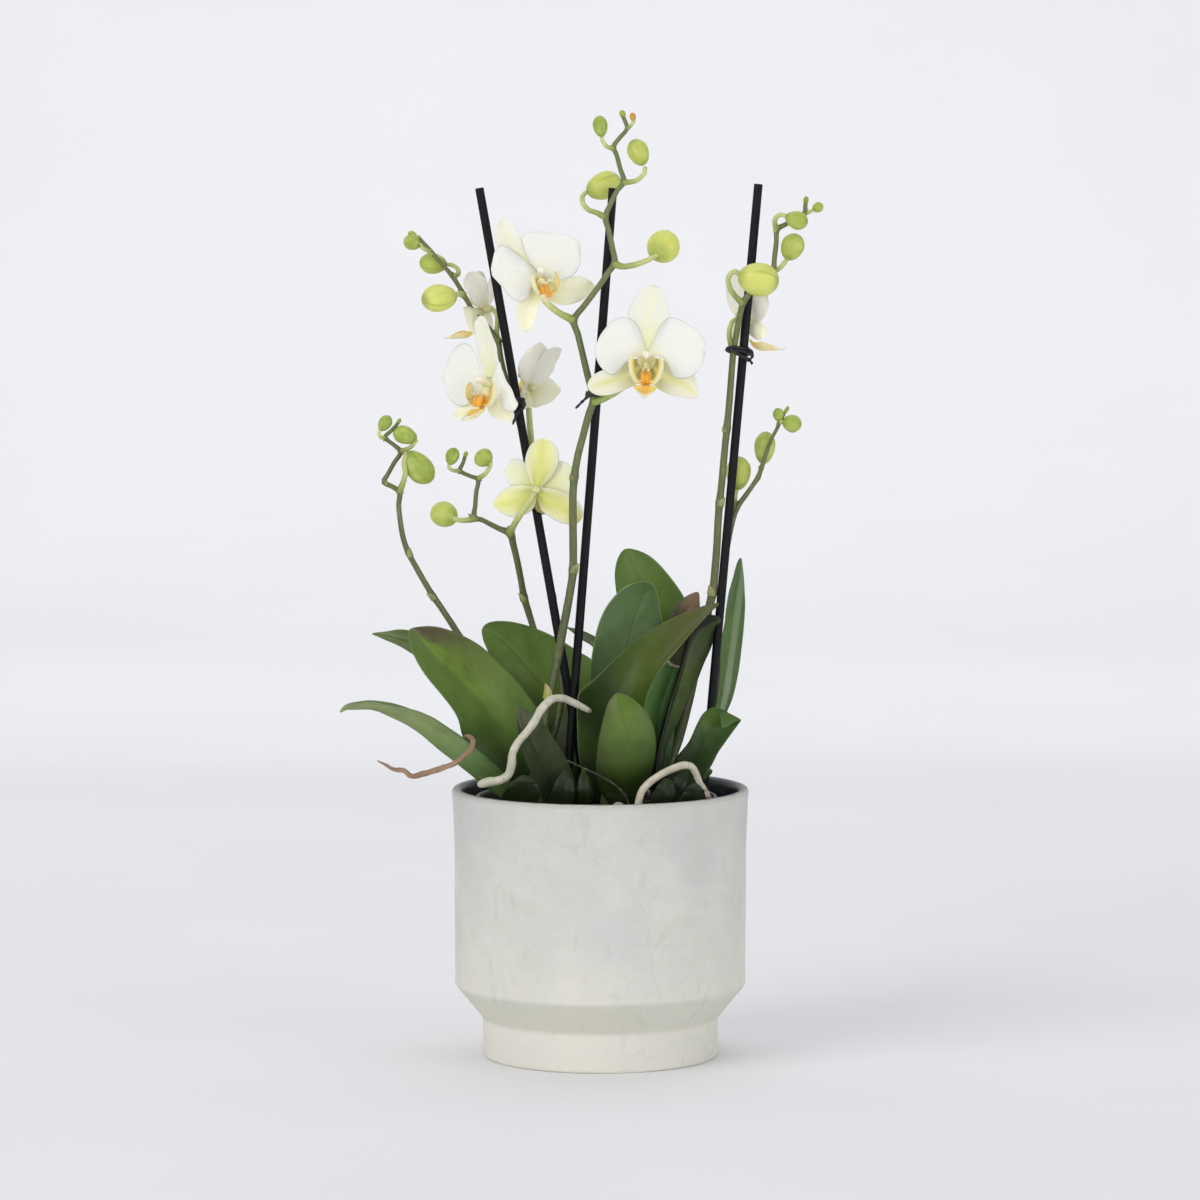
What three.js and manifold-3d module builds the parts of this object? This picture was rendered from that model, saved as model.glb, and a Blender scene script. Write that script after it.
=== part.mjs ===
// Potted multiflora moth orchid: three flowering stems and three side stems with flowers and buds, fifteen leaves and
// aerial roots, growing from bark in a thin inner pot that stands in a plain stoneware outer pot.
// Millimetres, +Z up, origin in the middle of the flat underside of the outer pot, -Y is the front.
import * as THREE from "three";
import { mergeVertices } from "three/addons/utils/BufferGeometryUtils.js";
import Module from "manifold-3d";

// ---------------------------------------------------------------- driving dimensions (mm)
const POT_H = 131.8; // height of the outer pot
const RIM_R = 72.5; // outer radius at the rim
const RIM_INNER_R = 67.5; // inner radius at the rim
const WALL_R = 71.1; // outer radius of the wall
const FOOT_R = 57.5; // radius of the foot
const NECK_Z = 19.0; // top of the upright foot
const SHOULDER_Z = 35.5; // top of the chamfer
const FLOOR_T = 6.0; // thickness of the pot's floor
const GROW_X = -2.0; // the inner pot stands a little off centre
const GROW_R0 = 46.0; // outer radius of the inner pot at its base
const GROW_R1 = 59.0; // outer radius of the inner pot at its rim
const GROW_Z0 = FLOOR_T + 0.35; // the inner pot's underside
const GROW_Z1 = 127.5; // the inner pot's rim
const GROW_T = 1.5; // wall of the inner pot
const DRAIN_R = 8.0; // drain hole in the inner pot's floor
const BARK_Z = 123.6; // top of the bark
const STAKE_R = 2.1; // support stakes
const CLIP_R = 0.85; // clip wire
const PETAL_T = 0.8; // thickness of sepals and petals
const GAP = 0.3; // gap kept between neighbouring pieces

const STAKES = [
  {name: "stake_left",foot: [8.45,2.72,42.0],b: [-58.89,16.0,423.3]},
  {name: "stake_middle",foot: [-23.18,0.0,42.0],b: [6.14,0.0,423.46]},
  {name: "stake_right",foot: [43.04,7.05,42.0],b: [76.54,2.0,425.37]},
];
const SPIKES = [
  {name: "spike_middle",main: [[-32.32,-5.0,134.8,2.25],[-26.93,-5.0,167.15,2.18],[-13.24,-9.0,237.82,1.95],[-12.5,-9.0,284.46,1.82],
    [-10.8,-9.0,294.65,1.78],[-3.53,-7.5,321.22,1.68],[-12.72,-7.0,359.89,1.52],[6.86,-7.0,387.4,1.38],[2.51,-7.0,409.57,1.28],
    [8.06,-7.0,422.08,1.22],[11.19,-7.0,426.65,1.18],[6.37,-6.0,443.24,1.08],[12.87,-6.0,452.12,1.02],
    [10.46,-6.0,459.09,0.95]],branches: [[[-12.72,-7.0,359.89,1.75],[-18.52,-6.5,362.53,1.68],[-23.36,-5.5,365.88,1.6],[-26.51,-5.0,369.0,1.52],
    [-28.43,-5.6,372.4,1.45]],[[-3.29,-7.5,320.25,1.75],[0.82,-9.0,321.53,1.69],[11.94,-11.0,328.16,1.57],[17.24,-12.5,332.57,1.51],
    [20.84,-15.0,336.06,1.45]],[[6.86,-7.0,386.92,1.6],[10.48,-8.0,385.74,1.52],[15.3,-10.0,386.27,1.44],[27.05,-15.5,391.45,1.2]],
    [[2.27,-7.0,409.57,1.35],[-1.59,-6.0,411.48,1.31],[-5.95,-3.0,413.12,1.27],[-8.47,1.0,416.21,1.23],[-8.63,5.0,419.06,1.19],
    [-7.18,8.0,421.2,1.15]],[[11.19,-7.0,426.41,1.3],[14.81,-7.0,426.41,1.25],[18.19,-7.0,427.61,1.2],[20.98,-7.0,430.26,1.15],
    [21.7,-7.0,433.38,1.1]],[[6.37,-6.0,442.75,1.15],[3.47,-6.0,443.24,1.08],[0.68,-6.0,447.8,0.95]],[[12.87,-6.0,452.12,0.95],
    [16.15,-6.0,455.73,0.85]]]},
  {name: "spike_left",main: [[-29.0,4.0,135.69,1.85],[-25.61,8.0,148.02,1.82],[-21.22,11.4,162.42,1.79],[-18.52,13.0,178.02,1.75],
    [-19.49,13.1,195.24,1.72],[-23.44,13.2,223.75,1.69],[-36.8,15.7,297.1,1.53],[-41.86,16.5,317.6,1.46],[-47.12,16.9,333.7,1.4],
    [-49.94,17.3,348.82,1.34],[-54.55,16.5,355.19,1.3],[-61.56,14.5,362.57,1.24],[-72.16,11.5,380.9,1.11],
    [-88.11,10.0,399.13,0.95]],branches: [[[-43.03,16.6,321.02,1.7],[-47.67,11.0,320.8,1.62],[-52.18,5.0,322.06,1.53],[-54.98,-0.5,324.27,1.45]],
    [[-49.94,17.3,348.82,1.35],[-50.68,19.2,361.92,1.2],[-53.14,20.0,364.83,1.15],[-55.35,20.8,365.78,1.1]],[[-34.41,15.3,284.89,1.75],
    [-34.0,18.5,291.55,1.69],[-33.92,20.5,300.26,1.62],[-34.9,22.0,315.37,1.5]],[[-66.7,12.5,371.63,1.5],[-70.35,6.8,371.56,1.35]],
    [[-71.43,11.5,380.41,1.2],[-69.16,14.0,381.56,1.16],[-69.57,16.8,383.92,1.12],[-71.84,18.2,385.59,1.09],[-74.53,18.4,386.07,1.05]],
    [[-82.55,10.3,392.82,1.15],[-87.36,9.0,395.03,1.0]],[[-88.11,10.0,399.13,0.95],[-89.81,10.0,400.34,0.9]]]},
  {name: "spike_right",main: [[31.22,9.0,131.64,2.3],[38.37,14.0,153.26,2.23],[41.07,15.0,163.02,2.19],[45.46,15.0,181.76,2.11],
    [47.39,14.0,191.71,2.08],[53.06,6.0,219.47,1.97],[54.88,5.0,226.9,1.93],[58.06,2.6,270.57,1.78],[64.63,1.2,345.06,1.52],[65.91,0.4,352.37,1.48],
    [69.29,-4.0,368.49,1.41],[77.71,-4.8,378.66,1.33],[83.25,-5.0,383.01,1.3],[85.61,-5.0,403.75,1.19],[98.67,-4.0,411.21,1.07],
    [99.37,-4.0,418.2,1.0]],branches: [[[64.49,1.2,345.55,1.35],[62.86,2.5,349.87,1.29],[62.81,5.0,355.11,1.23],[64.53,8.0,358.89,1.16],
    [67.28,11.0,360.49,1.1]],[[68.81,-4.0,368.01,1.35],[62.64,-8.5,375.14,1.28],[61.61,-11.0,379.07,1.25],[62.76,-13.0,382.49,1.22],
    [65.13,-14.5,383.49,1.18],[66.8,-15.2,382.07,1.15]],[[83.25,-5.0,383.01,1.25],[86.15,-5.0,384.46,1.2],[90.25,-5.0,389.04,1.1]],
    [[85.37,-5.0,403.75,1.25],[84.27,-6.0,406.42,1.21],[84.68,-8.0,409.1,1.18],[86.88,-10.0,410.67,1.14],[89.48,-11.5,410.21,1.1]],
    [[98.67,-4.0,411.21,0.95],[102.77,-4.0,412.99,0.85]]]},
  {name: "side_spike_outer_left",main: [[-34.82,0.0,137.64,1.75],[-51.02,7.5,172.69,1.68],[-58.86,9.5,188.22,1.65],[-65.68,9.5,200.01,1.61],
    [-81.66,6.5,224.81,1.47],[-93.52,5.5,245.94,1.37],[-96.02,5.0,253.31,1.33],[-97.5,5.0,262.11,1.3],[-97.8,5.0,275.78,1.23],
    [-105.33,5.0,280.65,1.16],[-97.25,5.0,295.28,1.06],[-104.77,5.0,302.59,0.95],[-97.54,5.0,310.63,0.85]],branches: [[[-97.65,5.0,276.02,1.45],
    [-94.76,0.0,284.87,1.35],[-95.24,-1.2,290.3,1.3],[-94.57,-0.6,294.15,1.25]],[[-97.25,5.0,295.77,1.05],[-93.84,5.0,296.74,1.02],
    [-89.39,5.0,301.13,0.95]],[[-104.77,5.0,302.35,0.95],[-106.71,5.0,302.35,0.92],[-107.68,5.0,304.3,0.88],[-107.04,5.0,306.24,0.85]]]},
  {name: "side_spike_inner_left",main: [[-29.04,7.0,134.34,1.9],[-26.65,14.0,145.85,1.85],[-24.25,21.0,159.89,1.81],[-25.27,26.0,174.21,1.76],
    [-27.99,28.5,188.81,1.72],[-31.18,28.5,201.18,1.67],[-33.87,27.5,210.17,1.63],[-37.5,24.5,222.78,1.72],[-40.81,17.5,241.57,1.6],
    [-44.21,11.0,255.31,1.8],[-58.24,10.0,261.99,1.2],[-61.41,10.0,262.73,1.3],[-59.67,10.0,281.56,1.03],[-68.44,10.0,285.95,0.94],
    [-65.49,10.0,294.26,0.85]],branches: [[[-44.35,11.0,255.31,1.65],[-40.06,2.6,263.01,1.55],[-37.09,-0.6,267.62,1.5],[-34.15,-2.2,272.11,1.45],
    [-31.71,-2.4,275.78,1.4]],[[-61.41,10.0,262.48,1.4],[-65.51,8.0,261.74,1.33],[-71.49,3.6,262.94,1.2]],[[-59.42,10.0,282.04,1.15],
    [-56.47,9.0,284.06,1.1],[-53.26,7.4,290.26,1.0]],[[-68.44,10.0,285.95,0.95],[-71.61,10.0,285.95,0.92],[-73.7,10.0,287.08,0.88],
    [-73.7,10.0,289.13,0.85]]]},
  {name: "side_spike_right",main: [[50.13,11.0,129.91,1.7],[51.82,11.5,148.61,1.65],[58.64,9.2,222.62,1.49],[63.05,8.5,254.52,1.38],
    [66.77,8.2,267.99,1.28],[76.94,7.0,282.97,1.12],[82.16,7.0,298.58,0.96],[91.36,7.0,316.85,0.7]],branches: [[[66.29,8.2,267.74,1.2],
    [66.4,11.6,275.83,1.1]],[[78.44,7.0,287.36,1.25],[79.51,12.0,289.2,1.15]],[[87.3,7.0,309.55,1.05],[88.83,6.5,310.35,1.0]],[[87.3,7.0,309.55,0.9],
    [87.2,7.0,310.47,0.85]]]},
];
const BUDS = [
  {spike: "spike_middle",name: "bud_middle_1",a: [27.05,-15.5,391.93],b: [33.24,-1.5,398.14],r: 7.9,own: 1},
  {spike: "spike_middle",name: "bud_middle_2",a: [-6.46,9.2,421.19],b: [9.33,12.0,427.46],r: 6.7,own: 1},
  {spike: "spike_middle",name: "bud_middle_3",a: [21.08,-7.0,434.49],b: [15.76,-7.0,446.36],r: 5.05,own: 1},
  {spike: "spike_middle",name: "bud_middle_4",a: [0.72,-6.0,448.04],b: [-0.63,-6.0,457.89],r: 3.55,own: 0},
  {spike: "spike_middle",name: "bud_middle_5",a: [16.15,-6.0,455.49],b: [15.28,-6.0,459.57],r: 1.55,own: 0},
  {spike: "spike_middle",name: "bud_middle_6",a: [11.43,-6.0,457.17],b: [10.12,-6.0,460.77],r: 1.45,own: 0},
  {spike: "spike_left",name: "bud_left_1",a: [-70.07,5.5,371.21],b: [-85.58,-3.0,369.19],r: 6.6,own: 1},
  {spike: "spike_left",name: "bud_left_2",a: [-74.78,18.5,385.83],b: [-87.71,19.0,387.28],r: 5.1,own: 0},
  {spike: "spike_left",name: "bud_left_3",a: [-87.6,9.0,395.17],b: [-94.94,8.0,398.68],r: 3.75,own: 0},
  {spike: "spike_left",name: "bud_left_4",a: [-89.32,10.0,399.86],b: [-93.21,10.0,401.8],r: 1.6,own: 0},
  {spike: "spike_right",name: "bud_right_1",a: [66.31,-15.5,381.35],b: [85.29,-17.0,378.36],r: 8.1,own: 1},
  {spike: "spike_right",name: "bud_right_2",a: [90.25,-5.0,388.9],b: [95.29,-5.0,400.86],r: 5.6,own: 1},
  {spike: "spike_right",name: "bud_right_3",a: [89.22,-12.0,409.64],b: [99.57,-12.5,406.77],r: 4.4,own: 0},
  {spike: "spike_right",name: "bud_right_4",a: [102.53,-4.0,412.9],b: [107.36,-4.0,415.31],r: 2.5,own: 0},
  {spike: "spike_right",name: "bud_right_5",a: [99.09,-4.0,415.31],b: [99.61,-4.0,419.4],r: 1.25,own: 0},
  {spike: "side_spike_outer_left",name: "bud_outer_left_1",a: [-94.41,0.6,295.05],b: [-82.73,6.5,281.29],r: 6.5,own: 1},
  {spike: "side_spike_outer_left",name: "bud_outer_left_2",a: [-89.3,5.0,301.47],b: [-100.38,5.0,305.27],r: 4.35,own: 0},
  {spike: "side_spike_outer_left",name: "bud_outer_left_3",a: [-107.09,5.0,305.76],b: [-102.54,5.0,312.57],r: 3.2,own: 0},
  {spike: "side_spike_outer_left",name: "bud_outer_left_4",a: [-99.15,5.0,308.68],b: [-97.05,5.0,311.46],r: 0.95,own: 0},
  {spike: "side_spike_inner_left",name: "bud_inner_left_1",a: [-71.0,3.4,262.95],b: [-80.79,13.5,265.91],r: 6.2,own: 1},
  {spike: "side_spike_inner_left",name: "bud_inner_left_2",a: [-53.75,7.4,289.29],b: [-59.62,9.0,294.8],r: 4.75,own: 0},
  {spike: "side_spike_inner_left",name: "bud_inner_left_3",a: [-73.55,10.0,288.74],b: [-70.85,10.0,296.7],r: 3.3,own: 0},
  {spike: "side_spike_inner_left",name: "bud_inner_left_4",a: [-66.18,10.0,292.06],b: [-65.15,10.0,295.23],r: 1.1,own: 0},
  {spike: "side_spike_right",name: "bud_side_right_1",a: [66.66,12.0,276.15],b: [67.99,14.0,292.07],r: 6.0,own: 0},
  {spike: "side_spike_right",name: "bud_side_right_2",a: [79.44,12.8,288.96],b: [81.16,14.5,304.26],r: 5.1,own: 0},
  {spike: "side_spike_right",name: "bud_side_right_3",a: [88.68,6.3,310.32],b: [97.44,6.0,308.14],r: 4.3,own: 0},
  {spike: "side_spike_right",name: "bud_side_right_4",a: [87.25,7.0,310.03],b: [86.25,7.0,316.37],r: 2.7,own: 0},
  {spike: "side_spike_right",name: "bud_side_right_5",a: [89.18,7.0,313.2],b: [91.75,7.0,317.44],r: 0.95,own: 0},
];
const CLIPS = [
  
    {name: "clip_left",stake: [-40.52,12.38,319.29],stem: [-42.4,16.55,319.29],axis: [-1.74,0.34,9.84],reach: 3.3,rise: 1.2,tails: [[[-37.63,7.6,320.97,0.9],
    [-37.13,6.8,318.57,1.0],[-37.89,8.2,316.06,0.9]],[[-39.61,9.5,315.02,0.75],[-41.32,9.5,312.1,0.7],[-42.56,10.5,308.63,0.6]]]},
  
    {name: "clip_middle",stake: [-1.58,0.0,322.98],stem: [-3.82,-7.5,322.98],axis: [0.77,0.0,9.97],reach: 3.3,rise: 1.0,tails: [[[-1.59,-12.0,324.82,0.75],
    [-4.98,-12.6,323.88,0.75],[-8.36,-12.8,320.99,0.72],[-11.74,-12.6,317.6,0.62]],[[0.34,-11.0,325.26,0.75],[2.27,-8.0,324.15,0.8],
    [3.73,-5.0,322.55,0.75]]]},
  {name: "clip_right",stake: [69.39,3.08,343.58],stem: [64.5,1.2,343.58],axis: [0.87,-0.13,9.96],reach: 3.3,rise: 1.3,tails: [[[62.6,-2.6,346.67,0.8],
    [65.24,-3.6,344.29,0.8],[68.64,-3.6,342.11,0.8],[72.07,-2.4,340.6,0.8],[73.55,-1.6,338.63,0.7]],[[71.11,-1.2,346.37,0.75],[73.8,-0.6,343.68,0.75],
    [73.3,-1.4,341.29,0.75],[71.58,-2.3,339.87,0.7]]]},
];
const ROOTS = [
  {name: "aerial_root_left",pts: [[-57.27,-34.0,137.32,1.9],[-54.11,-35.0,138.41,2.05],[-48.79,-36.0,139.26,2.1],[-44.43,-37.0,142.04,2.1],
    [-42.73,-37.5,146.95,2.05],[-42.24,-37.5,152.27,2.0],[-39.6,-37.0,157.78,1.95],[-35.18,-36.0,162.99,1.95],[-31.69,-34.0,167.62,1.95],
    [-29.31,-31.0,171.89,1.9],[-26.2,-28.0,175.45,1.9],[-22.85,-25.0,177.66,1.85],[-18.28,-22.0,177.59,1.8],[-14.19,-19.0,175.72,1.8],
    [-5.72,-16.5,171.17,1.35]]},
  {name: "aerial_root_front",pts: [[17.87,-44.0,119.18,1.8],[18.49,-44.0,130.31,1.8],[20.03,-43.0,135.02,1.85],[23.41,-41.0,138.65,1.85],
    [28.73,-38.0,142.16,1.85],[34.54,-35.0,144.71,1.85],[40.37,-32.0,146.16,1.8],[44.02,-30.0,145.1,1.75],[46.23,-28.0,141.46,1.75],
    [47.95,-27.0,136.96,1.75],[53.08,-25.0,128.44,1.6]]},
  {name: "dry_root",pts: [[-66.74,-20.0,157.91,0.6],[-64.91,-25.0,159.34,0.86],[-62.42,-32.0,159.64,1.07],[-61.25,-37.0,157.78,1.12],
    [-62.65,-39.0,154.38,1.12],[-66.0,-40.0,151.35,1.12],[-70.31,-41.0,148.08,1.2],[-84.26,-41.0,143.34,1.29],[-90.75,-41.0,142.03,1.2],
    [-94.59,-41.0,144.69,1.12],[-99.19,-40.0,145.06,0.86],[-106.95,-38.0,148.94,0.34]]},
  {name: "thin_root",pts: [[-15.83,-30.0,148.25,0.45],[-0.14,-37.0,141.56,0.55],[6.11,-40.0,138.28,0.55],[11.39,-42.0,133.45,0.5],
    [13.79,-43.0,128.73,0.45]]},
];
const CROWNS = [
  {name: "crown_left",pts: [[-31.88,-3.0,113.92,8.5],[-31.88,-2.0,125.6,9.0],[-30.91,0.0,134.2,7.0],[-29.94,1.0,140.96,4.0]]},
  {name: "crown_centre",pts: [[5.72,2.0,113.28,9.0],[6.21,2.0,123.62,9.5],[8.17,4.0,133.72,7.5],[9.64,6.0,141.85,4.5]]},
  {name: "crown_right",pts: [[38.03,4.0,113.03,8.0],[37.53,4.0,123.38,8.5],[38.03,6.0,132.0,6.5],[39.02,7.0,139.27,4.0]]},
];
const LEAVES = [
  {name: "leaf_far_left",L: [[-36.56,-16.0,128.79],[-46.11,-24.0,140.5],[-55.68,-28.0,150.21],[-62.87,-30.0,156.26],[-72.44,-32.0,163.52],
    [-82.0,-34.0,169.55],[-91.58,-35.0,173.77],[-101.2,-35.0,175.95],[-110.82,-35.0,177.4],[-118.57,-34.0,176.81],[-122.96,-33.0,175.01],
    [-125.43,-32.0,172.0]],R: [[-40.02,-12.0,123.89],[-51.67,-13.0,129.89],[-62.32,-14.0,138.82],[-70.05,-15.0,145.04],[-77.77,-16.0,151.26],
    [-87.38,-18.0,160.03],[-96.98,-20.0,166.33],[-106.52,-23.0,170.55],[-113.64,-26.0,172.18],[-119.78,-29.0,172.75],[-123.06,-31.0,172.86],
    [-125.43,-32.0,172.0]],th: 1.7,blunt: 0,M: [[-38.29,-13.52,127.79],[-47.94,-17.01,136.29],[-57.42,-19.56,145.74],[-67.55,-21.67,154.5],
    [-78.01,-23.64,162.64],[-88.97,-25.82,169.61],[-101.11,-27.74,174.02],[-113.79,-30.09,175.67],[-125.43,-32.0,172.0]]},
  {name: "leaf_left_large",L: [[-35.2,-9.0,124.99],[-47.3,-12.0,136.13],[-58.39,-15.0,146.26],[-66.29,-18.5,157.4],[-69.3,-23.0,167.88],
    [-75.71,-26.0,178.16],[-82.14,-28.0,187.58],[-87.89,-28.5,196.35],[-91.28,-27.5,202.55],[-92.83,-24.0,207.55],
    [-92.07,-18.0,210.88]],R: [[-21.62,-2.0,125.6],[-21.13,-1.0,142.67],[-25.03,0.0,161.21],[-30.9,2.0,170.81],[-39.21,4.0,181.89],[-48.98,5.0,192.1],
    [-58.7,3.5,201.07],[-68.36,0.0,206.79],[-77.94,-5.0,210.18],[-85.52,-11.0,211.31],
    [-92.07,-18.0,210.88]],th: 1.7,blunt: 0,M: [[-28.41,-3.33,124.33],[-33.28,-2.96,136.71],[-39.99,-3.08,149.06],[-48.05,-3.16,161.3],
    [-55.51,-4.7,173.79],[-64.73,-7.11,185.68],[-75.07,-10.98,196.52],[-85.53,-15.75,205.49],[-92.07,-18.0,210.88]]},
  {name: "leaf_left_rear",L: [[-29.52,6.0,124.61],[-38.42,14.0,150.79],[-53.2,19.0,174.93],[-70.92,22.0,195.87],[-86.13,22.0,204.26],
    [-97.38,21.0,207.16],[-105.16,19.0,206.6],[-111.95,17.0,205.21]],R: [[-34.34,0.0,124.36],[-47.57,4.0,149.47],[-62.75,7.0,169.79],
    [-77.44,9.0,186.3],[-90.69,11.0,195.69],[-99.56,13.0,200.17],[-106.0,15.0,202.69],
    [-111.95,17.0,204.72]],th: 1.7,blunt: 0,M: [[-31.93,3.96,123.04],[-37.8,7.75,136.01],[-44.06,11.18,149.08],[-52.56,13.6,161.44],
    [-61.65,15.51,173.72],[-71.67,16.79,185.68],[-83.91,17.41,195.32],[-97.68,17.61,202.41],[-111.95,17.0,204.97]]},
  {name: "leaf_centre_left_rear",L: [[-7.52,17.0,123.25],[-0.15,24.0,152.14],[2.81,27.0,176.58],[-3.1,28.0,190.34],[-10.98,28.0,195.79],
    [-19.84,27.0,201.42],[-27.21,26.0,205.37],[-36.05,25.0,208.77],[-45.37,24.0,210.83],[-52.73,23.0,210.83],[-56.39,22.0,209.44],
    [-58.08,20.5,207.35]],R: [[-16.82,10.0,123.12],[-20.73,10.0,139.9],[-28.55,9.5,155.24],[-38.33,9.5,169.52],[-47.13,10.0,182.27],
    [-53.01,11.0,192.0],[-56.49,14.0,199.59],[-57.79,18.0,204.13],[-58.08,20.5,207.35]],th: 1.7,blunt: 0,M: [[-12.17,15.19,122.22],
    [-11.56,17.98,135.48],[-11.93,20.26,148.65],[-13.84,21.4,162.04],[-19.1,22.0,174.93],[-28.53,21.69,185.61],[-38.98,20.39,195.29],
    [-49.56,19.91,203.51],[-58.08,20.5,207.35]]},
  {name: "leaf_low_dark",L: [[-25.39,-16.0,125.86],[-32.63,-19.0,138.44],[-37.42,-22.0,151.46],[-40.29,-23.0,162.28],[-41.02,-22.0,168.98],
    [-39.6,-20.0,173.15]],R: [[-9.88,-11.0,125.24],[-12.79,-11.0,138.46],[-18.61,-12.0,151.29],[-25.87,-14.0,161.78],[-32.62,-17.0,169.18],
    [-39.6,-20.0,173.15]],th: 1.7,blunt: 0,M: [[-17.64,-12.05,125.07],[-20.02,-11.94,131.2],[-22.54,-12.11,137.37],[-25.31,-12.81,143.59],
    [-28.1,-13.94,149.87],[-31.15,-15.39,156.08],[-34.24,-17.19,162.24],[-37.19,-18.85,168.2],[-39.6,-20.0,173.15]]},
  {name: "leaf_front",L: [[4.7,-20.0,124.89],[-0.15,-25.0,133.31],[-2.08,-28.0,142.43],[-1.59,-30.0,153.35],[-0.14,-31.0,162.68],[2.27,-31.0,171.41],
    [4.67,-31.0,177.71],[8.05,-31.0,181.1]],R: [[16.34,-20.0,124.89],[22.11,-25.0,133.8],[25.46,-28.0,144.37],[26.89,-29.0,154.21],
    [25.9,-30.0,163.54],[22.51,-31.0,171.41],[16.72,-31.0,177.23],[11.9,-31.0,180.37],[8.05,-31.0,181.1]],th: 1.7,blunt: 0,M: [[10.52,-22.89,125.37],
    [10.93,-28.05,131.89],[11.34,-31.93,139.15],[11.94,-34.34,146.96],[12.56,-35.3,154.99],[12.57,-35.41,162.91],[11.66,-34.68,170.33],
    [9.74,-32.94,176.69],[8.05,-31.0,181.1]]},
  {name: "leaf_centre_long",L: [[-5.99,-7.0,124.74],[-9.88,-9.0,143.61],[-11.33,-9.5,161.77],[-10.35,-9.0,178.82],[-5.49,-8.0,183.36],
    [-0.15,-6.5,187.85],[5.69,-4.0,193.71],[14.47,-1.0,201.25],[24.22,1.0,208.41],[34.94,1.0,214.28],[46.1,-1.0,218.86],[52.39,-3.0,221.47],
    [57.45,-5.0,222.38]],R: [[17.35,-13.0,125.49],[19.74,-17.0,144.55],[20.68,-19.0,162.82],[22.12,-20.0,177.53],[26.95,-20.0,187.74],
    [33.24,-19.0,196.88],[40.04,-17.0,204.47],[46.86,-14.0,211.73],[52.74,-10.0,217.7],[57.45,-5.0,222.38]],th: 1.7,blunt: 0,M: [[1.81,-2.0,124.12],
    [-2.59,-1.0,142.67],[-4.05,0.0,160.72],[0.34,0.0,175.93],[8.63,1.0,186.12],[17.89,1.0,194.94],[27.14,0.0,202.14],[37.34,-2.0,208.93],
    [47.03,-4.0,215.46],[52.84,-5.0,219.45],[57.45,-5.0,222.38]]},
  {name: "leaf_centre_upright",L: [[1.32,7.0,124.48],[-2.11,12.0,142.63],[-4.56,15.0,162.03],[-5.15,17.0,180.08],[-4.32,18.0,194.77],
    [-1.13,19.0,209.46],[3.29,19.0,219.07],[9.17,19.0,225.71],[15.05,19.0,229.65],[21.91,18.0,231.21]],R: [[17.5,9.0,125.22],[25.37,14.0,150.79],
    [30.79,18.0,175.04],[32.28,21.0,194.48],[30.81,23.0,209.1],[29.08,22.5,219.5],[27.83,21.0,225.54],[25.6,19.5,229.85],
    [21.91,18.0,231.21]],th: 1.7,blunt: 0,M: [[9.41,9.93,124.37],[10.1,14.23,137.9],[11.06,17.59,151.7],[11.94,20.04,165.86],[13.07,21.8,180.23],
    [14.3,22.85,194.8],[15.67,23.31,209.22],[18.69,21.87,222.66],[21.91,18.0,231.21]]},
  {name: "leaf_rear_tall",L: [[13.65,24.0,127.34],[11.72,36.0,159.74],[9.76,42.0,189.97],[9.51,45.0,213.57],[7.78,46.0,224.42],[7.18,46.5,232.83],
    [8.77,46.5,240.28],[12.23,46.0,244.79]],R: [[27.41,20.0,128.82],[43.23,28.0,169.04],[49.19,32.0,193.42],[46.23,34.0,210.58],[41.57,36.5,221.26],
    [34.94,40.0,231.37],[27.55,43.0,239.07],[20.15,45.5,243.59],[12.23,46.0,244.79]],th: 1.7,blunt: 0,M: [[20.53,23.93,127.6],[23.24,29.19,142.46],
    [25.96,34.14,157.41],[28.1,37.73,172.88],[29.58,40.47,188.75],[27.88,42.06,204.94],[23.82,44.12,220.27],[17.56,45.94,234.53],[12.23,46.0,244.79]]},
  {name: "leaf_rear_low",L: [[19.66,36.0,125.88],[16.72,44.0,155.88],[11.77,49.0,180.3],[4.32,51.0,195.08],[-5.11,50.0,202.16],[-11.07,49.0,204.49],
    [-16.77,48.0,206.08]],R: [[14.74,42.0,125.15],[10.3,51.0,153.1],[5.33,55.5,175.65],[-0.15,56.0,189.6],[-6.12,54.0,197.29],[-11.58,51.5,201.02],
    [-16.77,48.0,205.08]],th: 1.7,blunt: 0,M: [[17.2,39.48,126.48],[15.76,43.06,138.31],[14.32,46.56,149.99],[12.45,49.51,161.51],
    [10.04,51.79,172.86],[6.71,53.43,183.78],[1.71,53.98,194.03],[-6.88,51.78,201.2],[-16.77,48.0,205.58]]},
  {name: "leaf_brown_tip",L: [[31.29,15.0,128.44],[28.84,17.5,151.88],[28.35,19.5,171.43],[29.34,21.5,190.98],[31.8,23.0,205.64],[35.72,23.5,216.45],
    [41.12,23.5,222.62],[47.99,23.0,225.37]],R: [[36.75,19.0,127.95],[36.99,20.0,144.17],[40.68,20.5,152.53],[43.38,21.0,163.36],[45.34,21.6,175.16],
    [47.53,22.0,190.93],[48.51,23.0,205.64],[48.99,23.5,215.47],[48.84,23.5,220.89],[47.99,23.0,225.37]],th: 1.7,blunt: 0,M: [[34.02,17.96,128.19],
    [33.43,19.55,140.87],[34.6,20.95,153.2],[35.96,22.06,165.73],[37.15,22.97,178.36],[38.48,23.52,191.0],[40.14,24.08,203.59],[43.11,24.09,215.71],
    [47.99,23.0,225.37]]},
  {name: "leaf_broken_top",L: [[26.72,0.0,123.87],[22.31,0.0,144.03],[20.11,1.0,159.63],[20.84,2.0,171.3],[24.76,4.0,181.89],[28.68,5.5,188.86],
    [32.6,7.0,194.6]],R: [[34.61,5.0,123.25],[34.6,6.0,143.33],[36.56,7.5,158.91],[38.76,9.0,171.05],[40.23,9.5,179.37],
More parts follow.
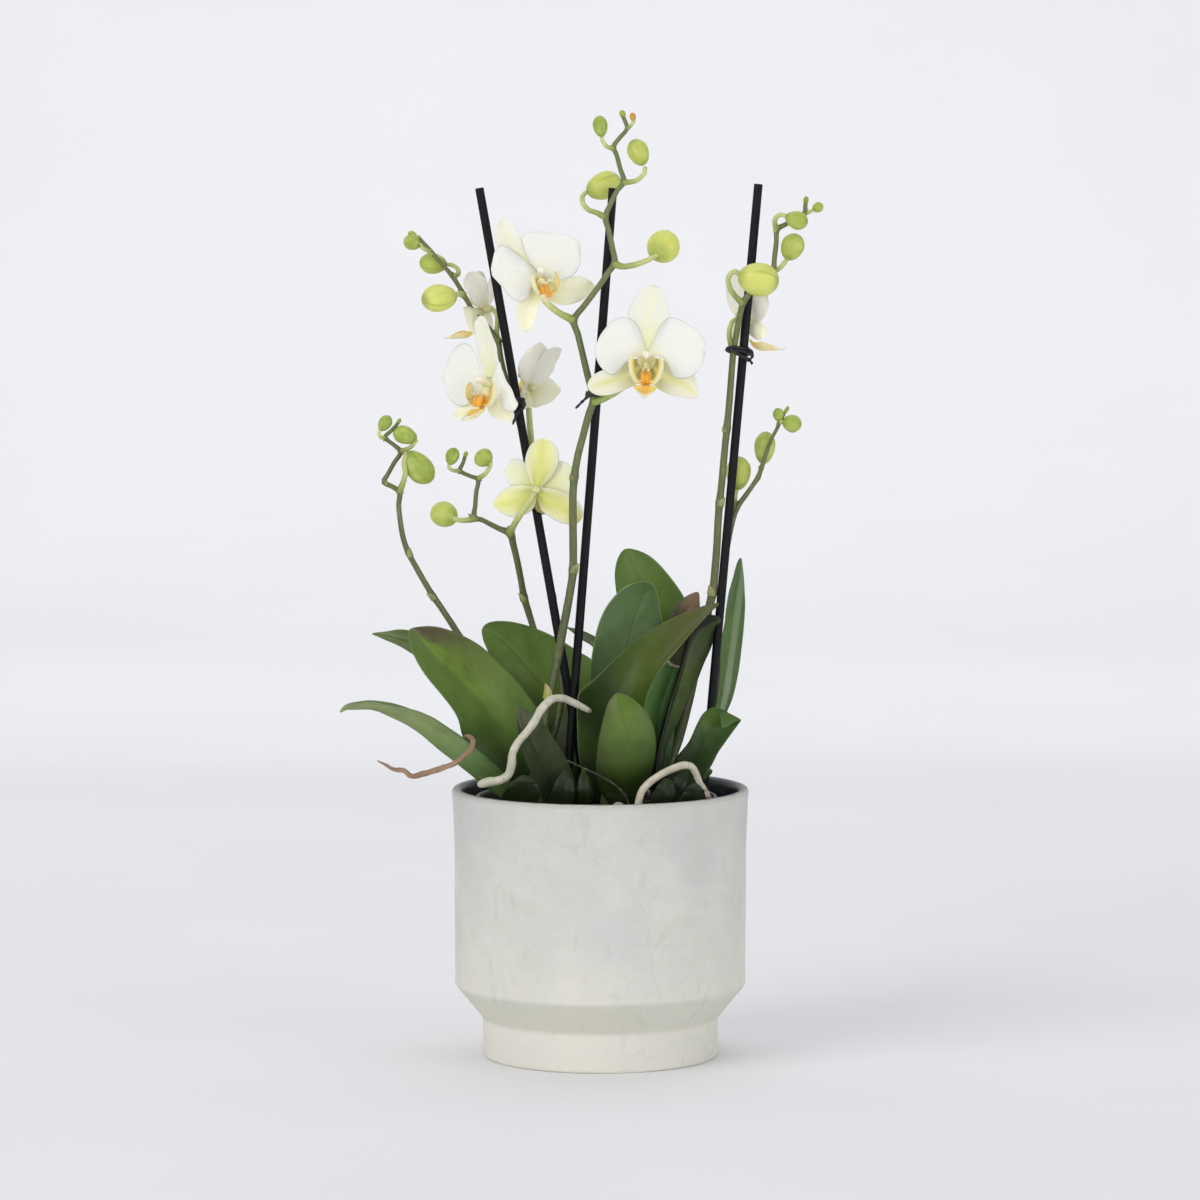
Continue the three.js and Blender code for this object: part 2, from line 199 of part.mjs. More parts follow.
    [40.22,9.5,187.73]],th: 1.7,blunt: 1,M: [[30.66,3.7,123.56],[29.66,4.55,132.2],[28.66,5.2,140.83],[28.2,5.93,149.49],[28.16,6.56,158.14],
    [29.08,7.07,166.79],[31.21,7.75,175.13],[33.91,8.1,183.26],[36.41,8.25,191.16]]},
  {name: "leaf_right_narrow",L: [[27.66,-4.0,124.37],[27.39,-4.0,145.48],[30.06,-4.0,157.24],[33.46,-4.0,170.47],[36.86,-3.5,180.7],[39.55,-2.5,189.41],
    [42.24,-1.0,199.05],[44.43,0.0,207.76],[47.36,1.0,214.03],[52.49,1.5,216.19],[58.34,1.5,214.48]],R: [[33.1,2.0,123.62],[31.13,3.0,144.66],
    [33.84,5.0,153.78],[38.5,7.0,163.4],[42.67,8.5,173.07],[46.58,9.0,181.38],[50.72,9.0,191.71],[54.34,7.5,200.2],[56.96,5.0,207.3],
    [58.34,1.5,214.48]],th: 1.7,blunt: 0,M: [[30.38,0.45,124.0],[29.73,1.51,136.63],[30.29,2.6,149.12],[33.97,4.04,161.07],[38.28,5.05,172.86],
    [42.81,5.67,184.62],[46.84,5.85,196.53],[51.18,4.52,208.19],[58.34,1.5,214.48]]},
  {name: "leaf_right_tall",L: [[46.01,13.5,125.66],[48.46,14.5,139.37],[51.4,15.5,152.1],[54.83,16.2,163.88],[57.53,16.7,172.71],[58.5,17.0,182.54],
    [59.69,17.0,197.33],[61.14,17.0,212.11],[62.58,17.0,224.41],[64.77,17.0,233.75],[68.91,17.0,242.59]],R: [[50.59,22.0,124.61],[52.34,24.5,138.2],
    [56.05,26.5,150.86],[60.98,27.5,162.65],[64.92,28.0,171.52],[67.86,28.5,183.86],[69.57,29.0,196.18],[70.76,28.5,208.6],[71.19,27.0,221.09],
    [70.54,22.0,233.34],[68.91,17.0,242.59]],th: 1.7,blunt: 0,M: [[48.64,23.0,122.5],[50.4,26.0,138.02],[53.61,27.5,150.75],[57.55,28.2,162.58],
    [60.5,28.5,171.47],[62.46,29.0,183.31],[64.89,29.0,197.17],[66.3,27.5,211.16],[67.17,24.0,223.81],[68.03,20.0,234.0],[68.91,17.0,242.59]]},
  {name: "leaf_right_folded",L: [[29.52,-12.0,126.34],[32.93,-10.0,139.32],[37.07,-9.0,147.53],[42.91,-8.0,154.75],[47.05,-7.0,163.45],
    [50.47,-6.0,168.97],[54.86,-5.5,171.61],[59.24,-5.5,170.63],[62.64,-6.0,168.73],[65.54,-7.0,167.37],[68.41,-9.0,165.63]],R: [[39.09,-22.0,125.14],
    [45.38,-22.0,132.46],[50.46,-22.0,139.28],[54.33,-21.5,145.8],[57.75,-19.5,151.66],[61.41,-18.0,156.61],[64.88,-14.5,161.34],[67.13,-11.5,163.94],
    [68.41,-9.0,165.63]],th: 1.7,blunt: 0,M: [[34.3,-15.94,125.26],[37.59,-14.73,131.69],[41.13,-13.78,138.16],[45.27,-13.07,144.5],
    [49.43,-12.33,150.89],[53.01,-11.21,157.64],[57.75,-10.17,163.5],[63.43,-9.08,165.36],[68.41,-9.0,165.63]]},
];
const FLOWERS = [
  
    {name: "flower_1",c: [-29.35,-9.0,380.46],n: [0.2231,-0.9735,-0.0507],up: [-0.478,-0.1546,0.8647],petals: [{kind: "sepal_dorsal",L: [[-31.52,-9.61,382.64],
    [-39.2,-11.44,387.02],[-46.88,-13.14,391.88],[-50.71,-13.91,398.14],[-50.95,-13.73,403.9],[-46.87,-12.42,408.45]],R: [[-29.59,-9.24,384.08],
    [-33.43,-10.37,391.81],[-35.83,-10.83,396.16],[-38.71,-11.33,401.46],[-42.06,-11.84,406.76],[-46.87,-12.42,408.45]],cup: -1.2},
    {kind: "sepal_right",L: [[-26.72,-7.25,378.24],[-20.93,-5.92,379.66],[-14.65,-4.37,380.58],[-9.82,-3.09,381.27],[-5.47,-1.71,379.06],
    [-2.57,-0.56,375.64]],R: [[-28.17,-7.39,374.39],[-24.32,-6.15,369.04],[-18.53,-4.56,367.06],[-12.73,-3.05,367.74],[-6.93,-1.6,370.59],
    [-2.57,-0.56,375.64]],cup: -1.0},{kind: "sepal_low",L: [[-31.54,-8.36,378.27],[-36.36,-9.04,371.54],[-40.71,-9.65,367.22],[-40.24,-8.95,359.96],
    [-38.81,-8.13,355.58],[-36.41,-7.19,354.1]],R: [[-28.65,-7.6,376.32],[-28.66,-7.17,369.55],[-30.12,-7.04,363.76],[-31.81,-6.96,358.92],
    [-33.51,-6.88,355.05],[-36.41,-7.19,354.1]],cup: -1.0},{kind: "petal_left",L: [[-30.06,-10.12,383.14],[-35.34,-11.66,387.99],
    [-41.57,-13.5,393.33],[-47.32,-15.15,396.0],[-50.2,-15.93,393.86],[-51.4,-16.27,390.02],[-52.13,-16.49,385.22],
    [-51.65,-16.55,381.86]],R: [[-30.55,-10.03,379.28],[-33.44,-10.54,374.96],[-34.65,-10.73,370.63],[-38.26,-11.66,368.97],[-42.58,-12.96,370.45],
    [-46.4,-14.35,375.07],[-49.75,-15.62,378.95],[-51.65,-16.55,381.86]],cup: -1.6},{kind: "petal_right",L: [[-30.06,-10.12,383.14],
    [-34.38,-11.42,387.99],[-36.77,-12.41,394.26],[-37.72,-13.05,399.57],[-33.87,-12.5,402.2],[-26.66,-11.07,402.42],[-19.44,-9.61,401.43],
    [-13.17,-8.36,399.72],[-9.8,-7.72,396.58]],R: [[-26.7,-9.18,379.74],[-22.84,-8.35,379.24],[-18.02,-7.43,379.21],[-13.67,-6.76,380.88],
    [-10.77,-6.58,384.5],[-9.32,-6.87,389.81],
    [-9.8,-7.72,396.58]],cup: -1.6}],lip_scale: 0.9,lip_n: [0.2232,-0.9739,0.0406],lip_up: [-0.162,0.004,0.9868]},
  {name: "flower_2",c: [22.25,-19.0,340.57],n: [0.0,-0.9998,0.02],up: [0.03,0.02,0.9994],petals: [{kind: "sepal_dorsal",L: [[20.08,-18.91,344.9],
    [16.71,-18.68,352.11],[13.58,-18.36,359.31],[13.81,-17.98,365.55],[16.46,-17.58,370.83],[20.07,-17.15,374.91],[22.96,-16.71,376.82],
    [25.37,-16.27,377.28]],R: [[24.41,-18.91,344.9],[29.22,-18.69,351.63],[33.07,-18.36,359.31],[32.83,-17.97,366.52],[31.14,-17.57,371.31],
    [28.98,-17.15,374.91],[27.06,-16.71,376.82],[25.37,-16.27,377.28]],cup: -1.4},{kind: "sepal_left",L: [[20.57,-17.96,342.69],[14.31,-17.88,341.0],
    [6.12,-17.71,337.62],[-0.14,-17.43,335.69],[-4.24,-17.11,332.78],[-6.17,-16.75,327.94]],R: [[22.02,-18.1,335.71],[18.17,-18.1,329.93],
    [11.91,-17.93,326.55],[4.68,-17.67,324.13],[-2.07,-17.28,324.11],[-6.17,-16.75,327.94]],cup: -1.2},{kind: "sepal_right",L: [[24.42,-17.96,342.69],
    [30.69,-17.88,341.0],[38.89,-17.72,337.14],[44.68,-17.45,334.72],[46.62,-17.16,329.89],[47.12,-16.85,323.12]],R: [[22.98,-18.1,335.71],
    [25.88,-18.12,328.97],[30.7,-17.96,325.34],[36.49,-17.68,323.4],[42.77,-17.31,322.42],[47.12,-16.85,323.12]],cup: -1.2},
    {kind: "petal_left",L: [[22.48,-19.71,344.93],[20.31,-19.63,351.66],[18.14,-19.63,357.43],[14.77,-19.71,360.8],[9.96,-19.88,361.53],
    [5.39,-20.13,359.62],[2.02,-20.44,356.02],[-0.87,-20.8,351.23],[-2.07,-21.2,345.47]],R: [[20.56,-19.77,342.05],[16.22,-19.81,342.53],
    [12.37,-19.97,340.13],[9.48,-20.2,336.29],[6.6,-20.43,333.89],[2.74,-20.62,335.1],[-0.39,-20.79,338.48],[-2.07,-20.97,342.58],
    [-2.07,-21.2,345.47]],cup: -1.4},{kind: "petal_right",L: [[22.96,-19.71,344.93],[26.33,-19.64,351.66],[29.21,-19.66,357.92],[33.05,-19.77,361.53],
    [38.34,-20.01,360.57],[44.11,-20.35,356.98],[48.44,-20.71,353.63],[50.37,-21.14,348.35]],R: [[23.93,-19.76,342.53],[28.74,-19.8,343.01],
    [31.63,-19.94,340.13],[33.56,-20.14,336.28],[35.96,-20.37,332.44],[40.78,-20.55,332.21],[45.58,-20.71,334.14],[48.7,-20.85,338.24],
    [50.14,-20.99,343.06],[50.37,-21.14,348.35]],cup: -1.4}],lip_scale: 1.0,lip_n: [-0.03,-0.9988,-0.04],lip_up: [0.0282,-0.0408,0.9988]},
  
    {name: "flower_3",c: [-53.4,-6.0,327.92],n: [-0.4507,-0.8913,0.0501],up: [0.0226,0.0447,0.9987],petals: [{kind: "sepal_dorsal",L: [[-54.87,-5.04,331.76],
    [-58.05,-2.88,339.41],[-59.77,-1.37,346.14],[-60.51,-0.29,352.39],[-61.0,0.72,358.17],[-58.81,0.32,361.82]],R: [[-51.93,-6.55,331.34],
    [-49.73,-7.13,338.62],[-50.22,-6.21,345.84],[-51.94,-4.61,352.55],[-54.88,-2.34,358.76],[-58.81,0.32,361.82]],cup: -1.2},
    {kind: "sepal_left",L: [[-55.39,-4.02,325.41],[-61.28,-1.12,321.88],[-66.69,1.7,318.82],[-70.64,3.87,315.8],
    [-72.14,4.89,313.31]],R: [[-54.41,-4.75,321.08],[-56.38,-3.97,315.22],[-60.8,-1.69,311.47],[-67.2,1.84,310.79],[-72.14,4.89,313.31]],cup: -1.0},
    {kind: "sepal_right",L: [[-52.45,-5.44,326.45],[-48.54,-7.43,324.12],[-44.64,-9.36,320.34],[-42.21,-10.5,316.04],
    [-43.2,-9.82,311.89]],R: [[-54.9,-4.48,321.55],[-53.93,-5.13,315.28],[-50.02,-6.91,311.74],[-43.2,-9.82,311.89]],cup: -1.0},
    {kind: "petal_left",L: [[-54.36,-6.25,330.84],[-58.27,-4.05,336.56],[-60.71,-2.61,343.76],[-64.63,-0.66,348.29],[-69.53,1.43,347.24],
    [-73.46,2.76,342.58],[-75.43,3.01,337.22],[-75.66,2.34,331.91]],R: [[-55.34,-6.0,326.47],[-60.24,-3.87,322.49],[-64.66,-2.12,318.53],
    [-69.56,-0.03,317.94],[-73.24,1.58,321.26],[-75.19,2.37,326.57],[-75.66,2.34,331.91]],cup: -1.8},{kind: "petal_right",L: [[-52.9,-7.02,330.39],
    [-51.42,-7.53,336.22],[-49.22,-8.63,340.14],[-47.75,-9.89,335.84],[-45.55,-11.61,331.08],[-43.11,-13.44,327.3],[-41.65,-14.87,323.03],
    [-40.91,-16.0,318.25]],R: [[-52.9,-7.26,326.05],[-49.96,-9.23,321.78],[-47.03,-11.45,317.54],[-43.61,-13.97,315.49],
    [-40.91,-16.0,318.25]],cup: -0.8}],lip_scale: 0.98,lip_n: [-0.722,-0.6919,0.0],lip_up: [-0.0115,0.012,0.9999]},
  
    {name: "flower_4",c: [-56.82,21.0,364.31],n: [-0.9236,0.3694,-0.1026],up: [-0.0718,0.0962,0.9928],petals: [{kind: "sepal_dorsal",L: [[-57.8,21.0,365.77],
    [-60.69,20.0,371.66],[-62.15,20.0,377.02],[-61.65,20.0,380.92],[-59.21,20.0,383.11]],R: [[-55.84,21.0,365.77],[-54.85,21.0,371.63],
    [-55.33,21.0,377.48],[-56.78,20.5,381.39],[-59.21,20.0,383.11]],cup: -0.8},{kind: "sepal_right",L: [[-58.75,20.0,364.34],[-63.0,14.0,365.99],
    [-66.29,9.0,365.66],[-65.52,7.0,360.38],[-63.85,8.0,355.01],[-61.21,9.0,351.81]],R: [[-56.79,19.5,362.89],[-59.14,15.0,360.11],
    [-60.03,11.0,355.87],[-61.21,9.0,351.81]],cup: -0.8},{kind: "sepal_left",L: [[-57.31,21.0,363.33],[-56.94,26.0,360.72],[-55.58,31.0,357.62],
    [-53.7,35.0,355.51]],R: [[-55.37,21.5,364.29],[-53.26,26.0,363.17],[-52.63,31.0,359.58],[-53.7,35.0,355.51]],cup: -0.5},
    {kind: "petal_right",L: [[-58.75,20.0,364.34],[-61.56,15.0,366.93],[-64.33,9.0,371.49],[-66.41,5.0,375.49],
    [-66.83,3.0,379.42]],R: [[-56.31,20.0,365.8],[-55.25,16.5,371.76],[-55.39,12.0,377.24],[-57.48,8.0,381.23],[-61.3,5.0,383.0],[-65.14,3.5,382.55],
    [-66.83,3.0,379.42]],cup: -0.8},{kind: "petal_left",L: [[-56.35,22.0,365.74],[-55.74,28.0,370.93],[-55.38,35.0,376.61],
    [-54.25,40.0,379.91]],R: [[-55.38,22.0,365.25],[-53.03,27.0,367.54],[-51.91,33.0,371.77],[-52.5,38.0,376.04],
    [-54.25,40.0,379.91]],cup: -0.6}],lip_scale: 0.95,lip_n: [-0.9847,0.1231,0.1231],lip_up: [0.1326,0.0725,0.9885]},
  
    {name: "flower_5",c: [-34.67,24.0,326.54],n: [-0.6211,0.6612,0.4208],up: [0.295,-0.3002,0.9071],petals: [{kind: "sepal_dorsal",L: [[-36.85,21.9,326.63],
    [-39.21,16.78,331.27],[-39.89,13.51,335.56],[-38.41,12.38,339.75],[-35.96,12.22,343.9],[-33.29,13.09,346.79],
    [-30.39,15.01,348.42]],R: [[-32.98,25.64,326.46],[-29.55,25.82,331.35],[-26.84,25.05,336.78],[-25.11,23.72,341.73],[-26.54,20.03,345.78],
    [-30.39,15.01,348.42]],cup: -0.6},{kind: "petal_right",L: [[-35.38,21.75,327.13],[-33.63,19.35,333.6],[-31.41,18.12,339.02],[-28.47,18.28,343.41],
    [-24.1,21.29,345.49],[-20.22,25.15,345.58]],R: [[-32.49,25.83,324.98],[-28.1,27.9,328.32],[-24.92,28.71,331.96],[-22.22,28.79,336.13],
    [-20.49,27.81,340.58],[-20.22,25.15,345.58]],cup: -0.6},{kind: "sepal_right",L: [[-33.46,24.85,326.99],[-29.08,27.43,329.57],[-24.7,31.39,330.12],
    [-21.79,35.93,327.71],[-20.84,39.46,324.1]],R: [[-35.43,25.52,323.03],[-35.0,29.23,317.95],[-32.11,33.95,315.01],[-28.21,37.13,316.08],
    [-24.05,40.11,317.9],[-20.84,39.46,324.1]],cup: -0.8},{kind: "petal_left",L: [[-35.86,20.97,327.65],[-37.3,19.36,328.22],[-38.52,19.35,326.75],
    [-38.8,20.99,324.23]],R: [[-34.43,23.95,325.07],[-35.18,24.62,323.08],[-36.88,23.83,322.13],[-38.8,20.99,324.23]],cup: -0.2},
    {kind: "sepal_left",L: [[-36.38,23.63,324.59],[-39.06,22.42,322.69],[-40.06,23.59,319.7],[-38.41,27.41,316.56],
    [-35.52,31.68,314.63]],R: [[-33.97,25.97,324.48],[-32.55,30.08,320.36],[-33.07,32.16,316.82],
    [-35.52,31.68,314.63]],cup: -0.5}],lip_scale: 0.9,lip_n: [-0.6732,0.6732,0.306],lip_up: [0.2137,-0.219,0.952]},
  
    {name: "flower_6",c: [-30.79,2.0,276.95],n: [0.2609,0.9635,-0.0602],up: [0.1267,0.0277,0.9916],petals: [{kind: "sepal_dorsal",L: [[-32.75,2.62,278.37],
    [-35.92,3.85,285.6],[-36.89,4.35,291.91],[-35.17,4.0,297.29],[-31.75,3.02,300.75],[-27.6,1.67,302.05]],R: [[-28.84,1.56,278.44],
    [-23.48,0.37,283.87],[-20.31,-0.25,290.24],[-20.31,-0.13,295.58],[-22.98,0.61,300.16],[-27.6,1.67,302.05]],cup: -1.4},
    {kind: "sepal_left",L: [[-31.77,2.35,278.39],[-37.63,3.93,279.5],[-43.98,5.44,278.67],[-48.39,6.26,276.18],[-50.83,6.45,272.99],
    [-51.66,6.14,269.35]],R: [[-30.79,1.76,273.06],[-32.5,1.82,267.94],[-36.65,2.6,264.96],[-43.01,4.0,263.4],[-48.38,5.32,265.5],
    [-51.66,6.14,269.35]],cup: -1.2},{kind: "sepal_right",L: [[-29.82,1.83,278.42],[-21.53,-0.47,277.6],[-15.2,-2.33,275.29],[-10.34,-3.91,271.01],
    [-8.15,-4.8,266.21],[-9.86,-4.59,262.3]],R: [[-30.79,1.76,273.06],[-28.84,0.87,267.28],[-24.46,-0.54,263.72],[-19.1,-2.15,261.15],
    [-13.26,-3.77,260.54],[-9.86,-4.59,262.3]],cup: -1.2},{kind: "petal_left",L: [[-32.28,4.83,279.2],[-34.73,5.99,285.96],[-37.17,7.11,290.77],
    [-41.58,8.6,291.9],[-44.52,9.55,290.13],[-45.26,9.79,285.72]],R: [[-32.77,4.78,276.28],[-37.66,6.21,276.18],[-42.56,7.85,277.54],
    [-44.77,8.97,280.89],[-45.26,9.79,285.72]],cup: 1.4},{kind: "petal_right",L: [[-28.87,3.91,279.26],[-24.96,3.36,286.12],[-21.55,2.88,290.78],
    [-17.65,2.05,290.83],[-13.76,1.13,288.69],[-11.33,0.48,283.87]],R: [[-28.38,3.59,276.36],[-22.53,1.88,272.57],[-16.68,0.5,272.17],
    [-12.78,0.07,277.07],[-11.33,0.48,283.87]],cup: 1.4}],lip_scale: 0.9,lip_n: [0.2631,0.9614,0.081],lip_up: [0.0907,-0.1082,0.99]},
  {name: "flower_7",c: [70.04,14.5,361.11],n: [0.9468,0.3054,-0.1018],up: [0.1016,0.0166,0.9947],petals: [{kind: "sepal_dorsal",L: [[68.83,15.0,364.5],
    [67.62,16.0,370.8],[69.07,16.0,377.62],[72.96,16.0,382.48]],R: [[71.51,15.0,364.5],[74.91,15.0,370.34],[76.36,15.0,376.67],
    [72.96,16.0,382.48]],cup: -0.8},{kind: "sepal_left",L: [[70.98,13.0,360.67],[74.28,9.0,360.32],[77.6,6.0,359.45],[79.94,3.0,356.64],
    [80.65,2.0,353.28],[78.5,3.0,350.09]],R: [[70.25,13.0,358.23],[71.37,9.0,353.51],[74.22,6.0,350.46],[78.5,3.0,350.09]],cup: -0.7},
    {kind: "sepal_right",L: [[69.11,16.0,359.11],[66.29,20.0,357.99],[63.98,25.0,353.91],[65.06,29.0,348.87],
    [68.06,31.0,346.34]],R: [[70.58,16.0,357.16],[71.21,21.0,352.59],[70.4,27.0,348.45],[68.06,31.0,346.34]],cup: -0.7},
    {kind: "petal_left",L: [[70.49,13.0,363.59],[72.74,7.0,369.12],[75.02,2.0,374.12],[78.25,-3.0,377.16]],R: [[71.47,13.0,360.18],[76.17,7.0,358.2],
    [79.9,2.0,361.04],[81.73,-1.0,366.95],[81.65,-3.0,373.3],[78.25,-3.0,377.16]],cup: -0.9},{kind: "petal_right",L: [[69.1,16.0,363.0],
    [66.28,20.0,361.17],[63.49,26.0,364.64],[62.13,31.0,370.35],[63.19,35.0,376.61],[66.2,38.0,382.91]],R: [[70.07,16.0,365.93],[69.73,22.0,372.09],
    [69.41,29.0,377.75],[68.55,34.0,382.03],
    [66.2,38.0,382.91]],cup: -0.9}],lip_scale: 1.05,lip_n: [0.9922,-0.1209,0.0302],lip_up: [-0.0265,0.0325,0.9991]},
];

// ---------------------------------------------------------------- helpers
const V = (a) => new THREE.Vector3(a[0], a[1], a[2]);
const wasm = await Module();
wasm.setup();

// A closed position-only geometry as a solid.
function solid(geometry) {
  const g = geometry.index ? geometry : mergeVertices(geometry, 1e-4);
  for (const n of Object.keys(g.attributes)) if (n !== "position") g.deleteAttribute(n);
  const m = mergeVertices(g, 1e-4);
  return new wasm.Manifold(
    new wasm.Mesh({
      numProp: 3,
      vertProperties: new Float32Array(m.attributes.position.array),
      triVerts: new Uint32Array(m.index.array),
    }),
  );
}
function geometryOf(s) {
  const m = s.getMesh();
  const v = new Float32Array(m.numVert * 3);
  for (let i = 0; i < m.numVert; i++)
    v.set(m.vertProperties.subarray(i * m.numProp, i * m.numProp + 3), i * 3);
  const g = new THREE.BufferGeometry();
  g.setAttribute("position", new THREE.BufferAttribute(v, 3));
  g.setIndex(new THREE.BufferAttribute(new Uint32Array(m.triVerts), 1));
  return g;
}
function fromGrid(points, faces) {
  const g = new THREE.BufferGeometry();
  g.setAttribute("position", new THREE.BufferAttribute(new Float32Array(points.flatMap((p) => [p.x, p.y, p.z])), 3));
  g.setIndex(faces);
  return solid(g);
}

// Round tube along points [x, y, z, radius] with flat or slightly domed ends.
function tube(pts, sides, extra = 0) {
  const P = pts.map(V), R = pts.map((p) => p[3] + extra);
  const n = P.length;
  const T = P.map((p, i) => P[Math.min(i + 1, n - 1)].clone().sub(P[Math.max(i - 1, 0)]).normalize());
  if (extra) {
    P[0] = P[0].clone().addScaledVector(T[0], -extra);
    P[n - 1] = P[n - 1].clone().addScaledVector(T[n - 1], extra);
  }
  let u = new THREE.Vector3(0, -1, 0).cross(T[0]);
  if (u.length() < 0.1) u = new THREE.Vector3(1, 0, 0).cross(T[0]);
  u.normalize();
  const pts3 = [], faces = [];
  for (let i = 0; i < n; i++) {
    u.addScaledVector(T[i], -u.dot(T[i])).normalize();
    const w = T[i].clone().cross(u);
    for (let k = 0; k < sides; k++) {
      const a = (2 * Math.PI * k) / sides;
      pts3.push(P[i].clone().addScaledVector(u, R[i] * Math.cos(a)).addScaledVector(w, R[i] * Math.sin(a)));
    }
  }
  for (let i = 0; i + 1 < n; i++)
    for (let k = 0; k < sides; k++) {
      const a = i * sides + k, b = i * sides + ((k + 1) % sides), c = a + sides, d = b + sides;
      faces.push(a, b, d, a, d, c);
    }
  pts3.push(P[0].clone().addScaledVector(T[0], -0.25 * R[0]), P[n - 1].clone().addScaledVector(T[n - 1], 0.25 * R[n - 1]));
  const s = pts3.length - 2, e = pts3.length - 1, o = (n - 1) * sides;
  for (let k = 0; k < sides; k++) {
    faces.push(s, (k + 1) % sides, k);
    faces.push(e, o + k, o + ((k + 1) % sides));
  }
  return fromGrid(pts3, faces);
}

// A smooth curve through rail points, resampled to count points between t0 and t1.
function rail(points, count, t0 = 0, t1 = 1) {
  const c = new THREE.CatmullRomCurve3(points.map(V), false, "centripetal");
  const out = [];
  for (let i = 0; i < count; i++) out.push(c.getPointAt(t0 + ((t1 - t0) * i) / (count - 1)));
  return out;
}

// Thin blade between a left and a right rail, bowed by cup millimetres at its midline, of the given thickness.
function blade(L, R, mid, cup, thickness, nu, nv, extra = 0, tEnd = 0.975) {
  const a = rail(L, nu + 1, 0, tEnd), b = rail(R, nu + 1, 0, tEnd);
  const m = mid ? rail(mid, nu + 1, 0, tEnd) : null;
  const rows = [];
  for (let i = 0; i <= nu; i++) {
    const t = i / nu;
    const centre = a[i].clone().add(b[i]).multiplyScalar(0.5);
    let c = centre.clone();
    if (m) {
      const across = b[i].clone().sub(a[i]).normalize();
      const off = m[i].clone().sub(centre);
      off.addScaledVector(across, -off.dot(across));
      c.add(off);
    } else {
      const i0 = Math.max(i - 1, 0), i1 = Math.min(i + 1, nu);
      const along = a[i1].clone().add(b[i1]).sub(a[i0]).sub(b[i0]).normalize();
      const across = b[i].clone().sub(a[i]);
      const width = across.length();
      across.normalize();
      const nrm = across.cross(along).normalize();
      c.addScaledVector(nrm, cup * Math.sin(Math.PI * Math.min(1, 0.12 + 0.88 * t)) * Math.min(1, width / 12));
    }
    const row = [];
    for (let j = 0; j <= nv; j++) {
      const s = j / nv;
      const p = a[i].clone().multiplyScalar((1 - s) * (1 - 2 * s)).addScaledVector(c, 4 * s * (1 - s)).addScaledVector(b[i], s * (2 * s - 1));
      row.push(p);
    }
    rows.push(row);
  }
  const normals = rows.map((row, i) => row.map((_, j) => {
    const du = rows[Math.min(i + 1, nu)][j].clone().sub(rows[Math.max(i - 1, 0)][j]);
    const dv = rows[i][Math.min(j + 1, nv)].clone().sub(rows[i][Math.max(j - 1, 0)]);
    return dv.cross(du).normalize();
  }));
  const pts = [], faces = [], W = nv + 1, N = (nu + 1) * W;
  const h = thickness / 2 + extra;
  for (const sgn of [1, -1])
    for (let i = 0; i <= nu; i++)
      for (let j = 0; j <= nv; j++) {
        const edge = j === 0 || j === nv ? 0.55 : 1;
        const p = rows[i][j].clone().addScaledVector(normals[i][j], sgn * (h - (1 - edge) * (thickness / 2)));
        if (extra) {
          if (j === 0) p.addScaledVector(rows[i][1].clone().sub(rows[i][0]).normalize(), -extra);
          if (j === nv) p.addScaledVector(rows[i][nv].clone().sub(rows[i][nv - 1]).normalize(), extra);
          if (i === nu) p.addScaledVector(rows[nu][j].clone().sub(rows[nu - 1][j]).normalize(), extra);
          if (i === 0) p.addScaledVector(rows[1][j].clone().sub(rows[0][j]).normalize(), -extra);
        }
        pts.push(p);
      }
  const at = (s, i, j) => s * N + i * W + j;
  for (let i = 0; i < nu; i++)
    for (let j = 0; j < nv; j++) {
      faces.push(at(0, i, j), at(0, i, j + 1), at(0, i + 1, j + 1), at(0, i, j), at(0, i + 1, j + 1), at(0, i + 1, j));
      faces.push(at(1, i, j), at(1, i + 1, j + 1), at(1, i, j + 1), at(1, i, j), at(1, i + 1, j), at(1, i + 1, j + 1));
    }
  for (let i = 0; i < nu; i++) {
    faces.push(at(0, i, 0), at(0, i + 1, 0), at(1, i + 1, 0), at(0, i, 0), at(1, i + 1, 0), at(1, i, 0));
    faces.push(at(0, i, nv), at(1, i + 1, nv), at(0, i + 1, nv), at(0, i, nv), at(1, i, nv), at(1, i + 1, nv));
  }
  for (let j = 0; j < nv; j++) {
    faces.push(at(0, 0, j), at(1, 0, j + 1), at(0, 0, j + 1), at(0, 0, j), at(1, 0, j), at(1, 0, j + 1));
    faces.push(at(0, nu, j), at(0, nu, j + 1), at(1, nu, j + 1), at(0, nu, j), at(1, nu, j + 1), at(1, nu, j));
  }
  return fromGrid(pts, faces);
}

// Egg of radius r whose long axis runs from a to b, turned from a unit sphere.
function egg(a, b, r, across, up, extra = 0) {
  const A = V(a), B = V(b);
  const g = new THREE.SphereGeometry(1, across, up);
  g.deleteAttribute("normal");
  g.deleteAttribute("uv");
  const len = A.distanceTo(B) / 2 + extra;
  g.scale(r + extra, len, r + extra);
  const q = new THREE.Quaternion().setFromUnitVectors(new THREE.Vector3(0, 1, 0), B.clone().sub(A).normalize());
  g.applyQuaternion(q);
  g.translate((A.x + B.x) / 2, (A.y + B.y) / 2, (A.z + B.z) / 2);
  return solid(cleaned(g));
}
// Drops the collapsed triangles at a sphere's poles or a lathe's axis.
function cleaned(g) {
  for (const n of Object.keys(g.attributes)) if (n !== "position") g.deleteAttribute(n);
  const m = mergeVertices(g, 1e-4);
  const idx = [], a = m.index.array;
  for (let i = 0; i < a.length; i += 3)
    if (a[i] !== a[i + 1] && a[i + 1] !== a[i + 2] && a[i] !== a[i + 2]) idx.push(a[i], a[i + 1], a[i + 2]);
  m.setIndex(idx);
  return m;
}
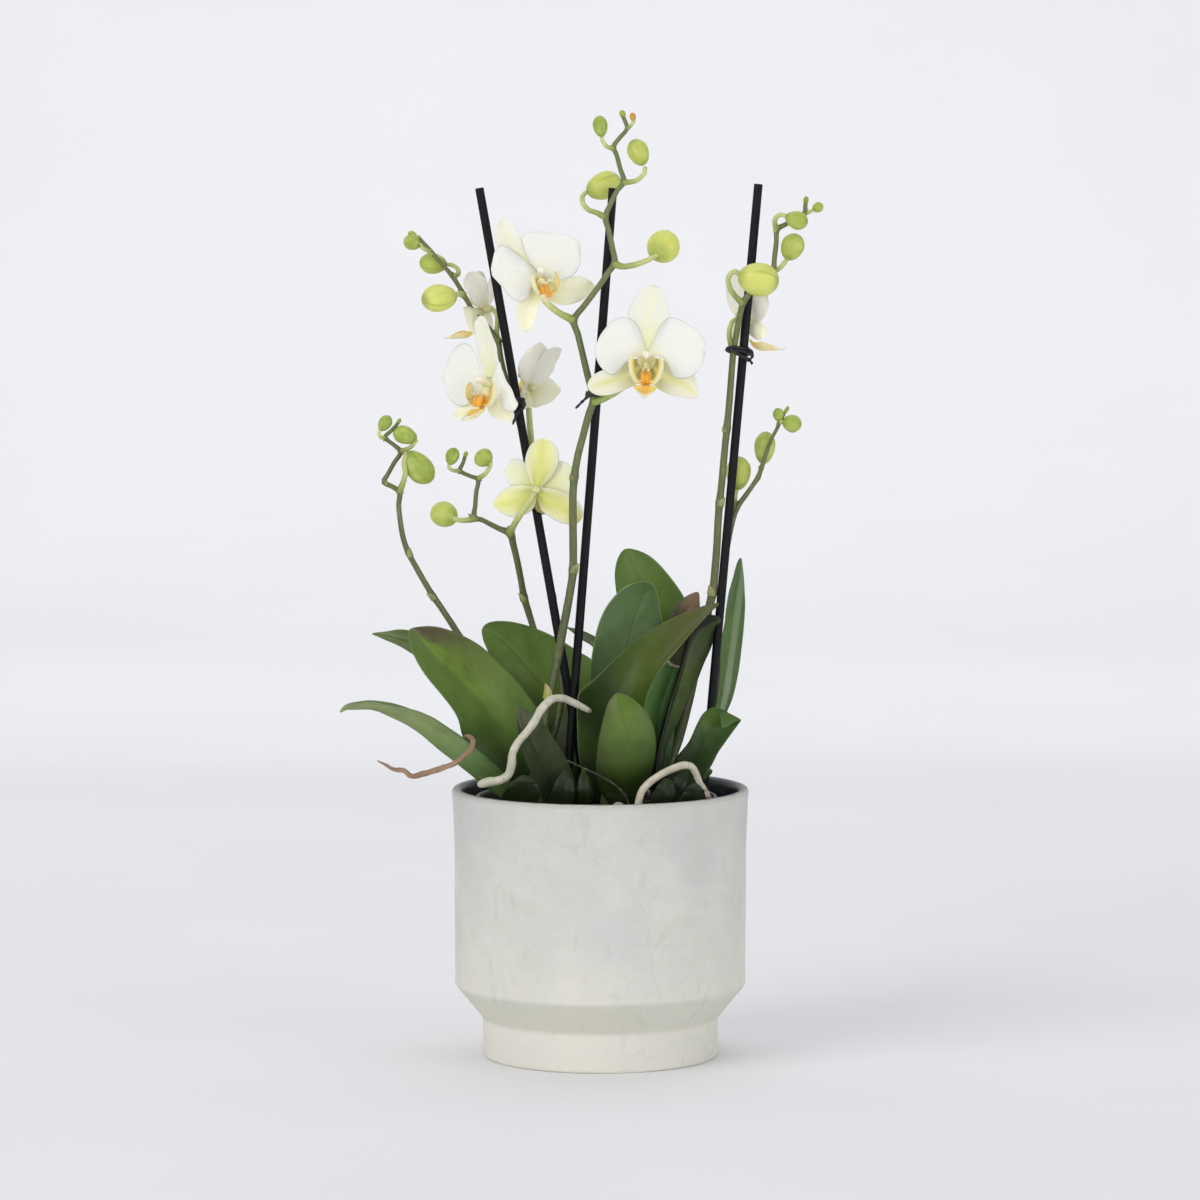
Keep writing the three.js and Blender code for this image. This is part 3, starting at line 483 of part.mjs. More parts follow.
// Turned body about +Z from an outline of [radius, height] given counter-clockwise in the r-z plane.
function turned(outline, segments, cx = 0, cy = 0) {
  const g = new THREE.LatheGeometry(outline.map((p) => new THREE.Vector2(p[0], p[1])), segments);
  g.rotateX(Math.PI / 2);
  g.translate(cx, cy, 0);
  return solid(cleaned(g));
}
const joined = (list) => list.reduce((a, b) => a.add(b));

// ---------------------------------------------------------------- makers
const makers = [];
const add = (name, colour, roughness, make, group) => makers.push({ name, colour, roughness, make, group });

// Outer pot: foot, chamfer, wall with a slight flare to a rounded rim, and the hollow inside.
const potOutline = (e) => [
  [0, 0 - e], [FOOT_R - 0.8, 0 - e], [FOOT_R + e, 0.8], [FOOT_R + e, NECK_Z], [WALL_R + e, SHOULDER_Z], [WALL_R + e, 45], [WALL_R + e, 105],
  [RIM_R - 0.35 + e, 126], [RIM_R + e, POT_H - 1.6], [RIM_R - 0.7 + e, POT_H - 0.35 + e], [RIM_R - 2.3, POT_H + e], [RIM_INNER_R + 0.8 - e, POT_H - 0.6 + e],
  [RIM_INNER_R - e, POT_H - 2.2], [RIM_INNER_R - 1.2 - e, 105], [RIM_INNER_R - 1.4 - e, 40], [RIM_INNER_R - 5 - e, 30], [FOOT_R - 5.5 - e, 20], [FOOT_R - 6 - e, FLOOR_T + 1 + e],
  [FOOT_R - 8 - e, FLOOR_T + e], [0, FLOOR_T + e],
];
add("planter", 0xcfcec8, 0.75, (e) => turned(potOutline(e), 36), "pot");
// Inner plastic pot, thin walled, with a rolled rim and a floor with one drain hole in its middle.
const growOutline = (e) => [
  [DRAIN_R - e, GROW_Z0 - e], [GROW_R0 + e, GROW_Z0 - e], [GROW_R1 - 0.9 + e, GROW_Z1 - 6], [GROW_R1 + e, GROW_Z1 - 5.5], [GROW_R1 + e, GROW_Z1 - 0.5],
  [GROW_R1 - 0.6, GROW_Z1 + e], [GROW_R1 - GROW_T - 0.4, GROW_Z1 + e], [GROW_R1 - GROW_T - 0.9 - e, GROW_Z1 - 1], [GROW_R0 - GROW_T - e, GROW_Z0 + GROW_T + e], [DRAIN_R - e, GROW_Z0 + GROW_T + e],
];
function ringTurned(outline, segments, cx, cy) {
  return turned([...outline, outline[0]], segments, cx, cy);
}
add("grow_pot", 0x3a3c40, 0.5, (e) => ringTurned(growOutline(e), 24, GROW_X, 0), "pot");

for (const s of STAKES)
  add(s.name, 0x1c1e22, 0.45, (e) => tube([[...s.foot, STAKE_R], [...s.b, STAKE_R]], 8, e), "stake");

function spike(s, e) {
  const parts = [tube(s.main, 5, e)];
  for (const b of s.branches) parts.push(tube(b, 4, e));
  for (const b of BUDS) if (b.spike === s.name && !b.own) parts.push(egg(b.a, b.b, b.r, b.r > 2 ? 6 : 5, b.r > 2 ? 4 : 3, e));
  return joined(parts);
}
for (const s of SPIKES) add(s.name, 0x75813f, 0.5, (e) => spike(s, e), "spike");
for (const b of BUDS) if (b.own) add(b.name, 0xaab852, 0.5, (e) => egg(b.a, b.b, b.r, 8, 6, e), "bud");

// Clip: an oval loop round a stake and a stem, with a twisted tail.
function clip(c, e) {
  const centre = V(c.stake).add(V(c.stem)).multiplyScalar(0.5);
  const along = V(c.stem).sub(V(c.stake));
  const half = along.length() / 2;
  along.normalize();
  const axis = V(c.axis).normalize();
  const side = axis.clone().cross(along).normalize();
  along.copy(side.clone().cross(axis)).normalize();
  const parts = [], n = 12, ring = [];
  for (let i = 0; i <= n; i++) {
    const t = (2 * Math.PI * i) / n;
    const p = centre.clone()
      .addScaledVector(along, (half + c.reach) * Math.cos(t))
      .addScaledVector(side, c.reach * 1.02 * Math.sign(Math.sin(t)) * Math.pow(Math.abs(Math.sin(t)), 0.7))
      .addScaledVector(axis, c.rise * Math.sin(t + 0.6));
    ring.push([p.x, p.y, p.z, CLIP_R]);
  }
  // the closed loop is made of two open arcs that overlap at their ends
  parts.push(tube(ring.slice(0, n / 2 + 2), 4, e));
  parts.push(tube([...ring.slice(n / 2), ring[1]], 4, e));
  for (const t of c.tails) parts.push(tube(t, 4, e));
  return joined(parts);
}
for (const c of CLIPS) add(c.name, 0x202226, 0.5, (e) => clip(c, e), "clip");

for (const r of ROOTS) add(r.name, r.name === "dry_root" ? 0xa57d64 : 0xc3beaa, 0.8, (e) => tube(r.pts, r.name === "thin_root" ? 4 : 6, e), "root");
for (const c of CROWNS) add(c.name, 0x4b5a2c, 0.6, (e) => tube(c.pts, 8, e), "crown");

for (const l of LEAVES)
  add(l.name, l.name === "leaf_brown_tip" ? 0x5f4b3c : 0x4f6e35, 0.4, (e) => blade(l.L, l.R, l.M, 0, l.th, 7, 2, e, l.blunt ? 1 : 0.975), "leaf");

// Flower: five tepals that meet in a small round base.
function flower(f, e) {
  const n = V(f.n), c = V(f.c);
  const parts = [];
  const p0 = c.clone().addScaledVector(n, -2.2), p1 = c.clone().addScaledVector(n, 1.3);
  parts.push(egg([p0.x, p0.y, p0.z], [p1.x, p1.y, p1.z], 3.2, 8, 6, e));
  for (const p of f.petals)
    parts.push(blade(p.L, p.R, null, p.cup, PETAL_T, p.kind.startsWith("petal") ? 4 : 3, 2, e, 0.97));
  return joined(parts);
}
// Column and lip of a flower, in a local frame of right, up and forward.
function lip(f, e) {
  const n = V(f.lip_n), up = V(f.lip_up), right = up.clone().cross(n), c = V(f.c), k = f.lip_scale;
  const at = (a, b, w) => c.clone().addScaledVector(right, a * k).addScaledVector(up, b * k).addScaledVector(n, w * k).toArray();
  const T = (list, sides) => tube(list.map((q) => [...at(q[0], q[1], q[2]), q[3] * k]), sides, e);
  return joined([
    egg(at(0, 1.0, 1.9), at(0, 4.0, 8.8), 2.3 * k, 6, 4, e),
    T([[0, 0.5, 2.2, 1.6], [0, -4.6, 4.6, 2.2], [0, -10.4, 5.6, 2.4], [0, -13.2, 9.4, 3.4], [0, -14.2, 13.6, 2.8], [0, -15.7, 19, 0.8]], 5),
    T([[0, -2.5, 4.6, 1.6], [-4, -5.2, 5.6, 1.7], [-7.0, -3.6, 7, 1.7], [-8.0, 0.2, 8.2, 1.4], [-7.4, 3.6, 8.4, 0.8]], 4),
    T([[0, -2.5, 4.6, 1.6], [4, -5.2, 5.6, 1.7], [7.0, -3.6, 7, 1.7], [8.0, 0.2, 8.2, 1.4], [7.4, 3.6, 8.4, 0.8]], 4),
  ]);
}
for (const f of FLOWERS) add(f.name, 0xeceade, 0.6, (e) => flower(f, e), "flower");
for (const f of FLOWERS) add("lip_" + f.name.slice(-1), 0xf0c858, 0.55, (e) => lip(f, e), "lip");

// Potting bark that fills the inner pot, slightly mounded.
const barkOutline = [
  [0, GROW_Z0 + GROW_T + GAP], [GROW_R0 - GROW_T - 1.0, GROW_Z0 + GROW_T + GAP], [GROW_R1 - GROW_T - 2.6, BARK_Z - 5], [GROW_R1 - 7, BARK_Z - 2.6], [GROW_R1 - 20, BARK_Z - 0.6], [GROW_R1 - 38, BARK_Z + 0.4], [0, BARK_Z],
];
add("bark_mix", 0x3a2a1e, 0.9, () => turned(barkOutline, 24, GROW_X, 0), "bark");

// ---------------------------------------------------------------- fit the pieces round each other
// Each piece is cut back where it would run into an earlier one, with a small gap left between them.
const done = [];
const root = new THREE.Group();
root.name = "potted_orchid";
const groups = {};
const meets = (a, b) => [0, 1, 2].every((i) => a.min[i] <= b.max[i] && b.min[i] <= a.max[i]);
for (const m of makers) {
  let s = m.make(0);
  for (const d of done) {
    if (!meets(s.boundingBox(), d.fatBox)) continue;
    if (s.intersect(d.fat).volume() > 1e-5) s = s.subtract(d.fat);
  }
  const bodies = s.decompose().sort((a, b) => b.volume() - a.volume());
  s = bodies[0];
  if (m.name !== "bark_mix") {
    const fat = m.make(GAP);
    done.push({ fat, fatBox: fat.boundingBox() });
  }
  const mesh = new THREE.Mesh(geometryOf(s), new THREE.MeshStandardMaterial({ color: m.colour, roughness: m.roughness, metalness: 0 }));
  mesh.name = m.name;
  mesh.geometry.computeVertexNormals();
  if (!groups[m.group]) {
    groups[m.group] = new THREE.Group();
    root.add(groups[m.group]);
  }
  groups[m.group].add(mesh);
}
export default root;
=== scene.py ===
"""Looks of a potted multiflora moth orchid: stoneware pot, grown plant, studio floor and light.

Lengths in the tables are in mm, in the part's frame: X right, Y away from the camera, Z up, origin at the centre of the pot's underside.
"""
import math
import random

import bmesh
import bpy
import numpy as np
from mathutils import Euler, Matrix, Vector, noise


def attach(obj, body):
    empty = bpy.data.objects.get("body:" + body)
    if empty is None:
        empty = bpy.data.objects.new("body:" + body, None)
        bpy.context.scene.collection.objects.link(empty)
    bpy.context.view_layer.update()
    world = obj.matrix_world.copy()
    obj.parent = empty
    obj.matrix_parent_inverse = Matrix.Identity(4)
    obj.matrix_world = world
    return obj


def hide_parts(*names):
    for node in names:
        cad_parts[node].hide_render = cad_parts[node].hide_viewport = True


CAM_D = 2614.7  # the camera stands this far in front of the pot
CAM_H = 448.7  # and this high
CAM_TILT = 0.08595  # it looks down by this angle (rad)
CAM_LENS = 161.7  # mm, on a 36 mm wide sensor

POT_H = 131.8  # height of the outer pot
RIM_R = 72.5  # outer radius at the rim
RIM_INNER_R = 67.5  # inner radius at the rim
WALL_R = 71.1  # outer radius of the wall
FOOT_R = 57.5  # radius of the foot
NECK_Z = 19.0  # top of the upright foot
SHOULDER_Z = 35.5  # top of the chamfer
FLOOR_T = 6.0  # thickness of the pot's floor
GROW_X = -2.0  # the inner pot stands a little off centre
GROW_R0 = 46.0  # outer radius of the inner pot at its base
GROW_R1 = 59.0  # outer radius of the inner pot at its rim
GROW_Z0 = FLOOR_T + 0.35  # the inner pot's underside
GROW_Z1 = 127.5  # the inner pot's rim
GROW_T = 1.5  # wall of the inner pot
DRAIN_R = 8.0  # drain hole in the inner pot's floor
BARK_Z = 123.6  # top of the bark
STAKE_R = 2.1  # support stakes
CLIP_R = 0.85  # clip wire

# pale bits that lie on the bark: x, y, z, radius
PALE_BITS = [(8.6, -31.0, 125.4, 3.0), (35.0, -31.0, 125.2, 2.6), (46.0, -27.0, 125.0, 2.2), (-24.0, -38.0, 124.2, 2.0), (-41.0, -22.0, 124.2, 2.2), (22.0, 34.0, 124.6, 2.4)]

LIP_TILT = {"flower_1": 34.0, "flower_7": 8.0}
# degrees the left and right side lobes open, their size, their step forward and the step of the left one to the right (mm)
LOBES = {"flower_1": (10.0, 26.0, 0.84, 0.0, 2.2), "flower_3": (6.0, 40.0, 0.86, 0.0, 0.0), "flower_5": (0.0, 0.0, 1.2, 0.0, 0.0), "flower_4": (0.0, 0.0, 0.4, -2.4, 0.0), "flower_7": (0.0, 0.0, 0.4, -2.4, 0.0)}
# width of the middle lobe
MID_WIDTH = {"flower_3": 0.55, "flower_1": 0.85}
# step of the middle lobe up and forward (mm)
MID_SHIFT = {"flower_4": (-1.4, -1.2), "flower_7": (-1.2, -2.4)}
BUD_MIX = {"bud_middle_1": 1.0, "bud_middle_2": 0.84, "bud_middle_3": 0.6, "bud_right_1": 0.98, "bud_left_1": 0.95, "bud_left_2": 0.5, "bud_outer_left_1": 0.22, "bud_inner_left_1": 0.58}
ROOT_SLIM = {"aerial_root_left": 1.0, "aerial_root_front": 0.98}

WORLD_C = (234, 236, 240)
WORLD_S = 0.46
FLOOR_A = (236, 236, 239)
FLOOR_B = (239, 239, 241)
BACK_A = (246, 246, 248)
BACK_B = (248, 248, 250)
# name, place, target, size, power, colour
LIGHTS = [
    ("key", (-2.2, -2.0, 1.7), (0.0, 0.0, 0.15), (2.2, 1.6), 44.0, (1.0, 0.995, 0.985)),
    ("fill", (2.5, -1.6, 0.9), (0.0, 0.0, 0.15), (2.0, 1.4), 21.0, (0.985, 0.99, 1.0)),
    ("top", (0.2, 0.4, 3.0), (0.0, 0.0, 0.2), (2.4, 2.2), 14.0, (1.0, 1.0, 1.0)),
    ("low", (0.0, -2.6, 0.35), (0.0, 0.0, 0.1), (3.0, 0.6), 12.0, (1.0, 0.99, 0.97)),
    ("backdrop", (0.0, 1.3, 1.3), (0.0, 3.8, 0.55), (4.0, 2.0), 11.3, (1.0, 0.995, 0.99), 125.0),
    ("far_floor", (0.0, 1.2, 1.7), (0.0, 0.9, 0.0), (4.0, 0.9), 11.0, (1.0, 0.997, 0.99)),
    ("gridded", (0.75, -0.9, 0.22), (-0.045, 0.0, 0.36), (0.3, 0.3), 0.028, (1.0, 0.99, 0.96), 24.0),
]

STAKES = [
    {"name":"stake_left","a":[-5.63,5.5,121.71],"b":[-58.89,16.0,423.3],"foot":[8.45,2.72,42.0]},
    {"name":"stake_middle","a":[-17.0,0.0,122.4],"b":[6.14,0.0,423.46],"foot":[-23.18,0.0,42.0]},
    {"name":"stake_right","a":[50.0,6.0,121.65],"b":[76.54,2.0,425.37],"foot":[43.04,7.05,42.0]},
]

SPIKES = [
    {"name":"spike_middle","main":[[-32.32,-5.0,134.8,2.25],[-29.37,-5.0,152.94,2.22],[-26.93,-5.0,167.15,2.18],[-24.72,-5.5,177.48,2.15],
     [-22.23,-6.0,188.78,2.12],[-20.07,-7.0,199.62,2.08],[-18.17,-7.5,209.43,2.05],[-16.27,-8.0,219.23,2.02],[-14.51,-8.5,229.01,1.98],
     [-13.24,-9.0,237.82,1.95],[-13.09,-9.0,246.09,1.92],[-13.23,-9.0,263.1,1.88],[-13.23,-9.0,275.24,1.85],[-12.5,-9.0,284.46,1.82],
     [-10.8,-9.0,294.65,1.78],[-8.37,-8.5,303.83,1.75],[-5.81,-8.0,313.49,1.72],[-3.53,-7.5,321.22,1.68],[-4.5,-7.5,327.03,1.65],
     [-6.19,-7.0,333.3,1.62],[-8.37,-7.0,342.49,1.58],[-10.78,-7.0,352.64,1.55],[-12.72,-7.0,359.89,1.52],[-7.88,-7.0,366.65,1.48],
     [-1.59,-7.0,374.86,1.45],[3.72,-7.0,382.58,1.42],[6.86,-7.0,387.4,1.38],[5.89,-7.0,394.63,1.35],[4.2,-7.0,402.34,1.32],[2.51,-7.0,409.57,1.28],
     [5.16,-7.0,416.31,1.25],[8.06,-7.0,422.08,1.22],[11.19,-7.0,426.65,1.18],[9.5,-6.5,433.14,1.15],[7.81,-6.0,439.39,1.12],[6.37,-6.0,443.24,1.08],
     [9.26,-6.0,447.56,1.05],[12.87,-6.0,452.12,1.02],[11.67,-6.0,456.21,0.98],[10.46,-6.0,459.09,0.95]],"nodes":[[-24.72,-5.5,177.48,2.9],
     [-13.14,-9.0,238.79,2.75],[-12.74,-9.0,283.98,2.6],[-12.72,-7.0,359.89,2.3],[6.86,-7.0,387.4,2.1],[2.51,-7.0,409.57,2.0],[11.19,-7.0,426.65,1.9],
     [6.37,-6.0,443.24,1.7]],"branches":[[[-12.72,-7.0,359.89,1.75],[-18.52,-6.5,362.53,1.68],[-23.36,-5.5,365.88,1.6],[-26.51,-5.0,369.0,1.52],
     [-28.43,-5.6,372.4,1.45]],[[-3.29,-7.5,320.25,1.75],[0.82,-9.0,321.53,1.69],[5.66,-10.0,324.0,1.63],[11.94,-11.0,328.16,1.57],
     [17.24,-12.5,332.57,1.51],[20.84,-15.0,336.06,1.45]],[[6.86,-7.0,386.92,1.6],[10.48,-8.0,385.74,1.52],[15.3,-10.0,386.27,1.44],
     [20.1,-12.0,387.76,1.36],[23.94,-14.0,389.49,1.28],[27.05,-15.5,391.45,1.2]],[[2.27,-7.0,409.57,1.35],[-1.59,-6.0,411.48,1.31],
     [-5.95,-3.0,413.12,1.27],[-8.47,1.0,416.21,1.23],[-8.63,5.0,419.06,1.19],[-7.18,8.0,421.2,1.15]],[[11.19,-7.0,426.41,1.3],
     [14.81,-7.0,426.41,1.25],[18.19,-7.0,427.61,1.2],[20.98,-7.0,430.26,1.15],[21.7,-7.0,433.38,1.1]],[[6.37,-6.0,442.75,1.15],
     [3.47,-6.0,443.24,1.08],[1.45,-6.0,445.4,1.02],[0.68,-6.0,447.8,0.95]],[[12.87,-6.0,452.12,0.95],[14.8,-6.0,453.57,0.9],
     [16.15,-6.0,455.73,0.85]]]},
    {"name":"spike_left","main":[[-29.0,4.0,135.69,1.85],[-25.61,8.0,148.02,1.82],[-21.22,11.4,162.42,1.79],[-18.52,13.0,178.02,1.75],
     [-19.49,13.1,195.24,1.72],[-23.44,13.2,223.75,1.69],[-27.25,13.9,245.29,1.66],[-30.07,14.5,261.43,1.62],[-32.27,14.9,273.65,1.59],
     [-34.56,15.3,285.87,1.56],[-36.8,15.7,297.1,1.53],[-39.23,16.1,307.35,1.5],[-41.86,16.5,317.6,1.46],[-44.2,16.7,324.92,1.43],
     [-47.12,16.9,333.7,1.4],[-48.82,17.2,341.99,1.37],[-49.94,17.3,348.82,1.34],[-54.55,16.5,355.19,1.3],[-58.42,15.5,359.12,1.27],
     [-61.56,14.5,362.57,1.24],[-63.96,13.5,366.98,1.21],[-66.7,12.5,371.88,1.18],[-69.5,12.0,376.75,1.14],[-72.16,11.5,380.9,1.11],
     [-76.02,11.0,385.28,1.08],[-79.4,10.5,389.17,1.05],[-82.55,10.3,392.82,1.01],[-85.45,10.0,396.22,0.98],
     [-88.11,10.0,399.13,0.95]],"nodes":[[-23.44,13.2,223.75,1.95],[-34.56,15.3,285.87,1.95],[-49.94,17.3,348.82,2.1],[-66.7,12.5,371.88,2.0],
     [-72.16,11.5,380.9,1.8],[-82.55,10.3,392.82,1.6]],"branches":[[[-43.03,16.6,321.02,1.7],[-47.67,11.0,320.8,1.62],[-52.18,5.0,322.06,1.53],
     [-54.98,-0.5,324.27,1.45]],[[-49.94,17.3,348.82,1.35],[-50.62,17.8,352.7,1.3],[-50.14,18.5,357.56,1.25],[-50.68,19.2,361.92,1.2],
     [-53.14,20.0,364.83,1.15],[-55.35,20.8,365.78,1.1]],[[-34.41,15.3,284.89,1.75],[-34.0,18.5,291.55,1.69],[-33.92,20.5,300.26,1.62],
     [-34.51,21.5,308.04,1.56],[-34.9,22.0,315.37,1.5]],[[-66.7,12.5,371.63,1.5],[-68.48,9.5,371.96,1.43],[-70.35,6.8,371.56,1.35]],
     [[-71.43,11.5,380.41,1.2],[-69.16,14.0,381.56,1.16],[-69.57,16.8,383.92,1.12],[-71.84,18.2,385.59,1.09],[-74.53,18.4,386.07,1.05]],
     [[-82.55,10.3,392.82,1.15],[-84.95,9.5,393.56,1.07],[-87.36,9.0,395.03,1.0]],[[-88.11,10.0,399.13,0.95],[-89.81,10.0,400.34,0.9]]]},
    {"name":"spike_right","main":[[31.22,9.0,131.64,2.3],[35.41,12.0,145.1,2.26],[38.37,14.0,153.26,2.23],[41.07,15.0,163.02,2.19],
     [43.51,15.2,172.86,2.15],[45.46,15.0,181.76,2.11],[47.39,14.0,191.71,2.08],[49.3,12.0,200.27,2.04],[51.18,9.0,210.37,2.0],
     [53.06,6.0,219.47,1.97],[54.88,5.0,226.9,1.93],[55.92,4.2,237.73,1.89],[56.85,3.6,250.0,1.85],[57.4,3.0,262.25,1.82],[58.06,2.6,270.57,1.78],
     [59.2,2.2,281.81,1.74],[60.23,1.8,294.01,1.71],[61.47,1.6,307.16,1.67],[62.51,1.5,318.35,1.63],[63.26,1.3,328.07,1.59],[63.92,1.2,336.82,1.56],
     [64.63,1.2,345.06,1.52],[65.91,0.4,352.37,1.48],[67.34,-1.8,360.68,1.45],[69.29,-4.0,368.49,1.41],[72.89,-4.6,373.34,1.37],
     [77.71,-4.8,378.66,1.33],[83.25,-5.0,383.01,1.3],[84.2,-5.0,389.77,1.26],[85.05,-5.0,397.49,1.22],[85.61,-5.0,403.75,1.19],
     [89.0,-4.8,405.68,1.15],[94.09,-4.0,408.32,1.11],[98.67,-4.0,411.21,1.07],[99.05,-4.0,414.83,1.04],
     [99.37,-4.0,418.2,1.0]],"nodes":[[54.88,5.0,226.41,2.9],[58.06,2.6,270.57,2.6],[61.47,1.6,307.16,2.5],[69.29,-4.0,368.49,2.2],
     [83.25,-5.0,383.01,2.0],[85.61,-5.0,403.75,1.7],[98.67,-4.0,411.21,1.4]],"branches":[[[64.49,1.2,345.55,1.35],[62.86,2.5,349.87,1.29],
     [62.81,5.0,355.11,1.23],[64.53,8.0,358.89,1.16],[67.28,11.0,360.49,1.1]],[[68.81,-4.0,368.01,1.35],[65.61,-6.0,370.97,1.32],
     [62.64,-8.5,375.14,1.28],[61.61,-11.0,379.07,1.25],[62.76,-13.0,382.49,1.22],[65.13,-14.5,383.49,1.18],[66.8,-15.2,382.07,1.15]],
     [[83.25,-5.0,383.01,1.25],[86.15,-5.0,384.46,1.2],[88.56,-5.0,386.87,1.15],[90.25,-5.0,389.04,1.1]],[[85.37,-5.0,403.75,1.25],
     [84.27,-6.0,406.42,1.21],[84.68,-8.0,409.1,1.18],[86.88,-10.0,410.67,1.14],[89.48,-11.5,410.21,1.1]],[[98.67,-4.0,411.21,0.95],
     [100.84,-4.0,411.84,0.9],[102.77,-4.0,412.99,0.85]]]},
    {"name":"side_spike_outer_left","main":[[-34.82,0.0,137.64,1.75],[-43.16,4.0,156.84,1.72],[-51.02,7.5,172.69,1.68],[-58.86,9.5,188.22,1.65],
     [-65.68,9.5,200.01,1.61],[-70.06,9.0,206.93,1.58],[-74.41,8.0,213.9,1.54],[-78.27,7.0,219.87,1.51],[-81.66,6.5,224.81,1.47],
     [-86.02,6.0,232.2,1.44],[-90.13,5.5,239.58,1.4],[-93.52,5.5,245.94,1.37],[-96.02,5.0,253.31,1.33],[-97.5,5.0,262.11,1.3],
     [-98.16,5.0,269.43,1.27],[-97.8,5.0,275.78,1.23],[-100.95,5.0,278.22,1.2],[-105.33,5.0,280.65,1.16],[-103.37,5.0,284.56,1.13],
     [-100.43,5.0,289.92,1.09],[-97.25,5.0,295.28,1.06],[-100.16,5.0,298.45,1.02],[-103.07,5.0,300.64,0.99],[-104.77,5.0,302.59,0.95],
     [-101.84,5.0,305.51,0.92],[-99.4,5.0,308.19,0.88],[-97.54,5.0,310.63,0.85]],"nodes":[[-81.66,6.5,224.81,2.1],[-93.52,5.5,245.94,2.0],
     [-97.8,5.0,275.78,1.9],[-105.57,5.0,280.65,1.7],[-97.25,5.0,295.77,1.5],[-104.77,5.0,302.35,1.3]],"branches":[[[-97.65,5.0,276.02,1.45],
     [-96.0,3.0,280.3,1.4],[-94.76,0.0,284.87,1.35],[-95.24,-1.2,290.3,1.3],[-94.57,-0.6,294.15,1.25]],[[-97.25,5.0,295.77,1.05],
     [-93.84,5.0,296.74,1.02],[-91.15,5.0,298.69,0.98],[-89.39,5.0,301.13,0.95]],[[-104.77,5.0,302.35,0.95],[-106.71,5.0,302.35,0.92],
     [-107.68,5.0,304.3,0.88],[-107.04,5.0,306.24,0.85]]]},
    {"name":"side_spike_inner_left","main":[[-29.04,7.0,134.34,1.9],[-26.65,14.0,145.85,1.85],[-24.25,21.0,159.89,1.81],[-25.27,26.0,174.21,1.76],
     [-27.99,28.5,188.81,1.72],[-31.18,28.5,201.18,1.67],[-33.87,27.5,210.17,1.63],[-35.95,26.0,217.22,1.75],[-37.5,24.5,222.78,1.72],
     [-38.92,21.5,231.41,1.6],[-40.81,17.5,241.57,1.6],[-42.5,14.0,249.21,1.68],[-44.21,11.0,255.31,1.8],[-48.98,10.5,257.31,1.35],
     [-53.85,10.0,259.79,1.25],[-58.24,10.0,261.99,1.2],[-61.41,10.0,262.73,1.3],[-61.01,10.0,269.09,1.12],[-60.51,10.0,275.45,1.08],
     [-59.67,10.0,281.56,1.03],[-63.57,10.0,283.27,0.99],[-68.44,10.0,285.95,0.94],[-66.97,10.0,289.62,0.9],
     [-65.49,10.0,294.26,0.85]],"nodes":[[-37.5,24.5,222.78,2.25],[-44.21,11.0,255.31,2.2],[-61.41,10.0,262.73,1.9],[-59.67,10.0,281.8,1.7],
     [-68.44,10.0,285.95,1.4]],"branches":[[[-44.35,11.0,255.31,1.65],[-42.57,7.0,258.54,1.6],[-40.06,2.6,263.01,1.55],[-37.09,-0.6,267.62,1.5],
     [-34.15,-2.2,272.11,1.45],[-31.71,-2.4,275.78,1.4]],[[-61.41,10.0,262.48,1.4],[-65.51,8.0,261.74,1.33],[-68.86,5.5,262.07,1.27],
     [-71.49,3.6,262.94,1.2]],[[-59.42,10.0,282.04,1.15],[-56.47,9.0,284.06,1.1],[-54.0,8.0,287.54,1.05],[-53.26,7.4,290.26,1.0]],
     [[-68.44,10.0,285.95,0.95],[-71.61,10.0,285.95,0.92],[-73.7,10.0,287.08,0.88],[-73.7,10.0,289.13,0.85]]]},
    {"name":"side_spike_right","main":[[50.13,11.0,129.91,1.7],[51.82,11.5,148.61,1.65],[54.21,10.5,173.36,1.59],[56.6,9.8,198.02,1.54],
     [58.64,9.2,222.62,1.49],[61.13,8.8,242.26,1.44],[63.05,8.5,254.52,1.38],[64.98,8.4,262.84,1.33],[66.77,8.2,267.99,1.28],[71.03,7.5,274.14,1.23],
     [74.42,7.2,279.05,1.17],[76.94,7.0,282.97,1.12],[78.44,7.0,287.36,1.07],[80.23,7.0,292.73,1.02],[82.16,7.0,298.58,0.96],[84.1,7.0,302.97,0.91],
     [86.04,7.0,306.62,0.86],[87.3,7.0,309.55,0.81],[89.43,7.0,313.69,0.75],[91.36,7.0,316.85,0.7]],"nodes":[[66.68,8.2,267.74,1.9],
     [76.94,7.0,282.97,1.9],[87.3,7.0,309.55,1.4]],"branches":[[[66.29,8.2,267.74,1.2],[65.87,9.5,271.08,1.17],[65.95,10.8,273.93,1.13],
     [66.4,11.6,275.83,1.1]],[[78.44,7.0,287.36,1.25],[79.0,9.5,288.28,1.2],[79.51,12.0,289.2,1.15]],[[87.3,7.0,309.55,1.05],[88.83,6.5,310.35,1.0]],
     [[87.3,7.0,309.55,0.9],[87.2,7.0,310.47,0.85]]]},
]

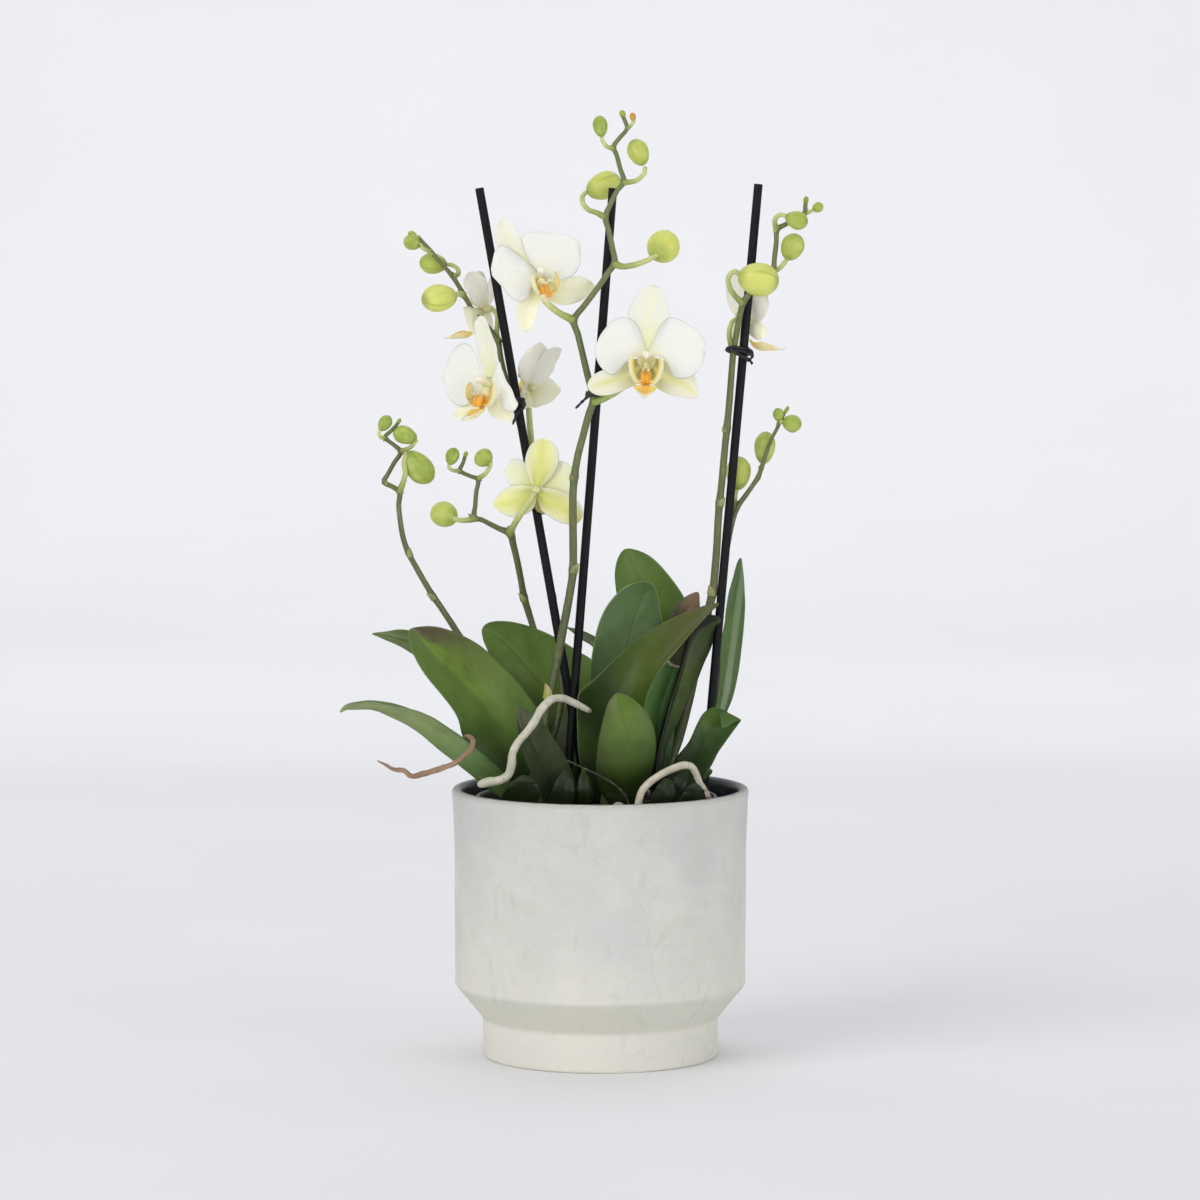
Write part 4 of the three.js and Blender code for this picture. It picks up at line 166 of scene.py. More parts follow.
BUDS = [
    {"spike":"spike_middle","name":"bud_middle_1","a":[27.05,-15.5,391.93],"b":[33.24,-1.5,398.14],"r":7.9,"own":1,"mix":0.55},
    {"spike":"spike_middle","name":"bud_middle_2","a":[-6.46,9.2,421.19],"b":[9.33,12.0,427.46],"r":6.7,"own":1,"mix":0.5},
    {"spike":"spike_middle","name":"bud_middle_3","a":[21.08,-7.0,434.49],"b":[15.76,-7.0,446.36],"r":5.05,"own":1,"mix":0.4},
    {"spike":"spike_middle","name":"bud_middle_4","a":[0.72,-6.0,448.04],"b":[-0.63,-6.0,457.89],"r":3.55,"own":0,"mix":0.15},
    {"spike":"spike_middle","name":"bud_middle_5","a":[16.15,-6.0,455.49],"b":[15.28,-6.0,459.57],"r":1.55,"own":0,"mix":0.9},
    {"spike":"spike_middle","name":"bud_middle_6","a":[11.43,-6.0,457.17],"b":[10.12,-6.0,460.77],"r":1.45,"own":0,"mix":0.0},
    {"spike":"spike_left","name":"bud_left_1","a":[-70.07,5.5,371.21],"b":[-85.58,-3.0,369.19],"r":6.6,"own":1,"mix":0.6},
    {"spike":"spike_left","name":"bud_left_2","a":[-74.78,18.5,385.83],"b":[-87.71,19.0,387.28],"r":5.1,"own":0,"mix":0.3},
    {"spike":"spike_left","name":"bud_left_3","a":[-87.6,9.0,395.17],"b":[-94.94,8.0,398.68],"r":3.75,"own":0,"mix":0.2},
    {"spike":"spike_left","name":"bud_left_4","a":[-89.32,10.0,399.86],"b":[-93.21,10.0,401.8],"r":1.6,"own":0,"mix":0.0},
    {"spike":"spike_right","name":"bud_right_1","a":[66.31,-15.5,381.35],"b":[85.29,-17.0,378.36],"r":8.1,"own":1,"mix":0.8},
    {"spike":"spike_right","name":"bud_right_2","a":[90.25,-5.0,388.9],"b":[95.29,-5.0,400.86],"r":5.6,"own":1,"mix":0.45},
    {"spike":"spike_right","name":"bud_right_3","a":[89.22,-12.0,409.64],"b":[99.57,-12.5,406.77],"r":4.4,"own":0,"mix":0.35},
    {"spike":"spike_right","name":"bud_right_4","a":[102.53,-4.0,412.9],"b":[107.36,-4.0,415.31],"r":2.5,"own":0,"mix":0.3},
    {"spike":"spike_right","name":"bud_right_5","a":[99.09,-4.0,415.31],"b":[99.61,-4.0,419.4],"r":1.25,"own":0,"mix":0.0},
    {"spike":"side_spike_outer_left","name":"bud_outer_left_1","a":[-94.41,0.6,295.05],"b":[-82.73,6.5,281.29],"r":6.5,"own":1,"mix":0.45},
    {"spike":"side_spike_outer_left","name":"bud_outer_left_2","a":[-89.3,5.0,301.47],"b":[-100.38,5.0,305.27],"r":4.35,"own":0,"mix":0.2},
    {"spike":"side_spike_outer_left","name":"bud_outer_left_3","a":[-107.09,5.0,305.76],"b":[-102.54,5.0,312.57],"r":3.2,"own":0,"mix":0.1},
    {"spike":"side_spike_outer_left","name":"bud_outer_left_4","a":[-99.15,5.0,308.68],"b":[-97.05,5.0,311.46],"r":0.95,"own":0,"mix":0.0},
    {"spike":"side_spike_inner_left","name":"bud_inner_left_1","a":[-71.0,3.4,262.95],"b":[-80.79,13.5,265.91],"r":6.2,"own":1,"mix":0.4},
    {"spike":"side_spike_inner_left","name":"bud_inner_left_2","a":[-53.75,7.4,289.29],"b":[-59.62,9.0,294.8],"r":4.75,"own":0,"mix":0.3},
    {"spike":"side_spike_inner_left","name":"bud_inner_left_3","a":[-73.55,10.0,288.74],"b":[-70.85,10.0,296.7],"r":3.3,"own":0,"mix":0.1},
    {"spike":"side_spike_inner_left","name":"bud_inner_left_4","a":[-66.18,10.0,292.06],"b":[-65.15,10.0,295.23],"r":1.1,"own":0,"mix":0.0},
    {"spike":"side_spike_right","name":"bud_side_right_1","a":[66.66,12.0,276.15],"b":[67.99,14.0,292.07],"r":6.0,"own":0,"mix":0.55},
    {"spike":"side_spike_right","name":"bud_side_right_2","a":[79.44,12.8,288.96],"b":[81.16,14.5,304.26],"r":5.1,"own":0,"mix":0.45},
    {"spike":"side_spike_right","name":"bud_side_right_3","a":[88.68,6.3,310.32],"b":[97.44,6.0,308.14],"r":4.3,"own":0,"mix":0.3},
    {"spike":"side_spike_right","name":"bud_side_right_4","a":[87.25,7.0,310.03],"b":[86.25,7.0,316.37],"r":2.7,"own":0,"mix":0.2},
    {"spike":"side_spike_right","name":"bud_side_right_5","a":[89.18,7.0,313.2],"b":[91.75,7.0,317.44],"r":0.95,"own":0,"mix":0.0},
]

CLIPS = [
    
     {"name":"clip_left","stake":[-40.52,12.38,319.29],"stem":[-42.4,16.55,319.29],"axis":[-1.74,0.34,9.84],"reach":3.3,"rise":1.2,"tails":[[[-37.63,7.6,320.97,0.9],
     [-37.13,6.8,318.57,1.0],[-37.89,8.2,316.06,0.9]],[[-39.61,9.5,315.02,0.75],[-41.32,9.5,312.1,0.7],[-42.56,10.5,308.63,0.6]]]},
    
     {"name":"clip_middle","stake":[-1.58,0.0,322.98],"stem":[-3.82,-7.5,322.98],"axis":[0.77,0.0,9.97],"reach":3.3,"rise":1.0,"tails":[[[-1.59,-12.0,324.82,0.75],
     [-4.98,-12.6,323.88,0.75],[-8.36,-12.8,320.99,0.72],[-11.74,-12.6,317.6,0.62]],[[0.34,-11.0,325.26,0.75],[2.27,-8.0,324.15,0.8],
     [3.73,-5.0,322.55,0.75]]]},
    
     {"name":"clip_right","stake":[69.39,3.08,343.58],"stem":[64.5,1.2,343.58],"axis":[0.87,-0.13,9.96],"reach":3.3,"rise":1.3,"tails":[[[62.6,-2.6,346.67,0.8],
     [65.24,-3.6,344.29,0.8],[68.64,-3.6,342.11,0.8],[72.07,-2.4,340.6,0.8],[73.55,-1.6,338.63,0.7]],[[71.11,-1.2,346.37,0.75],
     [73.8,-0.6,343.68,0.75],[73.3,-1.4,341.29,0.75],[71.58,-2.3,339.87,0.7]]]},
]

ROOTS = [
    {"name":"aerial_root_left","pts":[[-57.27,-34.0,137.32,1.9],[-54.11,-35.0,138.41,2.05],[-48.79,-36.0,139.26,2.1],[-44.43,-37.0,142.04,2.1],
     [-42.73,-37.5,146.95,2.05],[-42.24,-37.5,152.27,2.0],[-39.6,-37.0,157.78,1.95],[-35.18,-36.0,162.99,1.95],[-31.69,-34.0,167.62,1.95],
     [-29.31,-31.0,171.89,1.9],[-26.2,-28.0,175.45,1.9],[-22.85,-25.0,177.66,1.85],[-18.28,-22.0,177.59,1.8],[-14.19,-19.0,175.72,1.8],
     [-10.08,-17.5,173.61,1.7],[-5.72,-16.5,171.17,1.35]]},
    {"name":"aerial_root_front","pts":[[17.87,-44.0,119.18,1.8],[17.87,-44.0,124.99,1.8],[18.49,-44.0,130.31,1.8],[20.03,-43.0,135.02,1.85],
     [23.41,-41.0,138.65,1.85],[28.73,-38.0,142.16,1.85],[34.54,-35.0,144.71,1.85],[40.37,-32.0,146.16,1.8],[44.02,-30.0,145.1,1.75],
     [46.23,-28.0,141.46,1.75],[47.95,-27.0,136.96,1.75],[50.39,-26.0,133.43,1.7],[53.08,-25.0,128.44,1.6]]},
    {"name":"dry_root","pts":[[-66.74,-20.0,157.91,0.6],[-64.91,-25.0,159.34,0.86],[-62.42,-32.0,159.64,1.07],[-61.25,-37.0,157.78,1.12],
     [-62.65,-39.0,154.38,1.12],[-66.0,-40.0,151.35,1.12],[-70.31,-41.0,148.08,1.2],[-77.04,-41.0,145.52,1.29],[-84.26,-41.0,143.34,1.29],
     [-90.75,-41.0,142.03,1.2],[-94.59,-41.0,144.69,1.12],[-99.19,-40.0,145.06,0.86],[-103.07,-39.0,147.12,0.69],[-106.95,-38.0,148.94,0.34]]},
    {"name":"thin_root","pts":[[-15.83,-30.0,148.25,0.45],[-9.79,-33.0,145.69,0.5],[-0.14,-37.0,141.56,0.55],[6.11,-40.0,138.28,0.55],
     [11.39,-42.0,133.45,0.5],[13.79,-43.0,128.73,0.45]]},
]

CROWNS = [
    {"name":"crown_left","pts":[[-31.88,-3.0,113.92,8.5],[-31.88,-2.0,125.6,9.0],[-30.91,0.0,134.2,7.0],[-29.94,1.0,140.96,4.0]]},
    {"name":"crown_centre","pts":[[5.72,2.0,113.28,9.0],[6.21,2.0,123.62,9.5],[8.17,4.0,133.72,7.5],[9.64,6.0,141.85,4.5]]},
    {"name":"crown_right","pts":[[38.03,4.0,113.03,8.0],[37.53,4.0,123.38,8.5],[38.03,6.0,132.0,6.5],[39.02,7.0,139.27,4.0]]},
]

LEAVES = [
    {"name":"leaf_far_left","L":[[-36.56,-16.0,128.79],[-46.11,-24.0,140.5],[-55.68,-28.0,150.21],[-62.87,-30.0,156.26],[-72.44,-32.0,163.52],
     [-82.0,-34.0,169.55],[-91.58,-35.0,173.77],[-101.2,-35.0,175.95],[-110.82,-35.0,177.4],[-118.57,-34.0,176.81],[-122.96,-33.0,175.01],
     [-125.43,-32.0,172.0]],"R":[[-40.02,-12.0,123.89],[-51.67,-13.0,129.89],[-62.32,-14.0,138.82],[-70.05,-15.0,145.04],[-77.77,-16.0,151.26],
     [-87.38,-18.0,160.03],[-96.98,-20.0,166.33],[-106.52,-23.0,170.55],[-113.64,-26.0,172.18],[-119.78,-29.0,172.75],[-123.06,-31.0,172.86],
     [-125.43,-32.0,172.0]],"th":1.7,"blunt":0,"M":[[-38.29,-13.52,127.79],[-47.94,-17.01,136.29],[-57.42,-19.56,145.74],[-67.55,-21.67,154.5],
     [-78.01,-23.64,162.64],[-88.97,-25.82,169.61],[-101.11,-27.74,174.02],[-113.79,-30.09,175.67],[-125.43,-32.0,172.0]]},
    {"name":"leaf_left_large","L":[[-35.2,-9.0,124.99],[-47.3,-12.0,136.13],[-58.39,-15.0,146.26],[-66.29,-18.5,157.4],[-69.3,-23.0,167.88],
     [-75.71,-26.0,178.16],[-82.14,-28.0,187.58],[-87.89,-28.5,196.35],[-91.28,-27.5,202.55],[-92.83,-24.0,207.55],
     [-92.07,-18.0,210.88]],"R":[[-21.62,-2.0,125.6],[-21.13,-1.0,142.67],[-25.03,0.0,161.21],[-30.9,2.0,170.81],[-39.21,4.0,181.89],
     [-48.98,5.0,192.1],[-58.7,3.5,201.07],[-68.36,0.0,206.79],[-77.94,-5.0,210.18],[-85.52,-11.0,211.31],
     [-92.07,-18.0,210.88]],"th":1.7,"blunt":0,"M":[[-28.41,-3.33,124.33],[-33.28,-2.96,136.71],[-39.99,-3.08,149.06],[-48.05,-3.16,161.3],
     [-55.51,-4.7,173.79],[-64.73,-7.11,185.68],[-75.07,-10.98,196.52],[-85.53,-15.75,205.49],[-92.07,-18.0,210.88]]},
    {"name":"leaf_left_rear","L":[[-29.52,6.0,124.61],[-38.42,14.0,150.79],[-53.2,19.0,174.93],[-70.92,22.0,195.87],[-86.13,22.0,204.26],
     [-97.38,21.0,207.16],[-105.16,19.0,206.6],[-111.95,17.0,205.21]],"R":[[-34.34,0.0,124.36],[-47.57,4.0,149.47],[-62.75,7.0,169.79],
     [-77.44,9.0,186.3],[-90.69,11.0,195.69],[-99.56,13.0,200.17],[-106.0,15.0,202.69],
     [-111.95,17.0,204.72]],"th":1.7,"blunt":0,"M":[[-31.93,3.96,123.04],[-37.8,7.75,136.01],[-44.06,11.18,149.08],[-52.56,13.6,161.44],
     [-61.65,15.51,173.72],[-71.67,16.79,185.68],[-83.91,17.41,195.32],[-97.68,17.61,202.41],[-111.95,17.0,204.97]]},
    {"name":"leaf_centre_left_rear","L":[[-7.52,17.0,123.25],[-0.15,24.0,152.14],[2.81,27.0,176.58],[-3.1,28.0,190.34],[-10.98,28.0,195.79],
     [-19.84,27.0,201.42],[-27.21,26.0,205.37],[-36.05,25.0,208.77],[-45.37,24.0,210.83],[-52.73,23.0,210.83],[-56.39,22.0,209.44],
     [-58.08,20.5,207.35]],"R":[[-16.82,10.0,123.12],[-20.73,10.0,139.9],[-28.55,9.5,155.24],[-38.33,9.5,169.52],[-47.13,10.0,182.27],
     [-53.01,11.0,192.0],[-56.49,14.0,199.59],[-57.79,18.0,204.13],[-58.08,20.5,207.35]],"th":1.7,"blunt":0,"M":[[-12.17,15.19,122.22],
     [-11.56,17.98,135.48],[-11.93,20.26,148.65],[-13.84,21.4,162.04],[-19.1,22.0,174.93],[-28.53,21.69,185.61],[-38.98,20.39,195.29],
     [-49.56,19.91,203.51],[-58.08,20.5,207.35]]},
    {"name":"leaf_low_dark","L":[[-25.39,-16.0,125.86],[-32.63,-19.0,138.44],[-37.42,-22.0,151.46],[-40.29,-23.0,162.28],[-41.02,-22.0,168.98],
     [-39.6,-20.0,173.15]],"R":[[-9.88,-11.0,125.24],[-12.79,-11.0,138.46],[-18.61,-12.0,151.29],[-25.87,-14.0,161.78],[-32.62,-17.0,169.18],
     [-39.6,-20.0,173.15]],"th":1.7,"blunt":0,"M":[[-17.64,-12.05,125.07],[-20.02,-11.94,131.2],[-22.54,-12.11,137.37],[-25.31,-12.81,143.59],
     [-28.1,-13.94,149.87],[-31.15,-15.39,156.08],[-34.24,-17.19,162.24],[-37.19,-18.85,168.2],[-39.6,-20.0,173.15]]},
    {"name":"leaf_front","L":[[4.7,-20.0,124.89],[-0.15,-25.0,133.31],[-2.08,-28.0,142.43],[-1.59,-30.0,153.35],[-0.14,-31.0,162.68],[2.27,-31.0,171.41],
     [4.67,-31.0,177.71],[8.05,-31.0,181.1]],"R":[[16.34,-20.0,124.89],[22.11,-25.0,133.8],[25.46,-28.0,144.37],[26.89,-29.0,154.21],
     [25.9,-30.0,163.54],[22.51,-31.0,171.41],[16.72,-31.0,177.23],[11.9,-31.0,180.37],
     [8.05,-31.0,181.1]],"th":1.7,"blunt":0,"M":[[10.52,-22.89,125.37],[10.93,-28.05,131.89],[11.34,-31.93,139.15],[11.94,-34.34,146.96],
     [12.56,-35.3,154.99],[12.57,-35.41,162.91],[11.66,-34.68,170.33],[9.74,-32.94,176.69],[8.05,-31.0,181.1]]},
    {"name":"leaf_centre_long","L":[[-5.99,-7.0,124.74],[-9.88,-9.0,143.61],[-11.33,-9.5,161.77],[-10.35,-9.0,178.82],[-5.49,-8.0,183.36],
     [-0.15,-6.5,187.85],[5.69,-4.0,193.71],[14.47,-1.0,201.25],[24.22,1.0,208.41],[34.94,1.0,214.28],[46.1,-1.0,218.86],[52.39,-3.0,221.47],
     [57.45,-5.0,222.38]],"R":[[17.35,-13.0,125.49],[19.74,-17.0,144.55],[20.68,-19.0,162.82],[22.12,-20.0,177.53],[26.95,-20.0,187.74],
     [33.24,-19.0,196.88],[40.04,-17.0,204.47],[46.86,-14.0,211.73],[52.74,-10.0,217.7],
     [57.45,-5.0,222.38]],"th":1.7,"blunt":0,"M":[[1.81,-2.0,124.12],[-2.59,-1.0,142.67],[-4.05,0.0,160.72],[0.34,0.0,175.93],[8.63,1.0,186.12],
     [17.89,1.0,194.94],[27.14,0.0,202.14],[37.34,-2.0,208.93],[47.03,-4.0,215.46],[52.84,-5.0,219.45],[57.45,-5.0,222.38]]},
    {"name":"leaf_centre_upright","L":[[1.32,7.0,124.48],[-2.11,12.0,142.63],[-4.56,15.0,162.03],[-5.15,17.0,180.08],[-4.32,18.0,194.77],
     [-1.13,19.0,209.46],[3.29,19.0,219.07],[9.17,19.0,225.71],[15.05,19.0,229.65],[21.91,18.0,231.21]],"R":[[17.5,9.0,125.22],[25.37,14.0,150.79],
     [30.79,18.0,175.04],[32.28,21.0,194.48],[30.81,23.0,209.1],[29.08,22.5,219.5],[27.83,21.0,225.54],[25.6,19.5,229.85],
     [21.91,18.0,231.21]],"th":1.7,"blunt":0,"M":[[9.41,9.93,124.37],[10.1,14.23,137.9],[11.06,17.59,151.7],[11.94,20.04,165.86],[13.07,21.8,180.23],
     [14.3,22.85,194.8],[15.67,23.31,209.22],[18.69,21.87,222.66],[21.91,18.0,231.21]]},
    {"name":"leaf_rear_tall","L":[[13.65,24.0,127.34],[11.72,36.0,159.74],[9.76,42.0,189.97],[9.51,45.0,213.57],[7.78,46.0,224.42],[7.18,46.5,232.83],
     [8.77,46.5,240.28],[12.23,46.0,244.79]],"R":[[27.41,20.0,128.82],[43.23,28.0,169.04],[49.19,32.0,193.42],[46.23,34.0,210.58],[41.57,36.5,221.26],
     [34.94,40.0,231.37],[27.55,43.0,239.07],[20.15,45.5,243.59],[12.23,46.0,244.79]],"th":1.7,"blunt":0,"M":[[20.53,23.93,127.6],
     [23.24,29.19,142.46],[25.96,34.14,157.41],[28.1,37.73,172.88],[29.58,40.47,188.75],[27.88,42.06,204.94],[23.82,44.12,220.27],
     [17.56,45.94,234.53],[12.23,46.0,244.79]]},
    {"name":"leaf_rear_low","L":[[19.66,36.0,125.88],[16.72,44.0,155.88],[11.77,49.0,180.3],[4.32,51.0,195.08],[-5.11,50.0,202.16],[-11.07,49.0,204.49],
     [-16.77,48.0,206.08]],"R":[[14.74,42.0,125.15],[10.3,51.0,153.1],[5.33,55.5,175.65],[-0.15,56.0,189.6],[-6.12,54.0,197.29],[-11.58,51.5,201.02],
     [-16.77,48.0,205.08]],"th":1.7,"blunt":0,"M":[[17.2,39.48,126.48],[15.76,43.06,138.31],[14.32,46.56,149.99],[12.45,49.51,161.51],
     [10.04,51.79,172.86],[6.71,53.43,183.78],[1.71,53.98,194.03],[-6.88,51.78,201.2],[-16.77,48.0,205.58]]},
    {"name":"leaf_brown_tip","L":[[31.29,15.0,128.44],[28.84,17.5,151.88],[28.35,19.5,171.43],[29.34,21.5,190.98],[31.8,23.0,205.64],[35.72,23.5,216.45],
     [41.12,23.5,222.62],[47.99,23.0,225.37]],"R":[[36.75,19.0,127.95],[36.99,20.0,144.17],[40.68,20.5,152.53],[43.38,21.0,163.36],
     [45.34,21.6,175.16],[47.53,22.0,190.93],[48.51,23.0,205.64],[48.99,23.5,215.47],[48.84,23.5,220.89],
     [47.99,23.0,225.37]],"th":1.7,"blunt":0,"M":[[34.02,17.96,128.19],[33.43,19.55,140.87],[34.6,20.95,153.2],[35.96,22.06,165.73],
     [37.15,22.97,178.36],[38.48,23.52,191.0],[40.14,24.08,203.59],[43.11,24.09,215.71],[47.99,23.0,225.37]]},
    {"name":"leaf_broken_top","L":[[26.72,0.0,123.87],[22.31,0.0,144.03],[20.11,1.0,159.63],[20.84,2.0,171.3],[24.76,4.0,181.89],[28.68,5.5,188.86],
     [32.6,7.0,194.6]],"R":[[34.61,5.0,123.25],[34.6,6.0,143.33],[36.56,7.5,158.91],[38.76,9.0,171.05],[40.23,9.5,179.37],
     [40.22,9.5,187.73]],"th":1.7,"blunt":1,"M":[[30.66,3.7,123.56],[29.66,4.55,132.2],[28.66,5.2,140.83],[28.2,5.93,149.49],[28.16,6.56,158.14],
     [29.08,7.07,166.79],[31.21,7.75,175.13],[33.91,8.1,183.26],[36.41,8.25,191.16]]},
    {"name":"leaf_right_narrow","L":[[27.66,-4.0,124.37],[27.39,-4.0,145.48],[30.06,-4.0,157.24],[33.46,-4.0,170.47],[36.86,-3.5,180.7],
     [39.55,-2.5,189.41],[42.24,-1.0,199.05],[44.43,0.0,207.76],[47.36,1.0,214.03],[52.49,1.5,216.19],[58.34,1.5,214.48]],"R":[[33.1,2.0,123.62],
     [31.13,3.0,144.66],[33.84,5.0,153.78],[38.5,7.0,163.4],[42.67,8.5,173.07],[46.58,9.0,181.38],[50.72,9.0,191.71],[54.34,7.5,200.2],
     [56.96,5.0,207.3],[58.34,1.5,214.48]],"th":1.7,"blunt":0,"M":[[30.38,0.45,124.0],[29.73,1.51,136.63],[30.29,2.6,149.12],[33.97,4.04,161.07],
     [38.28,5.05,172.86],[42.81,5.67,184.62],[46.84,5.85,196.53],[51.18,4.52,208.19],[58.34,1.5,214.48]]},
    {"name":"leaf_right_tall","L":[[46.01,13.5,125.66],[48.46,14.5,139.37],[51.4,15.5,152.1],[54.83,16.2,163.88],[57.53,16.7,172.71],[58.5,17.0,182.54],
     [59.69,17.0,197.33],[61.14,17.0,212.11],[62.58,17.0,224.41],[64.77,17.0,233.75],[68.91,17.0,242.59]],"R":[[50.59,22.0,124.61],[52.34,24.5,138.2],
     [56.05,26.5,150.86],[60.98,27.5,162.65],[64.92,28.0,171.52],[67.86,28.5,183.86],[69.57,29.0,196.18],[70.76,28.5,208.6],[71.19,27.0,221.09],
     [70.54,22.0,233.34],[68.91,17.0,242.59]],"th":1.7,"blunt":0,"M":[[48.64,23.0,122.5],[50.4,26.0,138.02],[53.61,27.5,150.75],[57.55,28.2,162.58],
     [60.5,28.5,171.47],[62.46,29.0,183.31],[64.89,29.0,197.17],[66.3,27.5,211.16],[67.17,24.0,223.81],[68.03,20.0,234.0],[68.91,17.0,242.59]]},
    {"name":"leaf_right_folded","L":[[29.52,-12.0,126.34],[32.93,-10.0,139.32],[37.07,-9.0,147.53],[42.91,-8.0,154.75],[47.05,-7.0,163.45],
     [50.47,-6.0,168.97],[54.86,-5.5,171.61],[59.24,-5.5,170.63],[62.64,-6.0,168.73],[65.54,-7.0,167.37],
     [68.41,-9.0,165.63]],"R":[[39.09,-22.0,125.14],[45.38,-22.0,132.46],[50.46,-22.0,139.28],[54.33,-21.5,145.8],[57.75,-19.5,151.66],
     [61.41,-18.0,156.61],[64.88,-14.5,161.34],[67.13,-11.5,163.94],[68.41,-9.0,165.63]],"th":1.7,"blunt":0,"M":[[34.3,-15.94,125.26],
     [37.59,-14.73,131.69],[41.13,-13.78,138.16],[45.27,-13.07,144.5],[49.43,-12.33,150.89],[53.01,-11.21,157.64],[57.75,-10.17,163.5],
     [63.43,-9.08,165.36],[68.41,-9.0,165.63]]},
]

